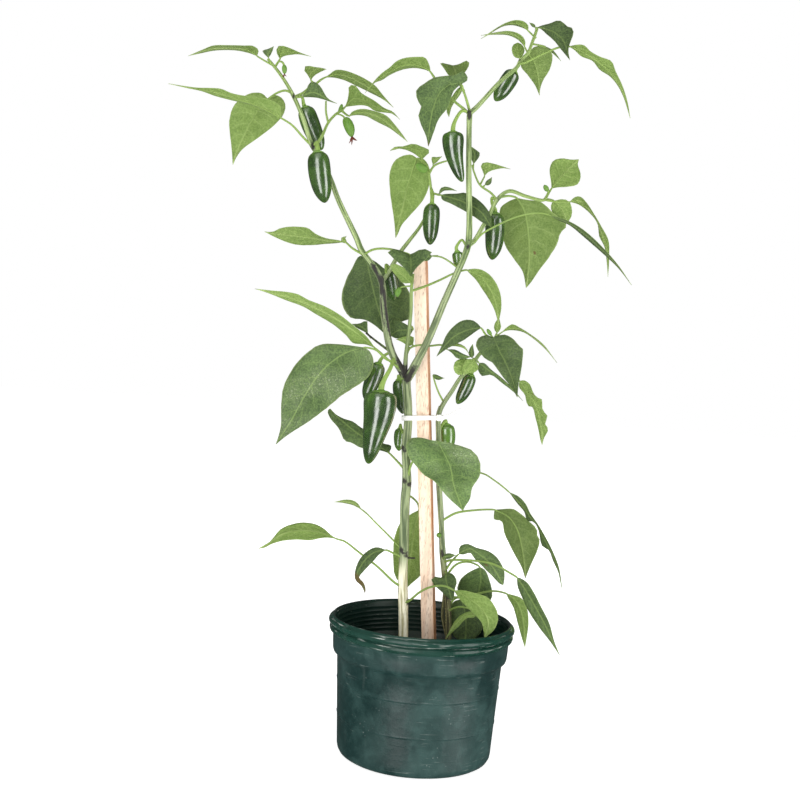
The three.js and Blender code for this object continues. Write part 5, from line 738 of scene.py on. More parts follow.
def run_through(values: Sequence[float], share: float) -> float:
    """Reads a row of values as one line from its first to its last, at a share of the way."""
    place = clamped(share) * (len(values) - 1)
    low = min(int(place), len(values) - 2)
    return mixed(values[low], values[low + 1], place - low)


# ------------------------------------------------------------------------- nodes and finishes


class Value:
    """A socket that takes part in arithmetic: each operation adds its Math node."""

    def __init__(self, tree: "Tree", socket: bpy.types.NodeSocket) -> None:
        """Wraps a socket of a tree's node."""
        self.tree = tree
        self.socket = socket

    def _math(self, operation: str, *operands: "Value | float") -> "Value":
        """Adds a Math node."""
        return self.tree.out("ShaderNodeMath", dict(enumerate(operands)), operation=operation)

    def __add__(self, other: "Value | float") -> "Value":
        """self + other."""
        return self._math("ADD", self, other)

    def __sub__(self, other: "Value | float") -> "Value":
        """self - other."""
        return self._math("SUBTRACT", self, other)

    def __rsub__(self, other: float) -> "Value":
        """other - self."""
        return self._math("SUBTRACT", other, self)

    def __mul__(self, other: "Value | float") -> "Value":
        """self * other."""
        return self._math("MULTIPLY", self, other)

    def __pow__(self, other: float) -> "Value":
        """self ** other."""
        return self._math("POWER", self, other)

    def __abs__(self) -> "Value":
        """abs(self)."""
        return self._math("ABSOLUTE", self)

    __radd__ = __add__
    __rmul__ = __mul__

    def fraction(self) -> "Value":
        """The part after the point."""
        return self._math("FRACT", self)

    def sine(self) -> "Value":
        """The sine of an angle in radians."""
        return self._math("SINE", self)

    def cosine(self) -> "Value":
        """The cosine of an angle in radians."""
        return self._math("COSINE", self)

    def above(self, limit: float) -> "Value":
        """1 where it is over the limit, else 0."""
        return self._math("GREATER_THAN", self, limit)

    def eased(self, low: float, high: float) -> "Value":
        """Eases from 0 at low to 1 at high; low may be the greater."""
        return self.tree.out("ShaderNodeMapRange", {"Value": self, "From Min": low, "From Max": high},
                             interpolation_type="SMOOTHSTEP")


class Tree:
    """Adds nodes to a shader or geometry tree."""

    def __init__(self, tree: bpy.types.NodeTree) -> None:
        """Keeps the tree that nodes are added to."""
        self.tree = tree

    def node(self, kind: str, inputs: dict | None = None, **settings: object) -> bpy.types.Node:
        """Adds one node.

        Args:
            kind: the node's type.
            inputs: its sockets' values or links, by name or number.
            settings: its own settings, set first.

        Returns:
            The node.
        """
        made = self.tree.nodes.new(kind)
        for name, value in settings.items():
            setattr(made, name, value)
        for key, value in (inputs or {}).items():
            self.feed(self._socket(made.inputs, key), value)
        return made

    def out(self, kind: str, inputs: dict | None = None, output: str | int = 0, **settings: object) -> Value:
        """Adds one node and gives one of its outputs, the first if none is named."""
        return Value(self, self._socket(self.node(kind, inputs, **settings).outputs, output))

    @staticmethod
    def _socket(sockets: Sequence[bpy.types.NodeSocket], key: str | int) -> bpy.types.NodeSocket:
        """Finds a socket in use by its number or name."""
        if isinstance(key, int):
            return sockets[key]
        return next(socket for socket in sockets if socket.name == key and socket.enabled)

    def feed(self, socket: bpy.types.NodeSocket, value: object) -> None:
        """Links a socket, or sets its value."""
        if isinstance(value, Value):
            value = value.socket
        if isinstance(value, bpy.types.NodeSocket):
            self.tree.links.new(value, socket)
        elif isinstance(value, tuple) and socket.type == "RGBA":
            socket.default_value = (*value, 1.0)
        else:
            socket.default_value = value

    def attribute(self, name: str) -> Value:
        """Reads a number that is kept on the mesh."""
        return self.out("ShaderNodeAttribute", None, "Fac", attribute_name=name)

    def place(self, stretch: Point = (1.0, 1.0, 1.0)) -> Value:
        """Object coordinates, stretched."""
        where = self.out("ShaderNodeTexCoord", None, "Object")
        return self.out("ShaderNodeMapping", {"Vector": where, "Scale": stretch})

    def noise(self, scale: float, detail: float = 3.0, vector: Value | None = None,
              distortion: float = 0.0) -> Value:
        """Cloudy noise from about 0.25 to 0.75."""
        return self.out("ShaderNodeTexNoise", {"Vector": vector or self.place(), "Scale": scale,
                                               "Detail": detail, "Distortion": distortion})

    def cells(self, scale: float, feature: str = "F1", vector: Value | None = None) -> Value:
        """Distance to the centres of scattered cells, or to their edges."""
        return self.out("ShaderNodeTexVoronoi", {"Vector": vector or self.place(), "Scale": scale},
                        feature=feature)

    def blend(self, share: Value | float, first: Value | Colour, second: Value | Colour) -> Value:
        """Mixes two colours."""
        return self.out("ShaderNodeMix", {"Factor": share, "A": first, "B": second}, "Result",
                        data_type="RGBA")

    def scaled(self, vector: Value, amount: Value) -> Value:
        """Scales a colour or a vector."""
        return self.out("ShaderNodeVectorMath", {"Vector": vector, "Scale": amount}, operation="SCALE")

    def relief(self, height: Value, distance: float, strength: float) -> Value:
        """A normal from a height of 0 to 1 over a distance in metres."""
        return self.out("ShaderNodeBump", {"Height": height, "Distance": distance, "Strength": strength})

    def surface(self, varying: dict[str, object], fixed: dict[str, object]) -> None:
        """Ends the tree in a surface: what varies over it, and what is the same all over."""
        shader = self.out("ShaderNodeBsdfPrincipled", {**fixed, **varying})
        self.node("ShaderNodeOutputMaterial", {"Surface": shader})

    def kept_number(self, name: str) -> Value:
        """Reads a number that is kept on the geometry's points."""
        return self.out("GeometryNodeInputNamedAttribute", {"Name": name}, data_type="FLOAT")

    def keep_number(self, geometry: Value, name: str, value: Value) -> Value:
        """Keeps a number on the geometry's points."""
        inputs = {"Geometry": geometry, "Name": name, "Value": value}
        return self.out("GeometryNodeStoreNamedAttribute", inputs, data_type="FLOAT", domain="POINT")


def new_finish(name: str, colour: Colour) -> tuple[bpy.types.Material, Tree]:
    """Makes an empty material and the tree to fill."""
    material = bpy.data.materials.new(name)
    material.use_nodes = True
    material.node_tree.nodes.clear()
    material.diffuse_color = (*colour, 1.0)
    return material, Tree(material.node_tree)


@dataclass(frozen=True)
class LeafFinish:
    """A pepper leaf: netted with pale veins, paler and duller underneath."""

    top_deep: Colour = linear(60, 80, 46)
    top_light: Colour = linear(94, 118, 66)
    top_vein: Colour = linear(128, 152, 84)
    under_deep: Colour = linear(98, 124, 56)
    under_light: Colour = linear(128, 152, 80)
    under_vein: Colour = linear(166, 186, 116)
    dust: Colour = linear(180, 186, 158)
    dried: Colour = linear(96, 84, 46)
    vein_pairs: float = 7.0
    vein_rise: float = 0.22

    @staticmethod
    def veined(tree: Tree, colours: tuple[Colour, Colour, Colour], light: Value,
               lines: tuple[Value, Value]) -> Value:
        """The colour of one side of a leaf.

        Args:
            tree: the finish's tree.
            colours: the deep and the light green, and that of the veins.
            light: how light the green is, 0 to 1.
            lines: how far the side veins and the midrib show, 0 to 1.

        Returns:
            The colour.
        """
        deep, pale, vein = colours
        colour = tree.blend(light, deep, pale)
        for line in lines:
            colour = tree.blend(line, colour, vein)
        return colour

    def build(self) -> bpy.types.Material:
        """Makes the material."""
        material, tree = new_finish("pepper_leaf", self.top_light)
        split = tree.node("ShaderNodeSeparateXYZ", {"Vector": tree.out("ShaderNodeUVMap", uv_map="blade")})
        across = Value(tree, split.outputs["X"]) * 2.0 - 1.0
        along = Value(tree, split.outputs["Y"])
        reach = abs(across)
        wander = (tree.noise(85.0, 2.0) - 0.5) * 0.5
        phase = (along - (reach ** 1.25) * self.vein_rise) * self.vein_pairs
        phase = phase + across.above(0.0) * 0.5 + wander
        off_vein = abs((phase + 0.5).fraction() - 0.5)
        fade = 1.0 - reach ** 4.0
        vein = off_vein.eased(0.032, 0.0) * fade
        halo = off_vein.eased(0.34, 0.0) * fade
        net = tree.cells(430.0, "DISTANCE_TO_EDGE", tree.place((1.0, 1.0, 0.8))).eased(0.08, 0.0)
        middle = (reach * tree.attribute("half_width")).eased(0.0011, 0.0003)
        clouds = tree.noise(48.0, 5.0).eased(0.36, 0.66)
        mottle = tree.noise(560.0, 3.0).eased(0.36, 0.66)
        light = clouds * 0.3 + mottle * 0.65
        top = self.veined(tree, (self.top_deep, self.top_light, self.top_vein), light,
                          (vein * 0.4 + halo * 0.05 + net * 0.2, middle * 0.55))
        under = self.veined(tree, (self.under_deep, self.under_light, self.under_vein), light,
                            (vein * 0.42 + halo * 0.06 + net * 0.16, middle * 0.7))
        film = tree.noise(38.0, 4.0).eased(0.35, 0.75)
        specks = tree.noise(760.0, 5.0, distortion=0.4).eased(0.54, 0.68) * film
        top = tree.blend(tree.attribute("dust") * (specks * 0.42 + film * 0.1), top, self.dust)
        colour = tree.blend(tree.attribute("underside"), top, under)
        # Painted light and shade: each leaf's colour is scaled up or down by its number, partly its own tone
        # and partly how lit or shaded it lies.
        colour = tree.scaled(colour, tree.attribute("tone") + 1.0)
        edge = reach.eased(0.93, 1.0) * 0.35
        colour = tree.blend(edge, colour, self.under_vein)
        scars = tree.cells(60.0).eased(0.1, 0.06) * tree.noise(23.0).above(0.62)
        dried = tree.attribute("dried") * tree.noise(150.0, 3.0).eased(0.25, 0.5)
        stain = tree.attribute("stain").eased(0.3, 0.7)
        colour = tree.blend(dried + scars * 0.5 + stain, colour, self.dried)
        height = halo * -0.7 + mottle * 0.16 + net * -0.16
        tree.surface({"Base Color": colour, "Roughness": 0.62 - vein * 0.08 + mottle * 0.08,
                      "Normal": tree.relief(height, 0.0006, 0.55)},
                     {"Specular IOR Level": 0.32})
        return material


@dataclass(frozen=True)
class BarkFinish:
    """A pepper stem: striped green, tan and woody at the foot, purple-black at its joints."""

    green: Colour = linear(154, 167, 124)
    deep_green: Colour = linear(80, 96, 62)
    high_green: Colour = linear(168, 186, 128)
    high_deep: Colour = linear(78, 102, 52)
    stalk_green: Colour = linear(140, 168, 84)
    wood: Colour = linear(250, 246, 218)
    bark: Colour = linear(186, 180, 138)
    old_wood: Colour = linear(150, 150, 104)
    old_bark: Colour = linear(54, 52, 30)
    joint: Colour = linear(36, 26, 36)
    stripe_reach: float = 0.004
    stripe_stretch: float = 0.05

    def build(self) -> bpy.types.Material:
        """Makes the material."""
        material, tree = new_finish("pepper_stem", self.green)
        turn = tree.attribute("around") * (2 * math.pi)
        around = tree.out("ShaderNodeCombineXYZ", {
            "X": turn.cosine() * self.stripe_reach, "Y": turn.sine() * self.stripe_reach,
            "Z": tree.attribute("along") * self.stripe_stretch})
        streaks = tree.noise(620.0, 4.0, around).eased(0.4, 0.56)
        clouds = tree.noise(46.0, 3.0).eased(0.3, 0.7)
        light = streaks * 0.8 + clouds * 0.2
        colour = tree.blend(light, self.deep_green, self.green)
        high = tree.blend(light, self.high_deep, self.high_green)
        colour = tree.blend(tree.attribute("paleness"), colour, high)
        colour = tree.blend(tree.attribute("freshness") * (0.7 + streaks * 0.3), colour, self.stalk_green)
        foot = tree.blend(streaks, self.bark, self.wood)
        spots = tree.cells(420.0).eased(0.26, 0.14)
        old_foot = tree.blend((streaks * 0.5 + spots).eased(0.0, 1.0), self.old_bark, self.old_wood)
        foot = tree.blend(tree.attribute("speckled"), foot, old_foot)
        colour = tree.blend(tree.attribute("woody"), colour, foot)
        near = tree.attribute("joint")
        ragged = tree.noise(420.0, 4.0) * 0.9 + streaks * 0.2
        dark = (near + ragged - 0.55).eased(0.22, 0.6) * near.eased(0.04, 0.22)
        colour = tree.blend(dark * 0.92, colour, self.joint)
        tree.surface({"Base Color": colour, "Roughness": 0.5 + streaks * 0.15,
                      "Normal": tree.relief(streaks, 0.0004, 0.6)},
                     {"Specular IOR Level": 0.4})
        return material


@dataclass(frozen=True)
class PodFinish:
    """A pod's skin: glossy, deep green, a little lighter towards its crown and its tip."""

    deep: Colour = linear(34, 62, 16)
    mid: Colour = linear(64, 100, 30)
    bright: Colour = linear(96, 138, 46)

    def build(self) -> bpy.types.Material:
        """Makes the material."""
        material, tree = new_finish("pod_skin", self.deep)
        clouds = tree.noise(70.0, 3.0).eased(0.35, 0.7)
        colour = tree.blend(clouds * 0.7, self.deep, self.mid)
        ends = tree.attribute("pod_end")
        colour = tree.blend(ends * (0.15 + clouds * 0.25), colour, self.bright)
        colour = tree.blend(tree.attribute("pod_bright"), colour, self.bright)
        upright = tree.noise(300.0, 4.0, tree.place((1.0, 1.0, 0.3)))
        dimples = tree.noise(420.0, 3.0)
        dents = tree.noise(110.0, 3.0)
        tree.surface({"Base Color": colour, "Roughness": 0.2 + clouds * 0.08,
                      "Coat Weight": upright.eased(0.36, 0.56) * 0.5 + 0.5,
                      "Normal": tree.relief(dimples * 0.4 + upright * 0.8 + dents * 2.6, 0.0006, 0.7)},
                     {"Specular IOR Level": 0.9, "Coat Roughness": 0.18, "Coat IOR": 2.3})
        return material


@dataclass(frozen=True)
class CapFinish:
    """The fresh green of pod stalks, caps, buds and fruitlets, with dried flowers on some."""

    green: Colour = linear(84, 126, 44)
    pale: Colour = linear(120, 156, 70)
    dried: Colour = linear(112, 52, 40)

    def build(self) -> bpy.types.Material:
        """Makes the material."""
        material, tree = new_finish("fresh_green", self.green)
        clouds = tree.noise(160.0, 3.0).eased(0.3, 0.7)
        colour = tree.blend(clouds * 0.5, self.green, self.pale)
        colour = tree.blend(tree.attribute("rim"), colour, self.pale)
        colour = tree.blend(tree.attribute("dried"), colour, self.dried)
        tree.surface({"Base Color": colour, "Roughness": 0.42 + clouds * 0.12,
                      "Normal": tree.relief(tree.noise(700.0, 3.0), 0.0003, 0.4)},
                     {"Specular IOR Level": 0.45})
        return material


@dataclass(frozen=True)
class PotFinish:
    """Dark green moulded plastic with pale cloudy patches that are partly water marks and partly painted
    sheen, fine level scratches, thin scuffs on its rim that are partly painted highlights along its beads,
    and painted shade on its inner wall.
    """

    plastic: Colour = linear(14, 43, 41)
    # Pale patches: partly water marks, partly painted sheen.
    wear_and_sheen: Colour = linear(54, 83, 79)
    gloss: Colour = linear(10, 54, 38)
    # Pale marks: real scratches and scuffs, and painted highlight lines on the rim's beads.
    scuff_and_glint: Colour = linear(176, 184, 178)
    # Painted shade: the near-black green that the inner wall is darkened to.
    inside: Colour = linear(8, 30, 22)

    def build(self) -> bpy.types.Material:
        """Makes the material."""
        material, tree = new_finish("nursery_pot_plastic", self.plastic)
        clouds = tree.noise(14.0, 6.0, distortion=0.5).eased(0.4, 0.64)
        drifts = tree.noise(44.0, 6.0, distortion=0.6).eased(0.44, 0.62)
        fine = tree.noise(150.0, 5.0).eased(0.4, 0.7)
        # Pale cloudy patches over the plastic: partly water marks, partly painted sheen.
        colour = tree.blend(clouds * 0.36 + drifts * 0.26 + fine * 0.14, self.plastic, self.wear_and_sheen)
        rim = tree.attribute("rim")
        colour = tree.blend(rim * 0.6, colour, self.gloss)
        # Painted shade: the inner wall is darkened, as if shaded by the pot itself.
        colour = tree.blend(tree.attribute("inside") * 0.75, colour, self.inside)
        upright = tree.noise(60.0, 5.0, tree.place((1.0, 1.0, 0.18)), 0.3).eased(0.6, 0.8)
        level = tree.noise(640.0, 3.0, tree.place((0.06, 0.06, 1.0))).eased(0.6, 0.68)
        patches = tree.noise(42.0, 3.0).eased(0.5, 0.62)
        specks = tree.cells(210.0).eased(0.16, 0.08) * tree.noise(33.0).eased(0.54, 0.66)
        # Pale marks: scratches and specks all over; on the rim the level lines are strengthened into painted
        # highlights along the beads.
        marks = (upright * 0.12 + specks * 0.22 + level * patches * (0.12 + rim * 0.55)
                 + tree.attribute("edge_wear") * level * 0.3)
        colour = tree.blend(marks, colour, self.scuff_and_glint)
        rough = 0.36 + clouds * 0.1 - rim * 0.16 + marks * 0.3
        height = fine * 0.5 + level * 0.4 + tree.noise(26.0, 2.0) * 2.0
        tree.surface({"Base Color": colour, "Roughness": rough,
                      "Normal": tree.relief(height, 0.0006, 0.35)},
                     {"Specular IOR Level": 0.5})
        return material


@dataclass(frozen=True)
class SoilFinish:
    """Dark, damp potting mix with pale specks."""

    damp: Colour = linear(20, 15, 11)
    crumb: Colour = linear(48, 38, 29)
    pale: Colour = linear(128, 118, 102)

    def build(self) -> bpy.types.Material:
        """Makes the material."""
        material, tree = new_finish("potting_soil", self.damp)
        clumps = tree.noise(240.0, 6.0).eased(0.35, 0.7)
        colour = tree.blend(clumps, self.damp, self.crumb)
        grit = tree.cells(300.0).eased(0.2, 0.1) * tree.noise(120.0).above(0.56)
        colour = tree.blend(grit * 0.7, colour, self.pale)
        tree.surface({"Base Color": colour, "Roughness": 0.88 + clumps * 0.1,
                      "Normal": tree.relief(clumps + grit, 0.0015, 0.8)},
                     {"Specular IOR Level": 0.08})
        return material


@dataclass(frozen=True)
class StakeFinish:
    """Pale sawn softwood with fine dashes along the grain and a small knot."""

    pale: Colour = linear(250, 230, 210)
    warm: Colour = linear(238, 204, 176)
    amber: Colour = linear(186, 122, 76)
    pore: Colour = linear(150, 104, 78)

    def build(self) -> bpy.types.Material:
        """Makes the material."""
        material, tree = new_finish("sawn_softwood", self.pale)
        bands = tree.noise(150.0, 3.0, tree.place((1.0, 1.0, 0.03)), 0.2).eased(0.3, 0.7)
        dashes = tree.noise(1000.0, 3.0, tree.place((1.0, 1.0, 0.16))).eased(0.53, 0.68)
        colour = tree.blend(bands, self.pale, self.warm)
        colour = tree.blend(tree.attribute("amber_side") * (0.7 + bands * 0.3), colour, self.amber)
        colour = tree.blend(dashes * 0.5 + tree.attribute("knot"), colour, self.pore)
        tree.surface({"Base Color": colour, "Roughness": 0.66 + bands * 0.1,
                      "Normal": tree.relief(1.0 - dashes * 0.8 - bands * 0.2, 0.0004, 0.5)},
                     {"Specular IOR Level": 0.25})
        return material


@dataclass(frozen=True)
class TieFinish:
    """White nylon, a little dusty."""

    nylon: Colour = linear(238, 238, 234)
    dust: Colour = linear(202, 198, 186)

    def build(self) -> bpy.types.Material:
        """Makes the material."""
        material, tree = new_finish("white_nylon", self.nylon)
        film = tree.noise(240.0, 4.0).eased(0.45, 0.75)
        colour = tree.blend(film * 0.5, self.nylon, self.dust)
        tree.surface({"Base Color": colour, "Roughness": 0.34 + film * 0.2,
                      "Normal": tree.relief(film, 0.0001, 0.3)},
                     {"Specular IOR Level": 0.5})
        return material


@dataclass(frozen=True)
class FloorFinish:
    """A plain white floor that glows a little, so that it meets the white air without a line."""

    white: Colour = linear(206, 206, 205)
    glow: float = 0.8

    def build(self) -> bpy.types.Material:
        """Makes the material."""
        material, tree = new_finish("pale_floor", self.white)
        tree.surface({"Base Color": self.white},
                     {"Roughness": 0.9, "Specular IOR Level": 0.0, "Emission Color": (1.0, 1.0, 1.0),
                      "Emission Strength": self.glow})
        return material


# -------------------------------------------------------------------------------- mesh making


@dataclass
class Draft:
    """A mesh under way: points, faces, and numbers and map places kept at each point."""

    points: list[Vector] = field(default_factory=list)
    faces: list[tuple[int, ...]] = field(default_factory=list)
    numbers: dict[str, dict[int, float]] = field(default_factory=dict)
    places: list[tuple[float, float]] = field(default_factory=list)

    def add(self, points: Sequence[Vector], faces: Sequence[tuple[int, ...]],
            numbers: dict[str, Sequence[float]] | None = None,
            places: Sequence[tuple[float, float]] | None = None) -> None:
        """Adds a closed body.

        Args:
            points: its points.
            faces: its faces, counted from its own first point.
            numbers: named numbers, one for each point.
            places: map places, one for each point.
        """
        first = len(self.points)
        self.points.extend(points)
        self.faces.extend(tuple(first + corner for corner in face) for face in faces)
        for name, values in (numbers or {}).items():
            self.numbers.setdefault(name, {}).update((first + i, value) for i, value in enumerate(values))
        self.places.extend(places or [(0.0, 0.0)] * len(points))

    def build(self, name: str, material: bpy.types.Material, uv: str | None = None,
              smooth: bool = True) -> bpy.types.Object:
        """Makes the mesh object, with its faces turned outwards as drawn."""
        mesh = bpy.data.meshes.new(name)
        mesh.from_pydata([tuple(point) for point in self.points], [], self.faces)
        for key, values in self.numbers.items():
            keep_numbers(mesh, key, [values.get(i, 0.0) for i in range(len(self.points))])
        if uv:
            layer = mesh.uv_layers.new(name=uv)
            for loop in mesh.loops:
                layer.data[loop.index].uv = self.places[loop.vertex_index]
        mesh.polygons.foreach_set("use_smooth", [smooth] * len(mesh.polygons))
        mesh.materials.append(material)
        mesh.validate()
        mesh.update()
        return placed(name, mesh)


def tube_faces(rings: int, sides: int) -> list[tuple[int, ...]]:
    """Faces of a tube of point rings, with a fan to a first and a last point.

    The points run: first point, rings one after another, last point.
    """
    def at(ring: int, side: int) -> int:
        return 1 + ring * sides + side % sides

    last = 1 + rings * sides
    faces = [(0, at(0, side + 1), at(0, side)) for side in range(sides)]
    faces += [(at(ring, side), at(ring, side + 1), at(ring + 1, side + 1), at(ring + 1, side))
              for ring in range(rings - 1) for side in range(sides)]
    faces += [(last, at(rings - 1, side), at(rings - 1, side + 1)) for side in range(sides)]
    return faces


def cross_axes(direction: Vector, hint: Vector) -> tuple[Vector, Vector]:
    """Two directions square to a direction, the first as near the hint as can be."""
    first = hint - direction * hint.dot(direction)
    if first.length < 1e-6:
        first = direction.orthogonal()
    first.normalize()
    return first, direction.cross(first).normalized()


def finished(piece: bpy.types.Object, slot: str, *nodes: str) -> None:
    """Rides a piece on the plant's body and hides the solids that it stands for."""
    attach(piece, BODY)
    if nodes:
        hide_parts(*nodes)
    LOG.info("%s: %d faces", piece.name, len(piece.data.polygons))


def keep_modified(piece: bpy.types.Object) -> None:
    """Gives a piece the mesh that its modifiers make of it, as its plain mesh."""
    bpy.context.view_layer.update()
    whole = bpy.data.meshes.new_from_object(piece.evaluated_get(bpy.context.evaluated_depsgraph_get()))
    piece.modifiers.clear()
    piece.data = whole
    whole.name = piece.name


def baked_nodes(piece: bpy.types.Object, group: bpy.types.NodeTree,
                inputs: dict[str, object]) -> bpy.types.Object:
    """Runs a Geometry Nodes tree on a piece and keeps the result as its plain mesh.

    Args:
        piece: the object that the tree reads.
        group: the tree.
        inputs: the tree's inputs by name.

    Returns:
        The same object with its new mesh.
    """
    modifier = piece.modifiers.new(group.name, "NODES")
    modifier.node_group = group
    for item in group.interface.items_tree:
        if item.in_out == "INPUT" and item.name in inputs:
            modifier[item.identifier] = inputs[item.name]
    keep_modified(piece)
    return piece


class GeometryTree(Tree):
    """A Geometry Nodes tree with named inputs, that ends in one finish."""

    def __init__(self, name: str, sockets: dict[str, str]) -> None:
        """Makes the tree's inputs and output.

        Args:
            name: the tree's name.
            sockets: the inputs after the geometry, name to socket type.
        """
        super().__init__(bpy.data.node_groups.new(name, "GeometryNodeTree"))
        face = self.tree.interface
        face.new_socket("Geometry", in_out="INPUT", socket_type="NodeSocketGeometry")
        face.new_socket("Geometry", in_out="OUTPUT", socket_type="NodeSocketGeometry")
        for key, kind in {**sockets, "Finish": "NodeSocketMaterial"}.items():
            face.new_socket(key, in_out="INPUT", socket_type=kind)
        self.inputs = self.node("NodeGroupInput").outputs
        self.result = self.node("NodeGroupOutput")

    def given(self, name: str) -> Value:
        """One of the tree's own inputs."""
        return Value(self, self.inputs[name])

    def end(self, geometry: Value) -> None:
        """Makes all instances real and gives the whole its finish."""
        solid = self.out("GeometryNodeRealizeInstances", {"Geometry": geometry})
        self.feed(self.result.inputs["Geometry"], self.out(
            "GeometryNodeSetMaterial", {"Geometry": solid, "Material": self.given("Finish")}))


def bar_tree() -> bpy.types.NodeTree:
    """Builds the tree that turns polylines into round, ribbed bars."""
    tree = GeometryTree("bars_along_paths", {
        "Sides": "NodeSocketInt", "Rib Count": "NodeSocketFloat", "Rib Depth": "NodeSocketFloat"})
    length = tree.out("GeometryNodeSplineParameter", None, "Length")
    path = tree.out("GeometryNodeMeshToCurve", {"Mesh": tree.given("Geometry")})
    path = tree.keep_number(path, "along", length)
    share = tree.out("GeometryNodeSplineParameter", None, "Factor")
    circle = tree.out("GeometryNodeCurvePrimitiveCircle", {"Resolution": tree.given("Sides"), "Radius": 1.0},
                      mode="RADIUS")
    profile = tree.keep_number(circle, "around", share)
    ribs = (share * tree.given("Rib Count") * (2 * math.pi)).cosine() * tree.given("Rib Depth")
    offset = tree.scaled(tree.out("GeometryNodeInputPosition"), ribs)
    profile = tree.out("GeometryNodeSetPosition", {"Geometry": profile, "Offset": offset})
    bars = tree.out("GeometryNodeCurveToMesh", {
        "Curve": path, "Profile Curve": profile, "Scale": tree.kept_number("bar_radius"), "Fill Caps": True})
    tree.end(tree.out("GeometryNodeSetShadeSmooth", {"Geometry": bars}))
    return tree.tree


class Bars:
    """Polylines with a radius and other numbers at each point, to be turned into bars."""

    def __init__(self) -> None:
        """Starts with none."""
        self.points: list[Vector] = []
        self.edges: list[tuple[int, int]] = []
        self.numbers: dict[str, list[float]] = {}

    def add(self, points: Sequence[Vector], numbers: dict[str, Sequence[float]]) -> None:
        """Adds one polyline with its numbers; bar_radius is in metres."""
        first = len(self.points)
        self.edges.extend((first + i, first + i + 1) for i in range(len(points) - 1))
        for name, values in numbers.items():
            self.numbers.setdefault(name, [0.0] * first).extend(values)
        self.points.extend(points)
        for values in self.numbers.values():
            values.extend([0.0] * (len(self.points) - len(values)))

    def build(self, name: str, group: bpy.types.NodeTree, inputs: dict[str, object]) -> bpy.types.Object:
        """Makes the bars as one piece."""
        mesh = bpy.data.meshes.new(name)
        mesh.from_pydata([tuple(point) for point in self.points], self.edges, [])
        for key, values in self.numbers.items():
            keep_numbers(mesh, key, values)
        return baked_nodes(placed(name, mesh), group, inputs)


# --------------------------------------------------------------------------------- the plant


@dataclass(frozen=True)
class Half:
    """Half a blade: the way that it points, its reach and extra depth, and its edge where it is drawn."""

    way: int
    reach: float
    deeper: float
    edge: SmoothWay | None

    def out(self, centre: Vector, heading: Vector, along: float, width: float) -> Vector:
        """The step from the rib to the edge, in the picture.

        Args:
            centre: the rib's point.
            heading: the rib's direction there.
            along: the share of the rib's length.
            width: the width there, 0 to 1, for an edge that isn't drawn.

        Returns:
            (columns, rows).
        """
        if self.edge:
            place = self.edge.at(along)
            return Vector((place.x - centre.x, place.y - centre.y))
        return Vector((heading.y, -heading.x)).normalized() * (self.way * self.reach * width)


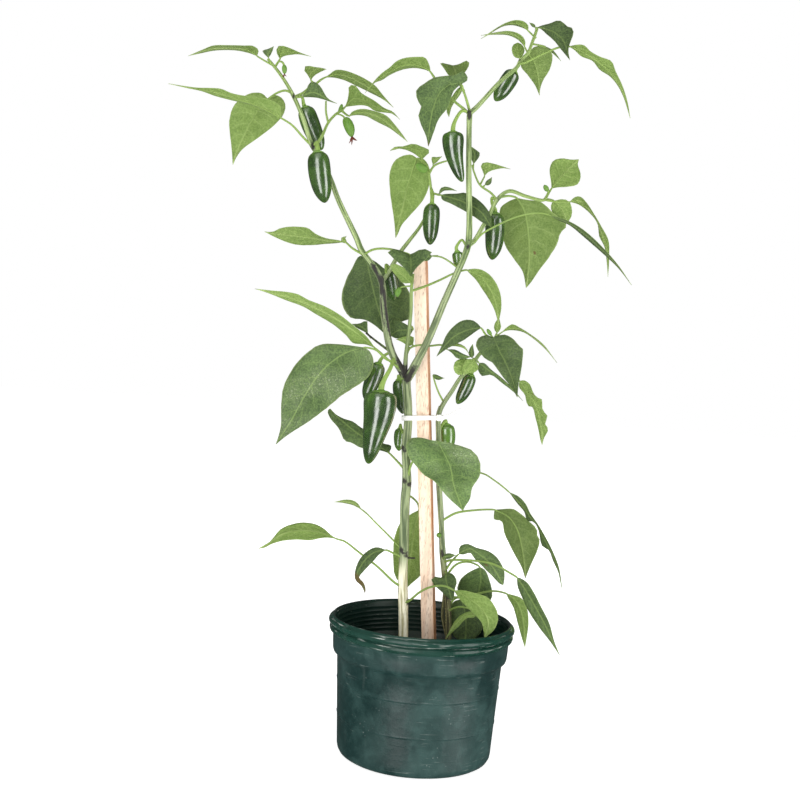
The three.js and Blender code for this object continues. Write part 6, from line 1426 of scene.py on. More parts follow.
@dataclass
class Blades:
    """The leaves' blades: thin closed shells, crowned between their veins and waved at the edge."""

    thickness: float = 0.5
    edge_thickness: float = 0.26
    row_step: float = 3.2
    across_step: float = 2.4
    quilting: float = 0.09
    blister: float = 0.42
    broad_half: float = 12.0
    broad_shoulder: float = 0.38
    narrow_shoulder: float = 0.75
    row_limits: tuple[int, int] = (9, 44)
    across_limits: tuple[int, int] = (3, 9)
    end_gap: float = 0.004
    row_crowding: float = 0.45
    wave_share: float = 0.07
    half_waves: int = 5
    coarse_tooth: float = 0.03
    fine_tooth: float = 0.022
    edge_curl: float = 0.05
    full_blister_reach: float = 14.0
    tip_draw: float = 1.3
    usual_dust: float = 0.12
    dried_ease: float = 0.06
    veins: LeafFinish = field(default_factory=LeafFinish)

    def width_at(self, along: float, peak: float, shoulder: float) -> float:
        """The blade's width, 0 to 1: round shoulders at the base and a drawn-out tip."""
        if along < peak:
            return math.sin(math.pi / 2 * along / peak) ** shoulder
        return max(0.0, math.cos(math.pi / 2 * (along - peak) / (1 - peak))) ** self.tip_draw

    def bulge(self, across: float, along: float) -> float:
        """How far the blade stands up between its side veins, 0 to 1."""
        reach = abs(across)
        phase = (along - reach ** 1.25 * self.veins.vein_rise) * self.veins.vein_pairs
        if across > 0:
            phase += 0.5
        return abs(math.sin(math.pi * phase)) * (1 - reach ** 3) * smoothstep(0.02, 0.3, reach)

    def halves(self, leaf: Leaf) -> tuple[Half, Half]:
        """The blade's left and right halves."""
        sides = ((1, leaf.left, leaf.left_edge), (-1, leaf.right, leaf.right_edge))
        return tuple(Half(way, *reach, self.drawn(leaf, places) if places else None)
                     for way, reach, places in sides)

    def drawn(self, leaf: Leaf, places: Sequence[tuple[float, float]]) -> SmoothWay:
        """The way of a drawn edge, from the rib's base to its tip."""
        ends = (leaf.rib[0][:2], *places, leaf.rib[-1][:2])
        return SmoothWay([(column, row, 0.0) for column, row in ends])

    def sheet(self, leaf: Leaf) -> tuple[list[list[Vector]], list[list[tuple[float, float]]], list[float]]:
        """Lays the blade's middle sheet.

        Args:
            leaf: the leaf.

        Returns:
            Its rows of points from base to tip, their (across, along), and each row's half width.
        """
        rib = SmoothWay(leaf.rib)
        halves = self.halves(leaf)
        widest = max(leaf.left[0], leaf.right[0])
        shoulder = self.broad_shoulder if widest > self.broad_half else self.narrow_shoulder
        rows = clamped(round(rib.length / self.row_step), *self.row_limits)
        half_steps = clamped(round(widest / self.across_step), *self.across_limits)
        lift = 1 if leaf.side is UNDER else -1
        wave = leaf.left[0] * self.wave_share if leaf.wave is None else leaf.wave
        seed = name_number(leaf.name) * 0.37
        shares = [step / half_steps for step in range(half_steps, -half_steps - 1, -1)]
        points, marks, widths = [], [], []
        for row in range(rows + 1):
            step = row / rows
            crowded = mixed(step, smoothstep(0, 1, step), self.row_crowding)
            along = mixed(self.end_gap, 1 - self.end_gap, crowded)
            centre = rib.at(along)
            heading = rib.heading(along)
            width = self.width_at(along, leaf.peak, shoulder)
            ripple = wave * math.sin(along * math.pi * self.half_waves)
            outs = [half.out(centre, heading, along, width) for half in halves]
            line = []
            for share in shares:
                half, out = (halves[0], outs[0]) if share >= 0 else (halves[1], outs[1])
                part = abs(share)
                coarse = noise.noise(Vector((along * 9, half.way * 3.0, seed)))
                fine = noise.noise(Vector((along * 34, half.way * 7.0, seed)))
                uneven = 1 + part * (self.coarse_tooth * coarse + self.fine_tooth * fine)
                arch = lift * self.quilting * out.length * math.sin(part * math.pi)
                blistered = min(1.0, half.reach / self.full_blister_reach)
                blister = lift * self.blister * blistered * self.bulge(share, along)
                curl = noise.noise(Vector((along * 7, half.way * 5.0, seed + 9)))
                edge = self.edge_curl * half.reach * part ** 2 * curl
                depth = (half.deeper + ripple) * part * width + arch + blister + edge
                line.append(VIEW.seen((centre.x + out.x * part * uneven, centre.y + out.y * part * uneven,
                                       centre.z + depth)))
            points.append(line)
            marks.append([(share, along) for share in shares])
            widths.append((outs[0].length + outs[1].length) / 2 * MM)
        return points, marks, widths

    def skins(self, rows: Sequence[Sequence[Vector]],
              marks: Sequence[Sequence[tuple[float, float]]]) -> tuple[list[Vector], list[Vector]]:
        """The blade's front and back, half its thickness to each side of its middle sheet."""
        front, back = [], []
        for r, row in enumerate(rows):
            for c, point in enumerate(row):
                along = rows[min(r + 1, len(rows) - 1)][c] - rows[max(r - 1, 0)][c]
                over = row[min(c + 1, len(row) - 1)] - row[max(c - 1, 0)]
                normal = along.cross(over)
                normal = normal.normalized() if normal.length > 1e-12 else Vector((0, -1, 0))
                thick = mixed(self.thickness, self.edge_thickness, abs(marks[r][c][0])) / 2 * MM
                front.append(point - normal * thick)
                back.append(point + normal * thick)
        return front, back

    @staticmethod
    def shell_faces(count: int, across: int) -> list[tuple[int, ...]]:
        """Faces of a closed shell.

        Args:
            count: its rows.
            across: the points in a row; the front's points come first, then the back's.

        Returns:
            The front's faces, the back's, and those of the rim between them.
        """
        total = count * across
        grid = [(r * across + c, (r + 1) * across + c, (r + 1) * across + c + 1, r * across + c + 1)
                for r in range(count - 1) for c in range(across - 1)]
        rim = [*range(across), *(r * across + across - 1 for r in range(1, count)),
               *((count - 1) * across + c for c in range(across - 2, -1, -1)),
               *(r * across for r in range(count - 2, 0, -1))]
        faces = [face[::-1] for face in grid] + [tuple(total + corner for corner in face) for face in grid]
        return faces + [(b, a, total + a, total + b) for a, b in zip(rim, rim[1:] + rim[:1])]

    @staticmethod
    def stains(leaf: Leaf, points: Sequence[Vector]) -> list[float]:
        """How stained each point is: 1 at the one nearest the leaf's spot, else 0."""
        stains = [0.0] * len(points)
        if leaf.name in LEAF_SPOTS:
            gaps = [VIEW.miss(point, LEAF_SPOTS[leaf.name]) for point in points]
            stains[gaps.index(min(gaps))] = 1.0
        return stains

    def add(self, draft: Draft, leaf: Leaf) -> None:
        """Adds a leaf's blade to a draft."""
        rows, marks, widths = self.sheet(leaf)
        front, back = self.skins(rows, marks)
        total, across = len(front), len(rows[0])
        dried_from = DRIED_LEAVES.get(leaf.name, 2.0)
        flat = [mark for row in marks for mark in row]
        under = 1.0 if leaf.side is UNDER else 0.0
        numbers = {
            "underside": [under] * total + [1 - under] * total,
            "tone": [LEAF_TONES_AND_SHADE.get(leaf.name, 0.0)] * (2 * total),
            "dust": [DUSTY_LEAVES.get(leaf.name, self.usual_dust)] * (2 * total),
            "dried": [smoothstep(dried_from, dried_from + self.dried_ease, along) for _, along in flat] * 2,
            "stain": self.stains(leaf, [point for row in rows for point in row]) * 2,
            "half_width": [widths[i // across] for i in range(total)] * 2,
        }
        places = [(share / 2 + 0.5, along) for share, along in flat] * 2
        draft.add(front + back, self.shell_faces(len(rows), across), numbers, places)


@dataclass
class Stems:
    """Stems, leaf stalks and ribs, and pod stalks: round bars with thick dark joints."""

    soil_top: float = 96.0
    root_depth: float = 42.0
    step: float = 3.0
    stalk_radius: float = 1.05
    thin_stalk_radius: float = 0.85
    small_leaf: float = 6.0
    stalk_step: float = 2.5
    stalk_widths: tuple[float, float] = (1.15, 0.85)
    rib_lift: float = 0.35
    rib_shares: tuple[float, ...] = (0.05, 0.2, 0.4, 0.6, 0.8, 0.93)
    pod_stalk_step: float = 1.6
    pod_stalk_widths: tuple[float, ...] = (0.8, 0.85, 0.9, 1.05, 1.4)
    joint_swell: float = 0.16
    girth: float = 0.93
    joint_room: float = 0.003
    woody_foot: float = 172.0
    woody_top: float = 202.0
    fresh_from: float = 2.4
    fresh_to: float = 1.2
    pale_from: float = 455.0
    pale_to: float = 510.0
    tree: bpy.types.NodeTree = field(default_factory=bar_tree)
    joints: list[tuple[float, float, Vector, Vector]] = field(default_factory=lambda: [
        (strength, reach * MM, VIEW.seen(start), VIEW.seen(end))
        for strength, reach, stroke in JOINTS for start, end in zip(stroke, stroke[1:])])

    def near_joint(self, place: Vector, room: float = 0.0) -> float:
        """How near a place is to a joint's dark stroke, 0 to 1, with the stroke's strength.

        Args:
            place: the place.
            room: what is added to each stroke's reach, in metres.

        Returns:
            The share.
        """
        nearest = 0.0
        for strength, reach, start, end in self.joints:
            span = end - start
            share = clamped((place - start).dot(span) / span.length_squared)
            gap = (place - start - span * share).length / (reach + room)
            if gap < 3:
                nearest = max(nearest, strength * math.exp(-gap ** 2))
        return nearest

    def mark_joints(self, wood: bpy.types.Object) -> None:
        """Keeps at each point of a piece how near it is to a joint."""
        keep_numbers(wood.data, "joint", [self.near_joint(vertex.co) for vertex in wood.data.vertices])

    def stem_way(self, stem: Stem) -> SmoothWay:
        """The way of a stem, with its buried foot where it has roots."""
        points = [VIEW.seen(point) for point in stem.points]
        if stem.roots:
            rim = points[0]
            points = [Vector((rim.x, rim.y, (self.soil_top - self.root_depth) * MM)),
                      Vector((rim.x, rim.y, self.soil_top * MM)), *points]
        return SmoothWay(points)

    def add_stem(self, bars: Bars, stem: Stem, second: bool) -> None:
        """Adds one stem; the second plant's is speckled."""
        way = self.stem_way(stem)
        count = max(6, round(way.length / (self.step * MM)))
        points = way.sampled(count)
        swell = [self.near_joint(point, self.joint_room) for point in points]
        radii = [run_through(stem.radii, i / count) * self.girth * MM * (1 + self.joint_swell * swell[i])
                 for i in range(count + 1)]
        low = [1 - smoothstep(self.woody_foot * MM, self.woody_top * MM, point.z) for point in points]
        bars.add(points, {
            "bar_radius": radii,
            "woody": low,
            "speckled": [1.0 if second else 0.0] * (count + 1),
            "freshness": [0.9 * smoothstep(self.fresh_from, self.fresh_to, radius / MM) for radius in radii],
            "paleness": [smoothstep(self.pale_from * MM, self.pale_to * MM, point.z) for point in points],
        })

    def add_stalk(self, bars: Bars, leaf: Leaf) -> None:
        """Adds a leaf's stalk and its midrib, which thins out to the tip on the underside."""
        rib = SmoothWay(leaf.rib)
        small = max(leaf.left[0], leaf.right[0]) < self.small_leaf
        radius = (self.thin_stalk_radius if small else self.stalk_radius) * MM
        lift = -1 if leaf.side is UNDER else 1
        ribs = [rib.at(share) + Vector((0, 0, lift * self.rib_lift)) for share in self.rib_shares]
        way = seen_way((*leaf.stalk, leaf.rib[0], *ribs))
        stalk = seen_way((*leaf.stalk, leaf.rib[0]))
        turn = stalk.length / way.length
        count = max(8, round(way.length / (self.stalk_step * MM)))
        in_blade = 0.75 if leaf.side is UNDER else 0.5
        shares = [i / count for i in range(count + 1)]
        thin = [mixed(*self.stalk_widths, share / turn) if share < turn
                else mixed(in_blade, 0.2, ((share - turn) / (1 - turn)) ** 0.6) for share in shares]
        radii = [radius * value for value in thin]
        bars.add(way.sampled(count), {"bar_radius": radii, "freshness": [1.0] * (count + 1)})

    def add_pod_stalk(self, bars: Bars, pod: Pod, neck: Vector, cap: Vector, thick: float) -> None:
        """Adds a pod's stalk, which thickens towards its cap."""
        way = SmoothWay([*(VIEW.seen(point) for point in pod.stalk), neck, cap])
        count = max(8, round(way.length / (self.pod_stalk_step * MM)))
        radii = [run_through(self.pod_stalk_widths, i / count) * thick * MM for i in range(count + 1)]
        bars.add(way.sampled(count), {"bar_radius": radii, "freshness": [1.2] * (count + 1)})


@dataclass
class Pods:
    """Pods with their star-shaped caps, and the fruitlets, buds and dried flowers."""

    sides: int = 28
    clearance: float = 0.35
    unevenness: float = 0.022
    cap_reach: float = 0.46
    cap_sides: int = 36
    cap_lobing: float = 0.14
    six_lobed_from: float = 15.0
    fruitlet_sides: int = 16
    fruitlet_stalk_widths: tuple[float, ...] = (0.75, 0.75, 0.9, 1.1, 1.6)
    petals: int = 7
    cap_height: float = 2.2
    profile: tuple[tuple[float, float], ...] = (
        (0.0, 0.5), (0.02, 0.66), (0.05, 0.8), (0.09, 0.9), (0.15, 0.97), (0.25, 1.0), (0.38, 1.0),
        (0.5, 0.965), (0.6, 0.925), (0.7, 0.855), (0.78, 0.765), (0.85, 0.64), (0.91, 0.48),
        (0.955, 0.33), (0.985, 0.18),
    )
    tapered_profile: tuple[tuple[float, float], ...] = (
        (0.0, 0.6), (0.015, 0.78), (0.04, 0.91), (0.08, 0.975), (0.14, 1.0), (0.2, 0.985), (0.28, 0.945),
        (0.38, 0.87), (0.48, 0.785), (0.58, 0.7), (0.68, 0.615), (0.78, 0.52), (0.87, 0.41),
        (0.94, 0.28), (0.985, 0.15),
    )
    fruitlet_profile: tuple[tuple[float, float], ...] = (
        (0.02, 0.5), (0.12, 0.8), (0.3, 0.98), (0.5, 1.0), (0.7, 0.88), (0.86, 0.62), (0.96, 0.32),
    )

    def rings(self, way: SmoothWay, diameter: float, profile: Sequence[tuple[float, float]], sides: int,
              seed: float, uneven: float) -> tuple[list[Vector], list[float]]:
        """Rings of points round an axis, with a first and a last point.

        Args:
            way: the axis.
            diameter: the widest width in mm.
            profile: (share of the length, share of the width) pairs.
            sides: points in a ring.
            seed: sets the unevenness.
            uneven: its size as a share of the radius.

        Returns:
            The points, and how far along the axis each lies.
        """
        across = VIEW.right
        points, along = [way.at(0.0)], [0.0]
        for share, width in profile:
            heading = way.heading(share)
            across, up = cross_axes(heading, across)
            for angle in turns(sides):
                lump = noise.noise(Vector((math.cos(angle), math.sin(angle), share * 2.2 + seed)))
                lobes = 1 + uneven * (lump + 0.5 * math.cos(3 * angle + seed))
                radius = diameter / 2 * width * lobes * MM
                points.append(way.at(share) + across * math.cos(angle) * radius
                              + up * math.sin(angle) * radius)
                along.append(share)
        points.append(way.at(1.0))
        along.append(1.0)
        return points, along

    def add_pod(self, material: bpy.types.Material, pod: Pod) -> None:
        """Makes one pod's piece."""
        way = seen_way(pod.axis)
        seed = name_number(pod.name) * 0.13
        profile = self.tapered_profile if pod.tapered else self.profile
        points, along = self.rings(way, pod.diameter, profile, self.sides, seed, self.unevenness)
        bright = PALE_PODS.get(pod.name, 0.0)
        draft = Draft()
        draft.add(points, tube_faces(len(profile), self.sides), {
            "pod_end": [max(smoothstep(0.12, 0.0, a), 0.7 * smoothstep(0.85, 1.0, a)) for a in along],
            "pod_bright": [bright] * len(points)})
        piece = draft.build(pod.name, material)
        modifier = piece.modifiers.new("round_off", "SUBSURF")
        modifier.levels = modifier.render_levels = 1
        finished(piece, "pod", pod.name)

    def add_cap(self, draft: Draft, stems: Stems, bars: Bars, pod: Pod) -> None:
        """Adds a pod's cap, with a pale lobed rim, and its stalk."""
        crown = VIEW.seen(pod.axis[0])
        way = seen_way(pod.axis)
        outward = (crown - way.at(0.1)).normalized()
        across, up = cross_axes(outward, VIEW.right)
        reach = pod.diameter / 2 * self.cap_reach
        thick = min(2.2, 0.9 + pod.diameter * 0.04)
        lobes = 5 if pod.diameter < self.six_lobed_from else 6
        drop = reach * 0.22
        lines = [(thick * 0.95, self.cap_height + 2.0, 0.0), (thick * 1.25, self.cap_height + 0.4, 0.0),
                 (reach * 0.5, self.cap_height - 0.4, 0.0), (reach * 0.85, self.cap_height - 1.0, 0.2),
                 (reach * 1.08, 0.9 - drop * 0.4, 0.8), (reach * 1.18, 0.45 - drop, 1.0),
                 (reach * 1.1, self.clearance - drop * 0.9, 1.0), (reach * 0.8, self.clearance, 0.3)]
        points = [crown + outward * (self.cap_height + 2.2) * MM]
        rim = [0.0]
        for radius, height, lobed in lines:
            for angle in turns(self.cap_sides):
                lobing = self.cap_lobing * lobed * (abs(math.cos(angle * lobes / 2)) - 0.5)
                wide = radius * (1 + lobing)
                points.append(crown + (across * math.cos(angle) + up * math.sin(angle)) * wide * MM
                              + outward * height * MM)
                rim.append(lobed)
        points.append(crown + outward * self.clearance * MM)
        rim.append(0.0)
        draft.add(points, [face[::-1] for face in tube_faces(len(lines), self.cap_sides)], {"rim": rim})
        neck = crown + outward * (self.cap_height + 2) * MM
        stems.add_pod_stalk(bars, pod, neck, crown + outward * (self.cap_height * 0.6) * MM, thick)

    def add_fruitlet(self, draft: Draft, bars: Bars, fruitlet: Pod) -> None:
        """Adds a fruitlet or bud with its stalk, its cap's points and, on the larger, a dried flower."""
        way = seen_way(fruitlet.axis)
        seed = fruitlet.diameter * 1.7
        sides, profile = self.fruitlet_sides, self.fruitlet_profile
        points, along = self.rings(way, fruitlet.diameter, profile, sides, seed, 0.03)
        draft.add(points, tube_faces(len(profile), sides),
                  {"rim": [0.3 * (1 - share) for share in along]})
        stalk = seen_way((*fruitlet.stalk, *fruitlet.axis[:2]))
        count = max(6, round(stalk.length / (1.5 * MM)))
        radii = [run_through(self.fruitlet_stalk_widths, i / count) * MM for i in range(count + 1)]
        bars.add(stalk.sampled(count), {"bar_radius": radii, "freshness": [1.2] * (count + 1)})
        if fruitlet.name in DRIED_FLOWERS:
            self.add_dried_flower(draft, way.at(0.97), way.heading(0.99), fruitlet.diameter)

    def add_dried_flower(self, draft: Draft, place: Vector, heading: Vector, size: float) -> None:
        """Adds the shrivelled petals at a fruitlet's end."""
        draw = Random(11)
        across, up = cross_axes(heading, VIEW.right)
        for petal in range(self.petals):
            angle = petal * 0.9 + draw.uniform(-0.3, 0.3)
            sideways = across * math.cos(angle) + up * math.sin(angle)
            reach = (0.35 + draw.uniform(0, 0.3)) * size * MM
            way = SmoothWay([place, place + heading * reach * 0.6 + sideways * reach * 0.3,
                             place + heading * reach * draw.uniform(0.7, 1.1) + sideways * reach * 0.8])
            points, _ = self.rings(way, size * 0.16, ((0.05, 0.7), (0.5, 1.0), (0.9, 0.4)), 6, petal, 0.3)
            draft.add(points, tube_faces(3, 6), {"dried": [1.0] * len(points)})


@dataclass
class Pepper:
    """The two stems with everything that grows on them."""

    stems: Stems = field(default_factory=Stems)
    blades: Blades = field(default_factory=Blades)
    pods: Pods = field(default_factory=Pods)

    def build(self) -> None:
        """Makes each stem's wood, leaves and caps, and the pods."""
        bark = BarkFinish().build()
        leaf_skin = LeafFinish().build()
        fresh = CapFinish().build()
        pod_skin = PodFinish().build()
        for name, parts in STEMS.items():
            self.build_stem(name, parts, bark, leaf_skin, fresh)
        for pod in PODS:
            self.pods.add_pod(pod_skin, pod)

    def build_stem(self, name: str, parts: Sequence[Stem], bark: bpy.types.Material,
                   leaf_skin: bpy.types.Material, fresh: bpy.types.Material) -> None:
        """Makes the pieces that stand for one stem's node."""
        bars, blades, caps = Bars(), Draft(), Draft()
        for part in parts:
            self.stems.add_stem(bars, part, name.startswith("second"))
        for leaf in LEAVES[name]:
            self.stems.add_stalk(bars, leaf)
            self.blades.add(blades, leaf)
        for pod in PODS:
            if pod.stem == name:
                self.pods.add_cap(caps, self.stems, bars, pod)
        for fruitlet in FRUITLETS:
            if fruitlet.stem == name:
                self.pods.add_fruitlet(caps, bars, fruitlet)
        wood = bars.build(f"{name}_wood", self.stems.tree,
                          {"Sides": 14, "Rib Count": 5.0, "Rib Depth": 0.05, "Finish": bark})
        self.stems.mark_joints(wood)
        finished(wood, "stem", name)
        if blades.points:
            finished(blades.build(f"{name}_leaves", leaf_skin, "blade"), "leaf", name)
        if caps.points:
            finished(caps.build(f"{name}_caps", fresh), "stem", name)


@dataclass
class NurseryPot:
    """The moulded pot: a step under a band, a double-beaded rim, ribs inside, and a mould seam."""

    height: float = 136.0
    wall: float = 2.0
    floor: float = 3.0
    base_radius: float = 70.0
    body_bottom_radius: float = 77.0
    body_top_radius: float = 82.5
    band_radius: float = 87.0
    rim_radius: float = 93.0
    band_bottom: float = 98.0
    bead_radius: float = 3.2
    ridge_heights: tuple[float, float] = (39.5, 73.4)
    drain_holes: int = 4
    drain_radius: float = 5.0
    drain_circle: float = 52.0
    drain_sides: int = 24
    inner_ribs: int = 12
    rib_depth: float = 0.55
    segments: int = 168
    seam_angle: float = -1.27
    seam_rise: float = 0.22

    def body_radius(self, height: float) -> float:
        """The outer radius of the wall below the band."""
        return mixed(self.body_bottom_radius, self.body_top_radius, (height - 8) / (self.band_bottom - 8))

    def bead(self, radius: float, height: float) -> list[tuple[float, float, float]]:
        """A rounded bead seen in section."""
        angles = [math.radians(-80 + step * 20) for step in range(9)]
        return [(radius - self.bead_radius + math.cos(a) * self.bead_radius,
                 height + math.sin(a) * self.bead_radius, 1.0) for a in angles]

    def profile(self) -> list[tuple[float, float, float]]:
        """The section from the underside's centre, up the outside and down the inside.

        Returns:
            (radius, height, how much of it is rim) for each point.
        """
        base, body, top = self.base_radius, self.body_radius, self.body_top_radius
        band, step_up, rim, lip = self.band_radius, self.band_bottom, self.rim_radius, self.height
        outside = [(0.4, 0, 0), (25, 0, 0), (50, 0, 0), (base - 4, 0, 0), (base - 3, 0.5, 0), (base, 0.5, 0),
                   (base + 2.4, 0.7, 0), (base + 4.8, 2.2, 0), (base + 6.4, 5, 0),
                   (self.body_bottom_radius, 8, 0)]
        for low, high in zip((14.0, 45.0), self.ridge_heights):
            outside += [(body(low), low, 0), (body(high - 8), high - 8, 0)]
            outside += [(body(high + gap) + 0.4 * math.exp(-(gap / 0.7) ** 2), high + gap, 0)
                        for gap in (-1.8, -1.2, -0.8, -0.4, 0, 0.4, 0.8, 1.2, 1.8)]
        outside += [(body(80), 80, 0), (top, step_up - 1, 0), (top + 0.6, step_up, 0),
                    (band - 2, step_up + 1.6, 0), (band - 0.6, step_up + 3, 0), (band, step_up + 5, 0),
                    (band + 0.6, lip - 25, 0), (band + 1, lip - 17, 0.2)]
        outside += self.bead(rim - 1.2, lip - 12.5) + self.bead(rim, lip - 5.2)
        inside = [(rim - 3.4, lip - 0.7, 1), (rim - 4, lip, 1), (rim - 5, lip, 1), (rim - 6, lip - 0.6, 1),
                  (rim - 7, lip - 4, 0.8)]
        for step in range(41):
            share = step / 40
            rib = self.rib_depth * max(0.0, math.sin(share * math.pi * self.inner_ribs)) ** 2
            inside.append((mixed(rim - 7.4, band - self.wall, share) - rib,
                           mixed(lip - 6, step_up + 4, share), 0.3))
        inside += [(top - self.wall, step_up, 0), (body(40) - self.wall, 40, 0), (body(8) - self.wall, 8, 0),
                   (base + 2, self.floor, 0), (30, self.floor, 0), (0.4, self.floor, 0)]
        return outside + inside

    def build(self) -> None:
        """Makes the pot."""
        profile = self.profile()
        outer = next(i for i, row in enumerate(profile) if row[:2] == (self.rim_radius - 4, self.height))
        points, rim, wear, inside = [Vector((0, 0, profile[0][1] * MM))], [0.0], [0.0], [0.0]
        for index, (radius, height, rimmed) in enumerate(profile):
            for angle in turns(self.segments):
                gap = (angle - self.seam_angle + math.pi) % (2 * math.pi) - math.pi
                seamed = height > 1 and index < outer
                seam = self.seam_rise * math.exp(-(gap * radius / 1.1) ** 2) if seamed else 0.0
                spot = Vector((math.cos(angle) * 1.3, math.sin(angle) * 1.3, height * 0.012))
                sag = 0.5 * noise.noise(spot)
                shrink = 1.0 if radius > 60 and height > 6 else 0.0
                place = (radius + seam + sag * shrink * 0.6) * MM
                points.append(Vector((math.cos(angle) * place, math.sin(angle) * place, height * MM)))
                rim.append(rimmed)
                # Band step, rim and base get scuff lines: real edge wear, and on the rim also painted
                # highlight lines.
                wear_and_sheen = abs(height - self.band_bottom - 2) < 3 or rimmed > 0.5 or height < 6
                wear.append(0.8 if wear_and_sheen and index < outer + 3 else 0.0)
                inside.append(1.0 if index > outer else 0.0)
        points.append(Vector((0, 0, self.floor * MM)))
        rim.append(0.0)
        wear.append(0.0)
        inside.append(1.0)
        draft = Draft()
        draft.add(points, tube_faces(len(profile), self.segments),
                  {"rim": rim, "edge_wear": wear, "inside": inside})
        pot = draft.build("nursery_pot", PotFinish().build())
        self.pierce(pot)
        finished(pot, "pot", "pot")

    def pierce(self, pot: bpy.types.Object) -> None:
        """Cuts the drain holes through the floor."""
        draft = Draft()
        levels = (-4.0, self.floor * 2)
        for turn in turns(self.drain_holes):
            centre = Vector((math.cos(turn), math.sin(turn), 0)) * self.drain_circle
            rings = [Vector((centre.x + math.cos(a) * self.drain_radius,
                             centre.y + math.sin(a) * self.drain_radius, z)) * MM
                     for z in levels for a in turns(self.drain_sides)]
            ends = [Vector((centre.x, centre.y, z)) * MM for z in levels]
            draft.add([ends[0], *rings, ends[1]], tube_faces(len(levels), self.drain_sides))
        cutter = draft.build("drain_cutter", pot.data.materials[0], smooth=False)
        modifier = pot.modifiers.new("drain_holes", "BOOLEAN")
        modifier.operation = "DIFFERENCE"
        modifier.solver = "EXACT"
        modifier.object = cutter
        keep_modified(pot)
        bpy.data.objects.remove(cutter)


def crumb_tree() -> bpy.types.NodeTree:
    """Builds the tree that scatters crumbs over the soil."""
    tree = GeometryTree("scattered_crumbs", {
        "Density": "NodeSocketFloat", "Smallest": "NodeSocketFloat", "Largest": "NodeSocketFloat"})
    spots = tree.out("GeometryNodeDistributePointsOnFaces", {
        "Mesh": tree.given("Geometry"), "Selection": tree.kept_number("soil_top").above(0.5),
        "Density": tree.given("Density"), "Seed": 4}, distribute_method="RANDOM")
    crumb = tree.out("GeometryNodeMeshIcoSphere", {"Radius": 1.0, "Subdivisions": 1})
    size = tree.out("FunctionNodeRandomValue", {
        "Min": tree.given("Smallest"), "Max": tree.given("Largest"), "Seed": 7}, "Value", data_type="FLOAT")
    flat, turn = (tree.out("FunctionNodeRandomValue", {"Min": low, "Max": high, "Seed": seed},
                           data_type="FLOAT_VECTOR")
                  for low, high, seed in (((0.5, 0.5, 0.4), (1.5, 1.0, 0.9), 9),
                                          ((-0.6, -0.6, 0.0), (0.6, 0.6, 6.28), 3)))
    turned = tree.out("FunctionNodeEulerToRotation", {"Euler": turn})
    strewn = tree.out("GeometryNodeInstanceOnPoints", {
        "Points": spots, "Instance": crumb, "Rotation": turned, "Scale": tree.scaled(flat, size)})
    both = tree.node("GeometryNodeJoinGeometry")
    tree.feed(both.inputs[0], strewn)
    tree.feed(both.inputs[0], tree.given("Geometry"))
    tree.end(Value(tree, both.outputs[0]))
    return tree.tree


@dataclass
class Soil:
    """The potting mix that fills the pot, with its crumbs."""

    top: float = 96.0
    relief: float = 2.2
    foot: float = 3.35
    foot_radius: float = 70.5
    low_radius: float = 74.3
    top_radius: float = 79.7
    rings: int = 34
    segments: int = 96
    crumb_density: float = 130000.0
    smallest_crumb: float = 0.0005
    largest_crumb: float = 0.0019

    def height(self, x: float, y: float) -> float:
        """The height of the soil's uneven top."""
        waves = math.sin(x * 0.11 + 1) * math.cos(y * 0.13) - 0.5 * math.sin(x * 0.05 + y * 0.09)
        lumps = noise.noise(Vector((x, y, 0)) * 0.16) * 0.5 + noise.noise(Vector((x, y, 5)) * 0.45) * 0.25
        return self.top + self.relief * (waves + lumps)

    def build(self) -> None:
        """Makes the soil."""
        points, top = [Vector((0, 0, self.foot * MM))], [0.0]
        lower = [(self.foot_radius * 0.5, self.foot), (self.foot_radius, self.foot), (self.low_radius, 9.0)]
        upper = [self.top_radius * (1 - step / (self.rings + 1)) for step in range(self.rings + 1)]
        for radius, height in lower + [(radius, None) for radius in upper]:
            for angle in turns(self.segments):
                x, y = math.cos(angle) * radius, math.sin(angle) * radius
                points.append(Vector((x, y, self.height(x, y) if height is None else height)) * MM)
                top.append(1.0 if height is None and radius < self.top_radius - 1 else 0.0)
        points.append(Vector((0, 0, self.height(0, 0) * MM)))
        top.append(1.0)
        draft = Draft()
        draft.add(points, tube_faces(len(lower) + len(upper), self.segments), {"soil_top": top})
        finish = SoilFinish().build()
        soil = draft.build("potting_mix", finish)
        soil = baked_nodes(soil, crumb_tree(), {
            "Density": self.crumb_density, "Smallest": self.smallest_crumb, "Largest": self.largest_crumb,
            "Finish": finish})
        finished(soil, "soil", "soil")


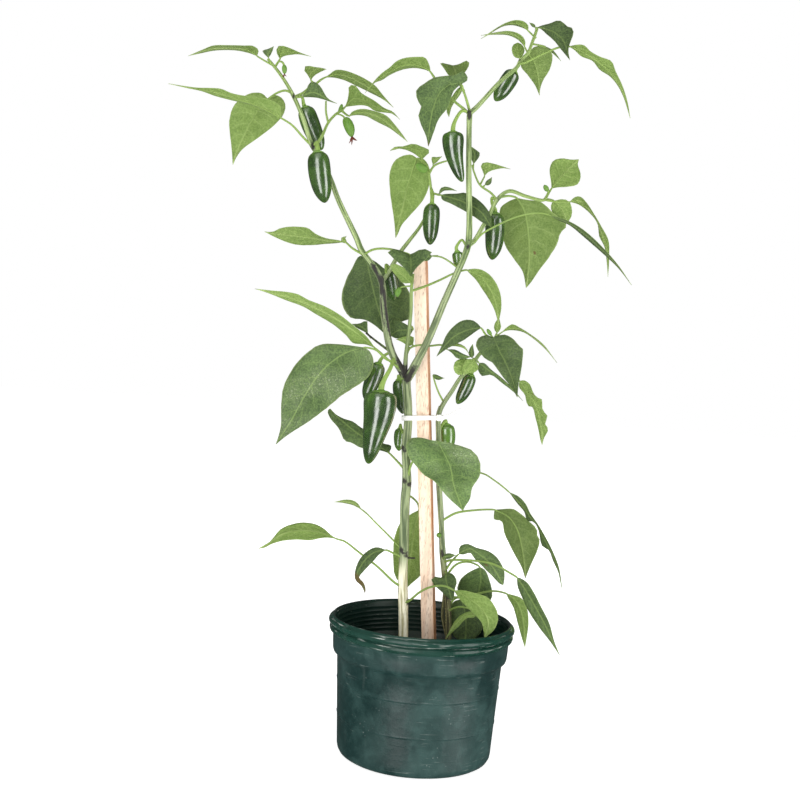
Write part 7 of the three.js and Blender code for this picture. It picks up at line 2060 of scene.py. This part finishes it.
@dataclass
class Stake:
    """The square wooden stake, its arrises a little rounded."""

    width: float = 12.7
    turn: float = math.radians(-13)
    buried: float = 66.0
    soil_top: float = 96.0
    top: Point = (420.5, 258, 9)
    at_rim: Point = (429, 639, 9)
    knot: Point = (434, 552, 4)
    knot_radius: float = 2.5
    steps: int = 60
    round_off: float = 0.45
    end_round_off: float = 0.05
    unevenness: float = 0.12

    def build(self) -> None:
        """Makes the stake."""
        top, rim = VIEW.seen(self.top) / MM, VIEW.seen(self.at_rim) / MM
        down = (rim - top).normalized()
        foot = top + down * ((top.z - self.soil_top + self.buried) / -down.z)
        axes = (Matrix.Rotation(math.atan2(down.x, down.z) - math.pi, 3, "Y")
                @ Matrix.Rotation(self.turn, 3, "Z"))
        half, cut = self.width / 2, self.round_off
        corners = [(half - cut, -half), (half, -half + cut), (half, half - cut), (half - cut, half),
                   (-half + cut, half), (-half, half - cut), (-half, -half + cut), (-half + cut, -half)]
        length = (top - foot).length
        middle = (top + foot) / 2
        knot = VIEW.seen(self.knot)
        points, amber, dark = [foot * MM], [0.0], [0.0]
        for step in range(self.steps + 1):
            height = length * (step / self.steps - 0.5)
            for x, y in corners:
                wobble = self.unevenness * noise.noise(Vector((x * 0.2, y * 0.2, height * 0.03)))
                inset = 1 - (self.end_round_off if step in (0, self.steps) else 0.0) + wobble / half
                place = (middle + axes @ Vector((x * inset, y * inset, height))) * MM
                points.append(place)
                amber.append(1.0 if x > half - cut - 0.01 and abs(y) < half else 0.0)
                dark.append(math.exp(-((place - knot).length / (self.knot_radius * MM)) ** 2))
        points.append(top * MM)
        amber.append(0.0)
        dark.append(0.0)
        draft = Draft()
        draft.add(points, tube_faces(self.steps + 1, len(corners)), {"amber_side": amber, "knot": dark})
        stake = draft.build("wooden_stake", StakeFinish().build(), smooth=False)
        finished(stake, "stake", "stake")


@dataclass
class CableTie:
    """The white tie: a strap round both stems and the stake, its head, and a short tail."""

    height: float = 4.8
    thickness: float = 1.2
    main_stem: Point = (0.2, -15, 5.5)
    stake: tuple[float, float] = (16, -3)
    second_stem: Point = (31.3, -3.8, 4.4)
    stake_width: float = 12.7
    stake_turn: float = math.radians(-13)
    place: Point = (408, 417.5, 12)
    edge: float = 0.3
    head: Point = (31, -10, 2.4)
    head_half: Point = (2.25, 2.0, 3.25)
    tail: tuple[Point, ...] = ((31, -10.5, 2.4), (40, -10.5, 4.5), (47, -10, 8), (53, -9, 11))

    def outline(self, room: float) -> list[tuple[float, float]]:
        """The loop that a taut strap makes, seen from above, with room inside it."""
        rounds = [self.main_stem, self.second_stem]
        for corner in range(4):
            angle = math.radians(45 + 90 * corner) + self.stake_turn
            rounds.append((self.stake[0] + math.cos(angle) * self.stake_width * math.sqrt(0.5),
                           self.stake[1] + math.sin(angle) * self.stake_width * math.sqrt(0.5), 0.5))
        spots = sorted((x + math.cos(a) * (r + room), y + math.sin(a) * (r + room))
                       for x, y, r in rounds for a in turns(24))
        return self.half_hull(spots) + self.half_hull(spots[::-1])

    @staticmethod
    def half_hull(spots: Sequence[tuple[float, float]]) -> list[tuple[float, float]]:
        """One side of the outline round sorted spots."""
        chain: list[tuple[float, float]] = []
        for spot in spots:
            while len(chain) > 1:
                (ax, ay), (bx, by) = chain[-2:]
                if (bx - ax) * (spot[1] - ay) - (by - ay) * (spot[0] - ax) > 0:
                    break
                chain.pop()
            chain.append(spot)
        return chain[:-1]

    def set_down(self, point: Vector) -> Vector:
        """Puts a point of the tie, in mm, where the tie sits."""
        base = VIEW.seen(self.place) - Vector((0, 0, self.height / 2 * MM))
        return Matrix.Rotation(-VIEW.LEAN, 3, "Y") @ (point * MM) + base

    def build(self) -> None:
        """Makes the tie."""
        draft = Draft()
        inner = self.outline(0.0)
        count = len(inner)
        centre = Vector((sum(x for x, _ in inner) / count, sum(y for _, y in inner) / count, 0))
        thick, high, edge = self.thickness, self.height, self.edge
        section = [(0.0, edge), (0.0, high - edge), (edge, high), (thick - edge, high), (thick, high - edge),
                   (thick, edge), (thick - edge, 0.0), (edge, 0.0)]
        points = []
        for index, (x, y) in enumerate(inner):
            before, after = inner[index - 1], inner[(index + 1) % count]
            run = Vector((after[0] - before[0], after[1] - before[1], 0)).normalized()
            outward = Vector((run.y, -run.x, 0))
            if outward.dot(Vector((x, y, 0)) - centre) < 0:
                outward = -outward
            points += [self.set_down(Vector((x, y, 0)) + outward * out + Vector((0, 0, up)))
                       for out, up in section]
        wide = len(section)
        faces = [(i * wide + s, i * wide + (s + 1) % wide, (i + 1) % count * wide + (s + 1) % wide,
                  (i + 1) % count * wide + s) for i in range(count) for s in range(wide)]
        draft.add(points, faces)
        self.add_head(draft)
        self.add_tail(draft)
        tie = draft.build("cable_tie_strap", TieFinish().build())
        self.turn_outwards(tie)
        finished(tie, "tie", "cable_tie")

    def add_head(self, draft: Draft) -> None:
        """Adds the head, a small box with rounded edges."""
        centre, half = Vector(self.head), Vector(self.head_half)
        rows = [(-1, 0.75), (-0.82, 1.0), (0.82, 1.0), (1, 0.75)]
        corners = [(1, -0.7), (1, 0.7), (0.7, 1), (-0.7, 1), (-1, 0.7), (-1, -0.7), (-0.7, -1), (0.7, -1)]
        points = [self.set_down(centre - Vector((0, 0, half.z)))]
        for level, wide in rows:
            points += [self.set_down(centre + Vector((x * half.x * wide, y * half.y * wide, level * half.z)))
                       for x, y in corners]
        points.append(self.set_down(centre + Vector((0, 0, half.z))))
        draft.add(points, tube_faces(len(rows), len(corners)))

    def add_tail(self, draft: Draft) -> None:
        """Adds the strap's thin end, which runs off to the right and rises."""
        way = SmoothWay(self.tail)
        count, sides = 16, 10
        points = []
        for step in range(count + 1):
            share = step / count
            thick, broad = mixed(0.55, 0.4, share), mixed(1.6, 0.8, share)
            across, up = cross_axes(way.heading(share), Vector((0, 0, 1)))
            points += [self.set_down(way.at(share) + across * math.cos(a) * broad + up * math.sin(a) * thick)
                       for a in turns(sides)]
        points = [self.set_down(way.at(0.0)), *points, self.set_down(way.at(1.0))]
        draft.add(points, tube_faces(count + 1, sides))

    @staticmethod
    def turn_outwards(piece: bpy.types.Object) -> None:
        """Turns all faces of closed bodies outwards."""
        work = bmesh.new()
        work.from_mesh(piece.data)
        bmesh.ops.recalc_face_normals(work, faces=work.faces)
        work.to_mesh(piece.data)
        work.free()


@dataclass(frozen=True)
class Softbox:
    """An oblong soft light: its place, its width and height in metres, and what it is turned to."""

    name: str
    place: Point
    size: tuple[float, float]
    watts: float
    mirrored: bool = True
    aim: Point = (0, 0, 0.4)

    def add(self) -> None:
        """Adds the light; it shows in glossy surfaces if it is mirrored."""
        data = bpy.data.lights.new(self.name, "AREA")
        data.shape = "RECTANGLE"
        data.size, data.size_y = self.size
        data.energy = self.watts
        light = placed(self.name, data)
        light.visible_glossy = self.mirrored
        light.location = self.place
        light.rotation_euler = facing(Vector(self.aim) - Vector(self.place))


SOFTBOXES = (
    Softbox("left_front_softbox", (-0.68, -1.55, 0.35), (0.8, 2.4), 18.0),
    Softbox("right_front_softbox", (1.45, -0.88, 0.35), (0.8, 2.4), 18.0),
    Softbox("left_rear_softbox", (-1.5, 0.45, 0.4), (0.6, 2.0), 11.0, False),
    Softbox("right_rear_softbox", (1.5, 0.6, 0.4), (0.6, 2.0), 11.0, False),
    Softbox("low_front_fill", (-0.1, -1.9, 0.2), (1.2, 0.5), 8.0, False, (0, 0, 0.2)),
    Softbox("rear_fill", (0, 1.9, 0.6), (1.2, 0.8), 8.0, False),
)


@dataclass
class Studio:
    """The pale floor, the soft lights and the camera."""

    floor_radius: float = 14.0
    floor_lift: float = -0.0002
    floor_corners: int = 96
    sky: float = 0.3
    mirrored_sky: float = 0.08
    broad_light: float = 0.45
    broad_spread: float = 60.0
    broad_direction: Point = (0.3, 1.0, -1.75)

    def build(self) -> None:
        """Makes the stage."""
        VIEW.add_camera()
        draft = Draft()
        ring = [Vector((math.cos(a) * self.floor_radius, math.sin(a) * self.floor_radius, self.floor_lift))
                for a in turns(self.floor_corners)]
        draft.add(ring, [tuple(range(self.floor_corners))])
        floor = draft.build("studio_floor", FloorFinish().build(), smooth=False)
        floor.visible_glossy = False
        floor.visible_shadow = False
        self.add_air()
        bpy.context.scene.view_settings.view_transform = "Standard"
        sun = placed("broad_light", bpy.data.lights.new("broad_light", "SUN"))
        sun.data.energy = self.broad_light
        sun.data.angle = math.radians(self.broad_spread)
        sun.rotation_euler = facing(Vector(self.broad_direction))
        for softbox in SOFTBOXES:
            softbox.add()

    def add_air(self) -> None:
        """Makes the air white to the eye, dimmer as a light and dimmer still in a mirror."""
        world = bpy.data.worlds.new("studio_air")
        bpy.context.scene.world = world
        world.use_nodes = True
        world.node_tree.nodes.clear()
        tree = Tree(world.node_tree)
        rays = tree.node("ShaderNodeLightPath").outputs
        to_eye, in_mirror = Value(tree, rays["Is Camera Ray"]), Value(tree, rays["Is Glossy Ray"])
        strength = to_eye * (1.0 - self.sky) + in_mirror * (self.mirrored_sky - self.sky) + self.sky
        air = tree.out("ShaderNodeBackground", {"Color": (1.0, 1.0, 1.0), "Strength": strength})
        tree.node("ShaderNodeOutputWorld", {"Surface": air})


def main() -> None:
    """Builds the stage and every piece in order."""
    logging.basicConfig(level=logging.INFO, format="%(message)s")
    Studio().build()
    NurseryPot().build()
    Soil().build()
    Stake().build()
    CableTie().build()
    Pepper().build()


if __name__ == "__main__":
    main()
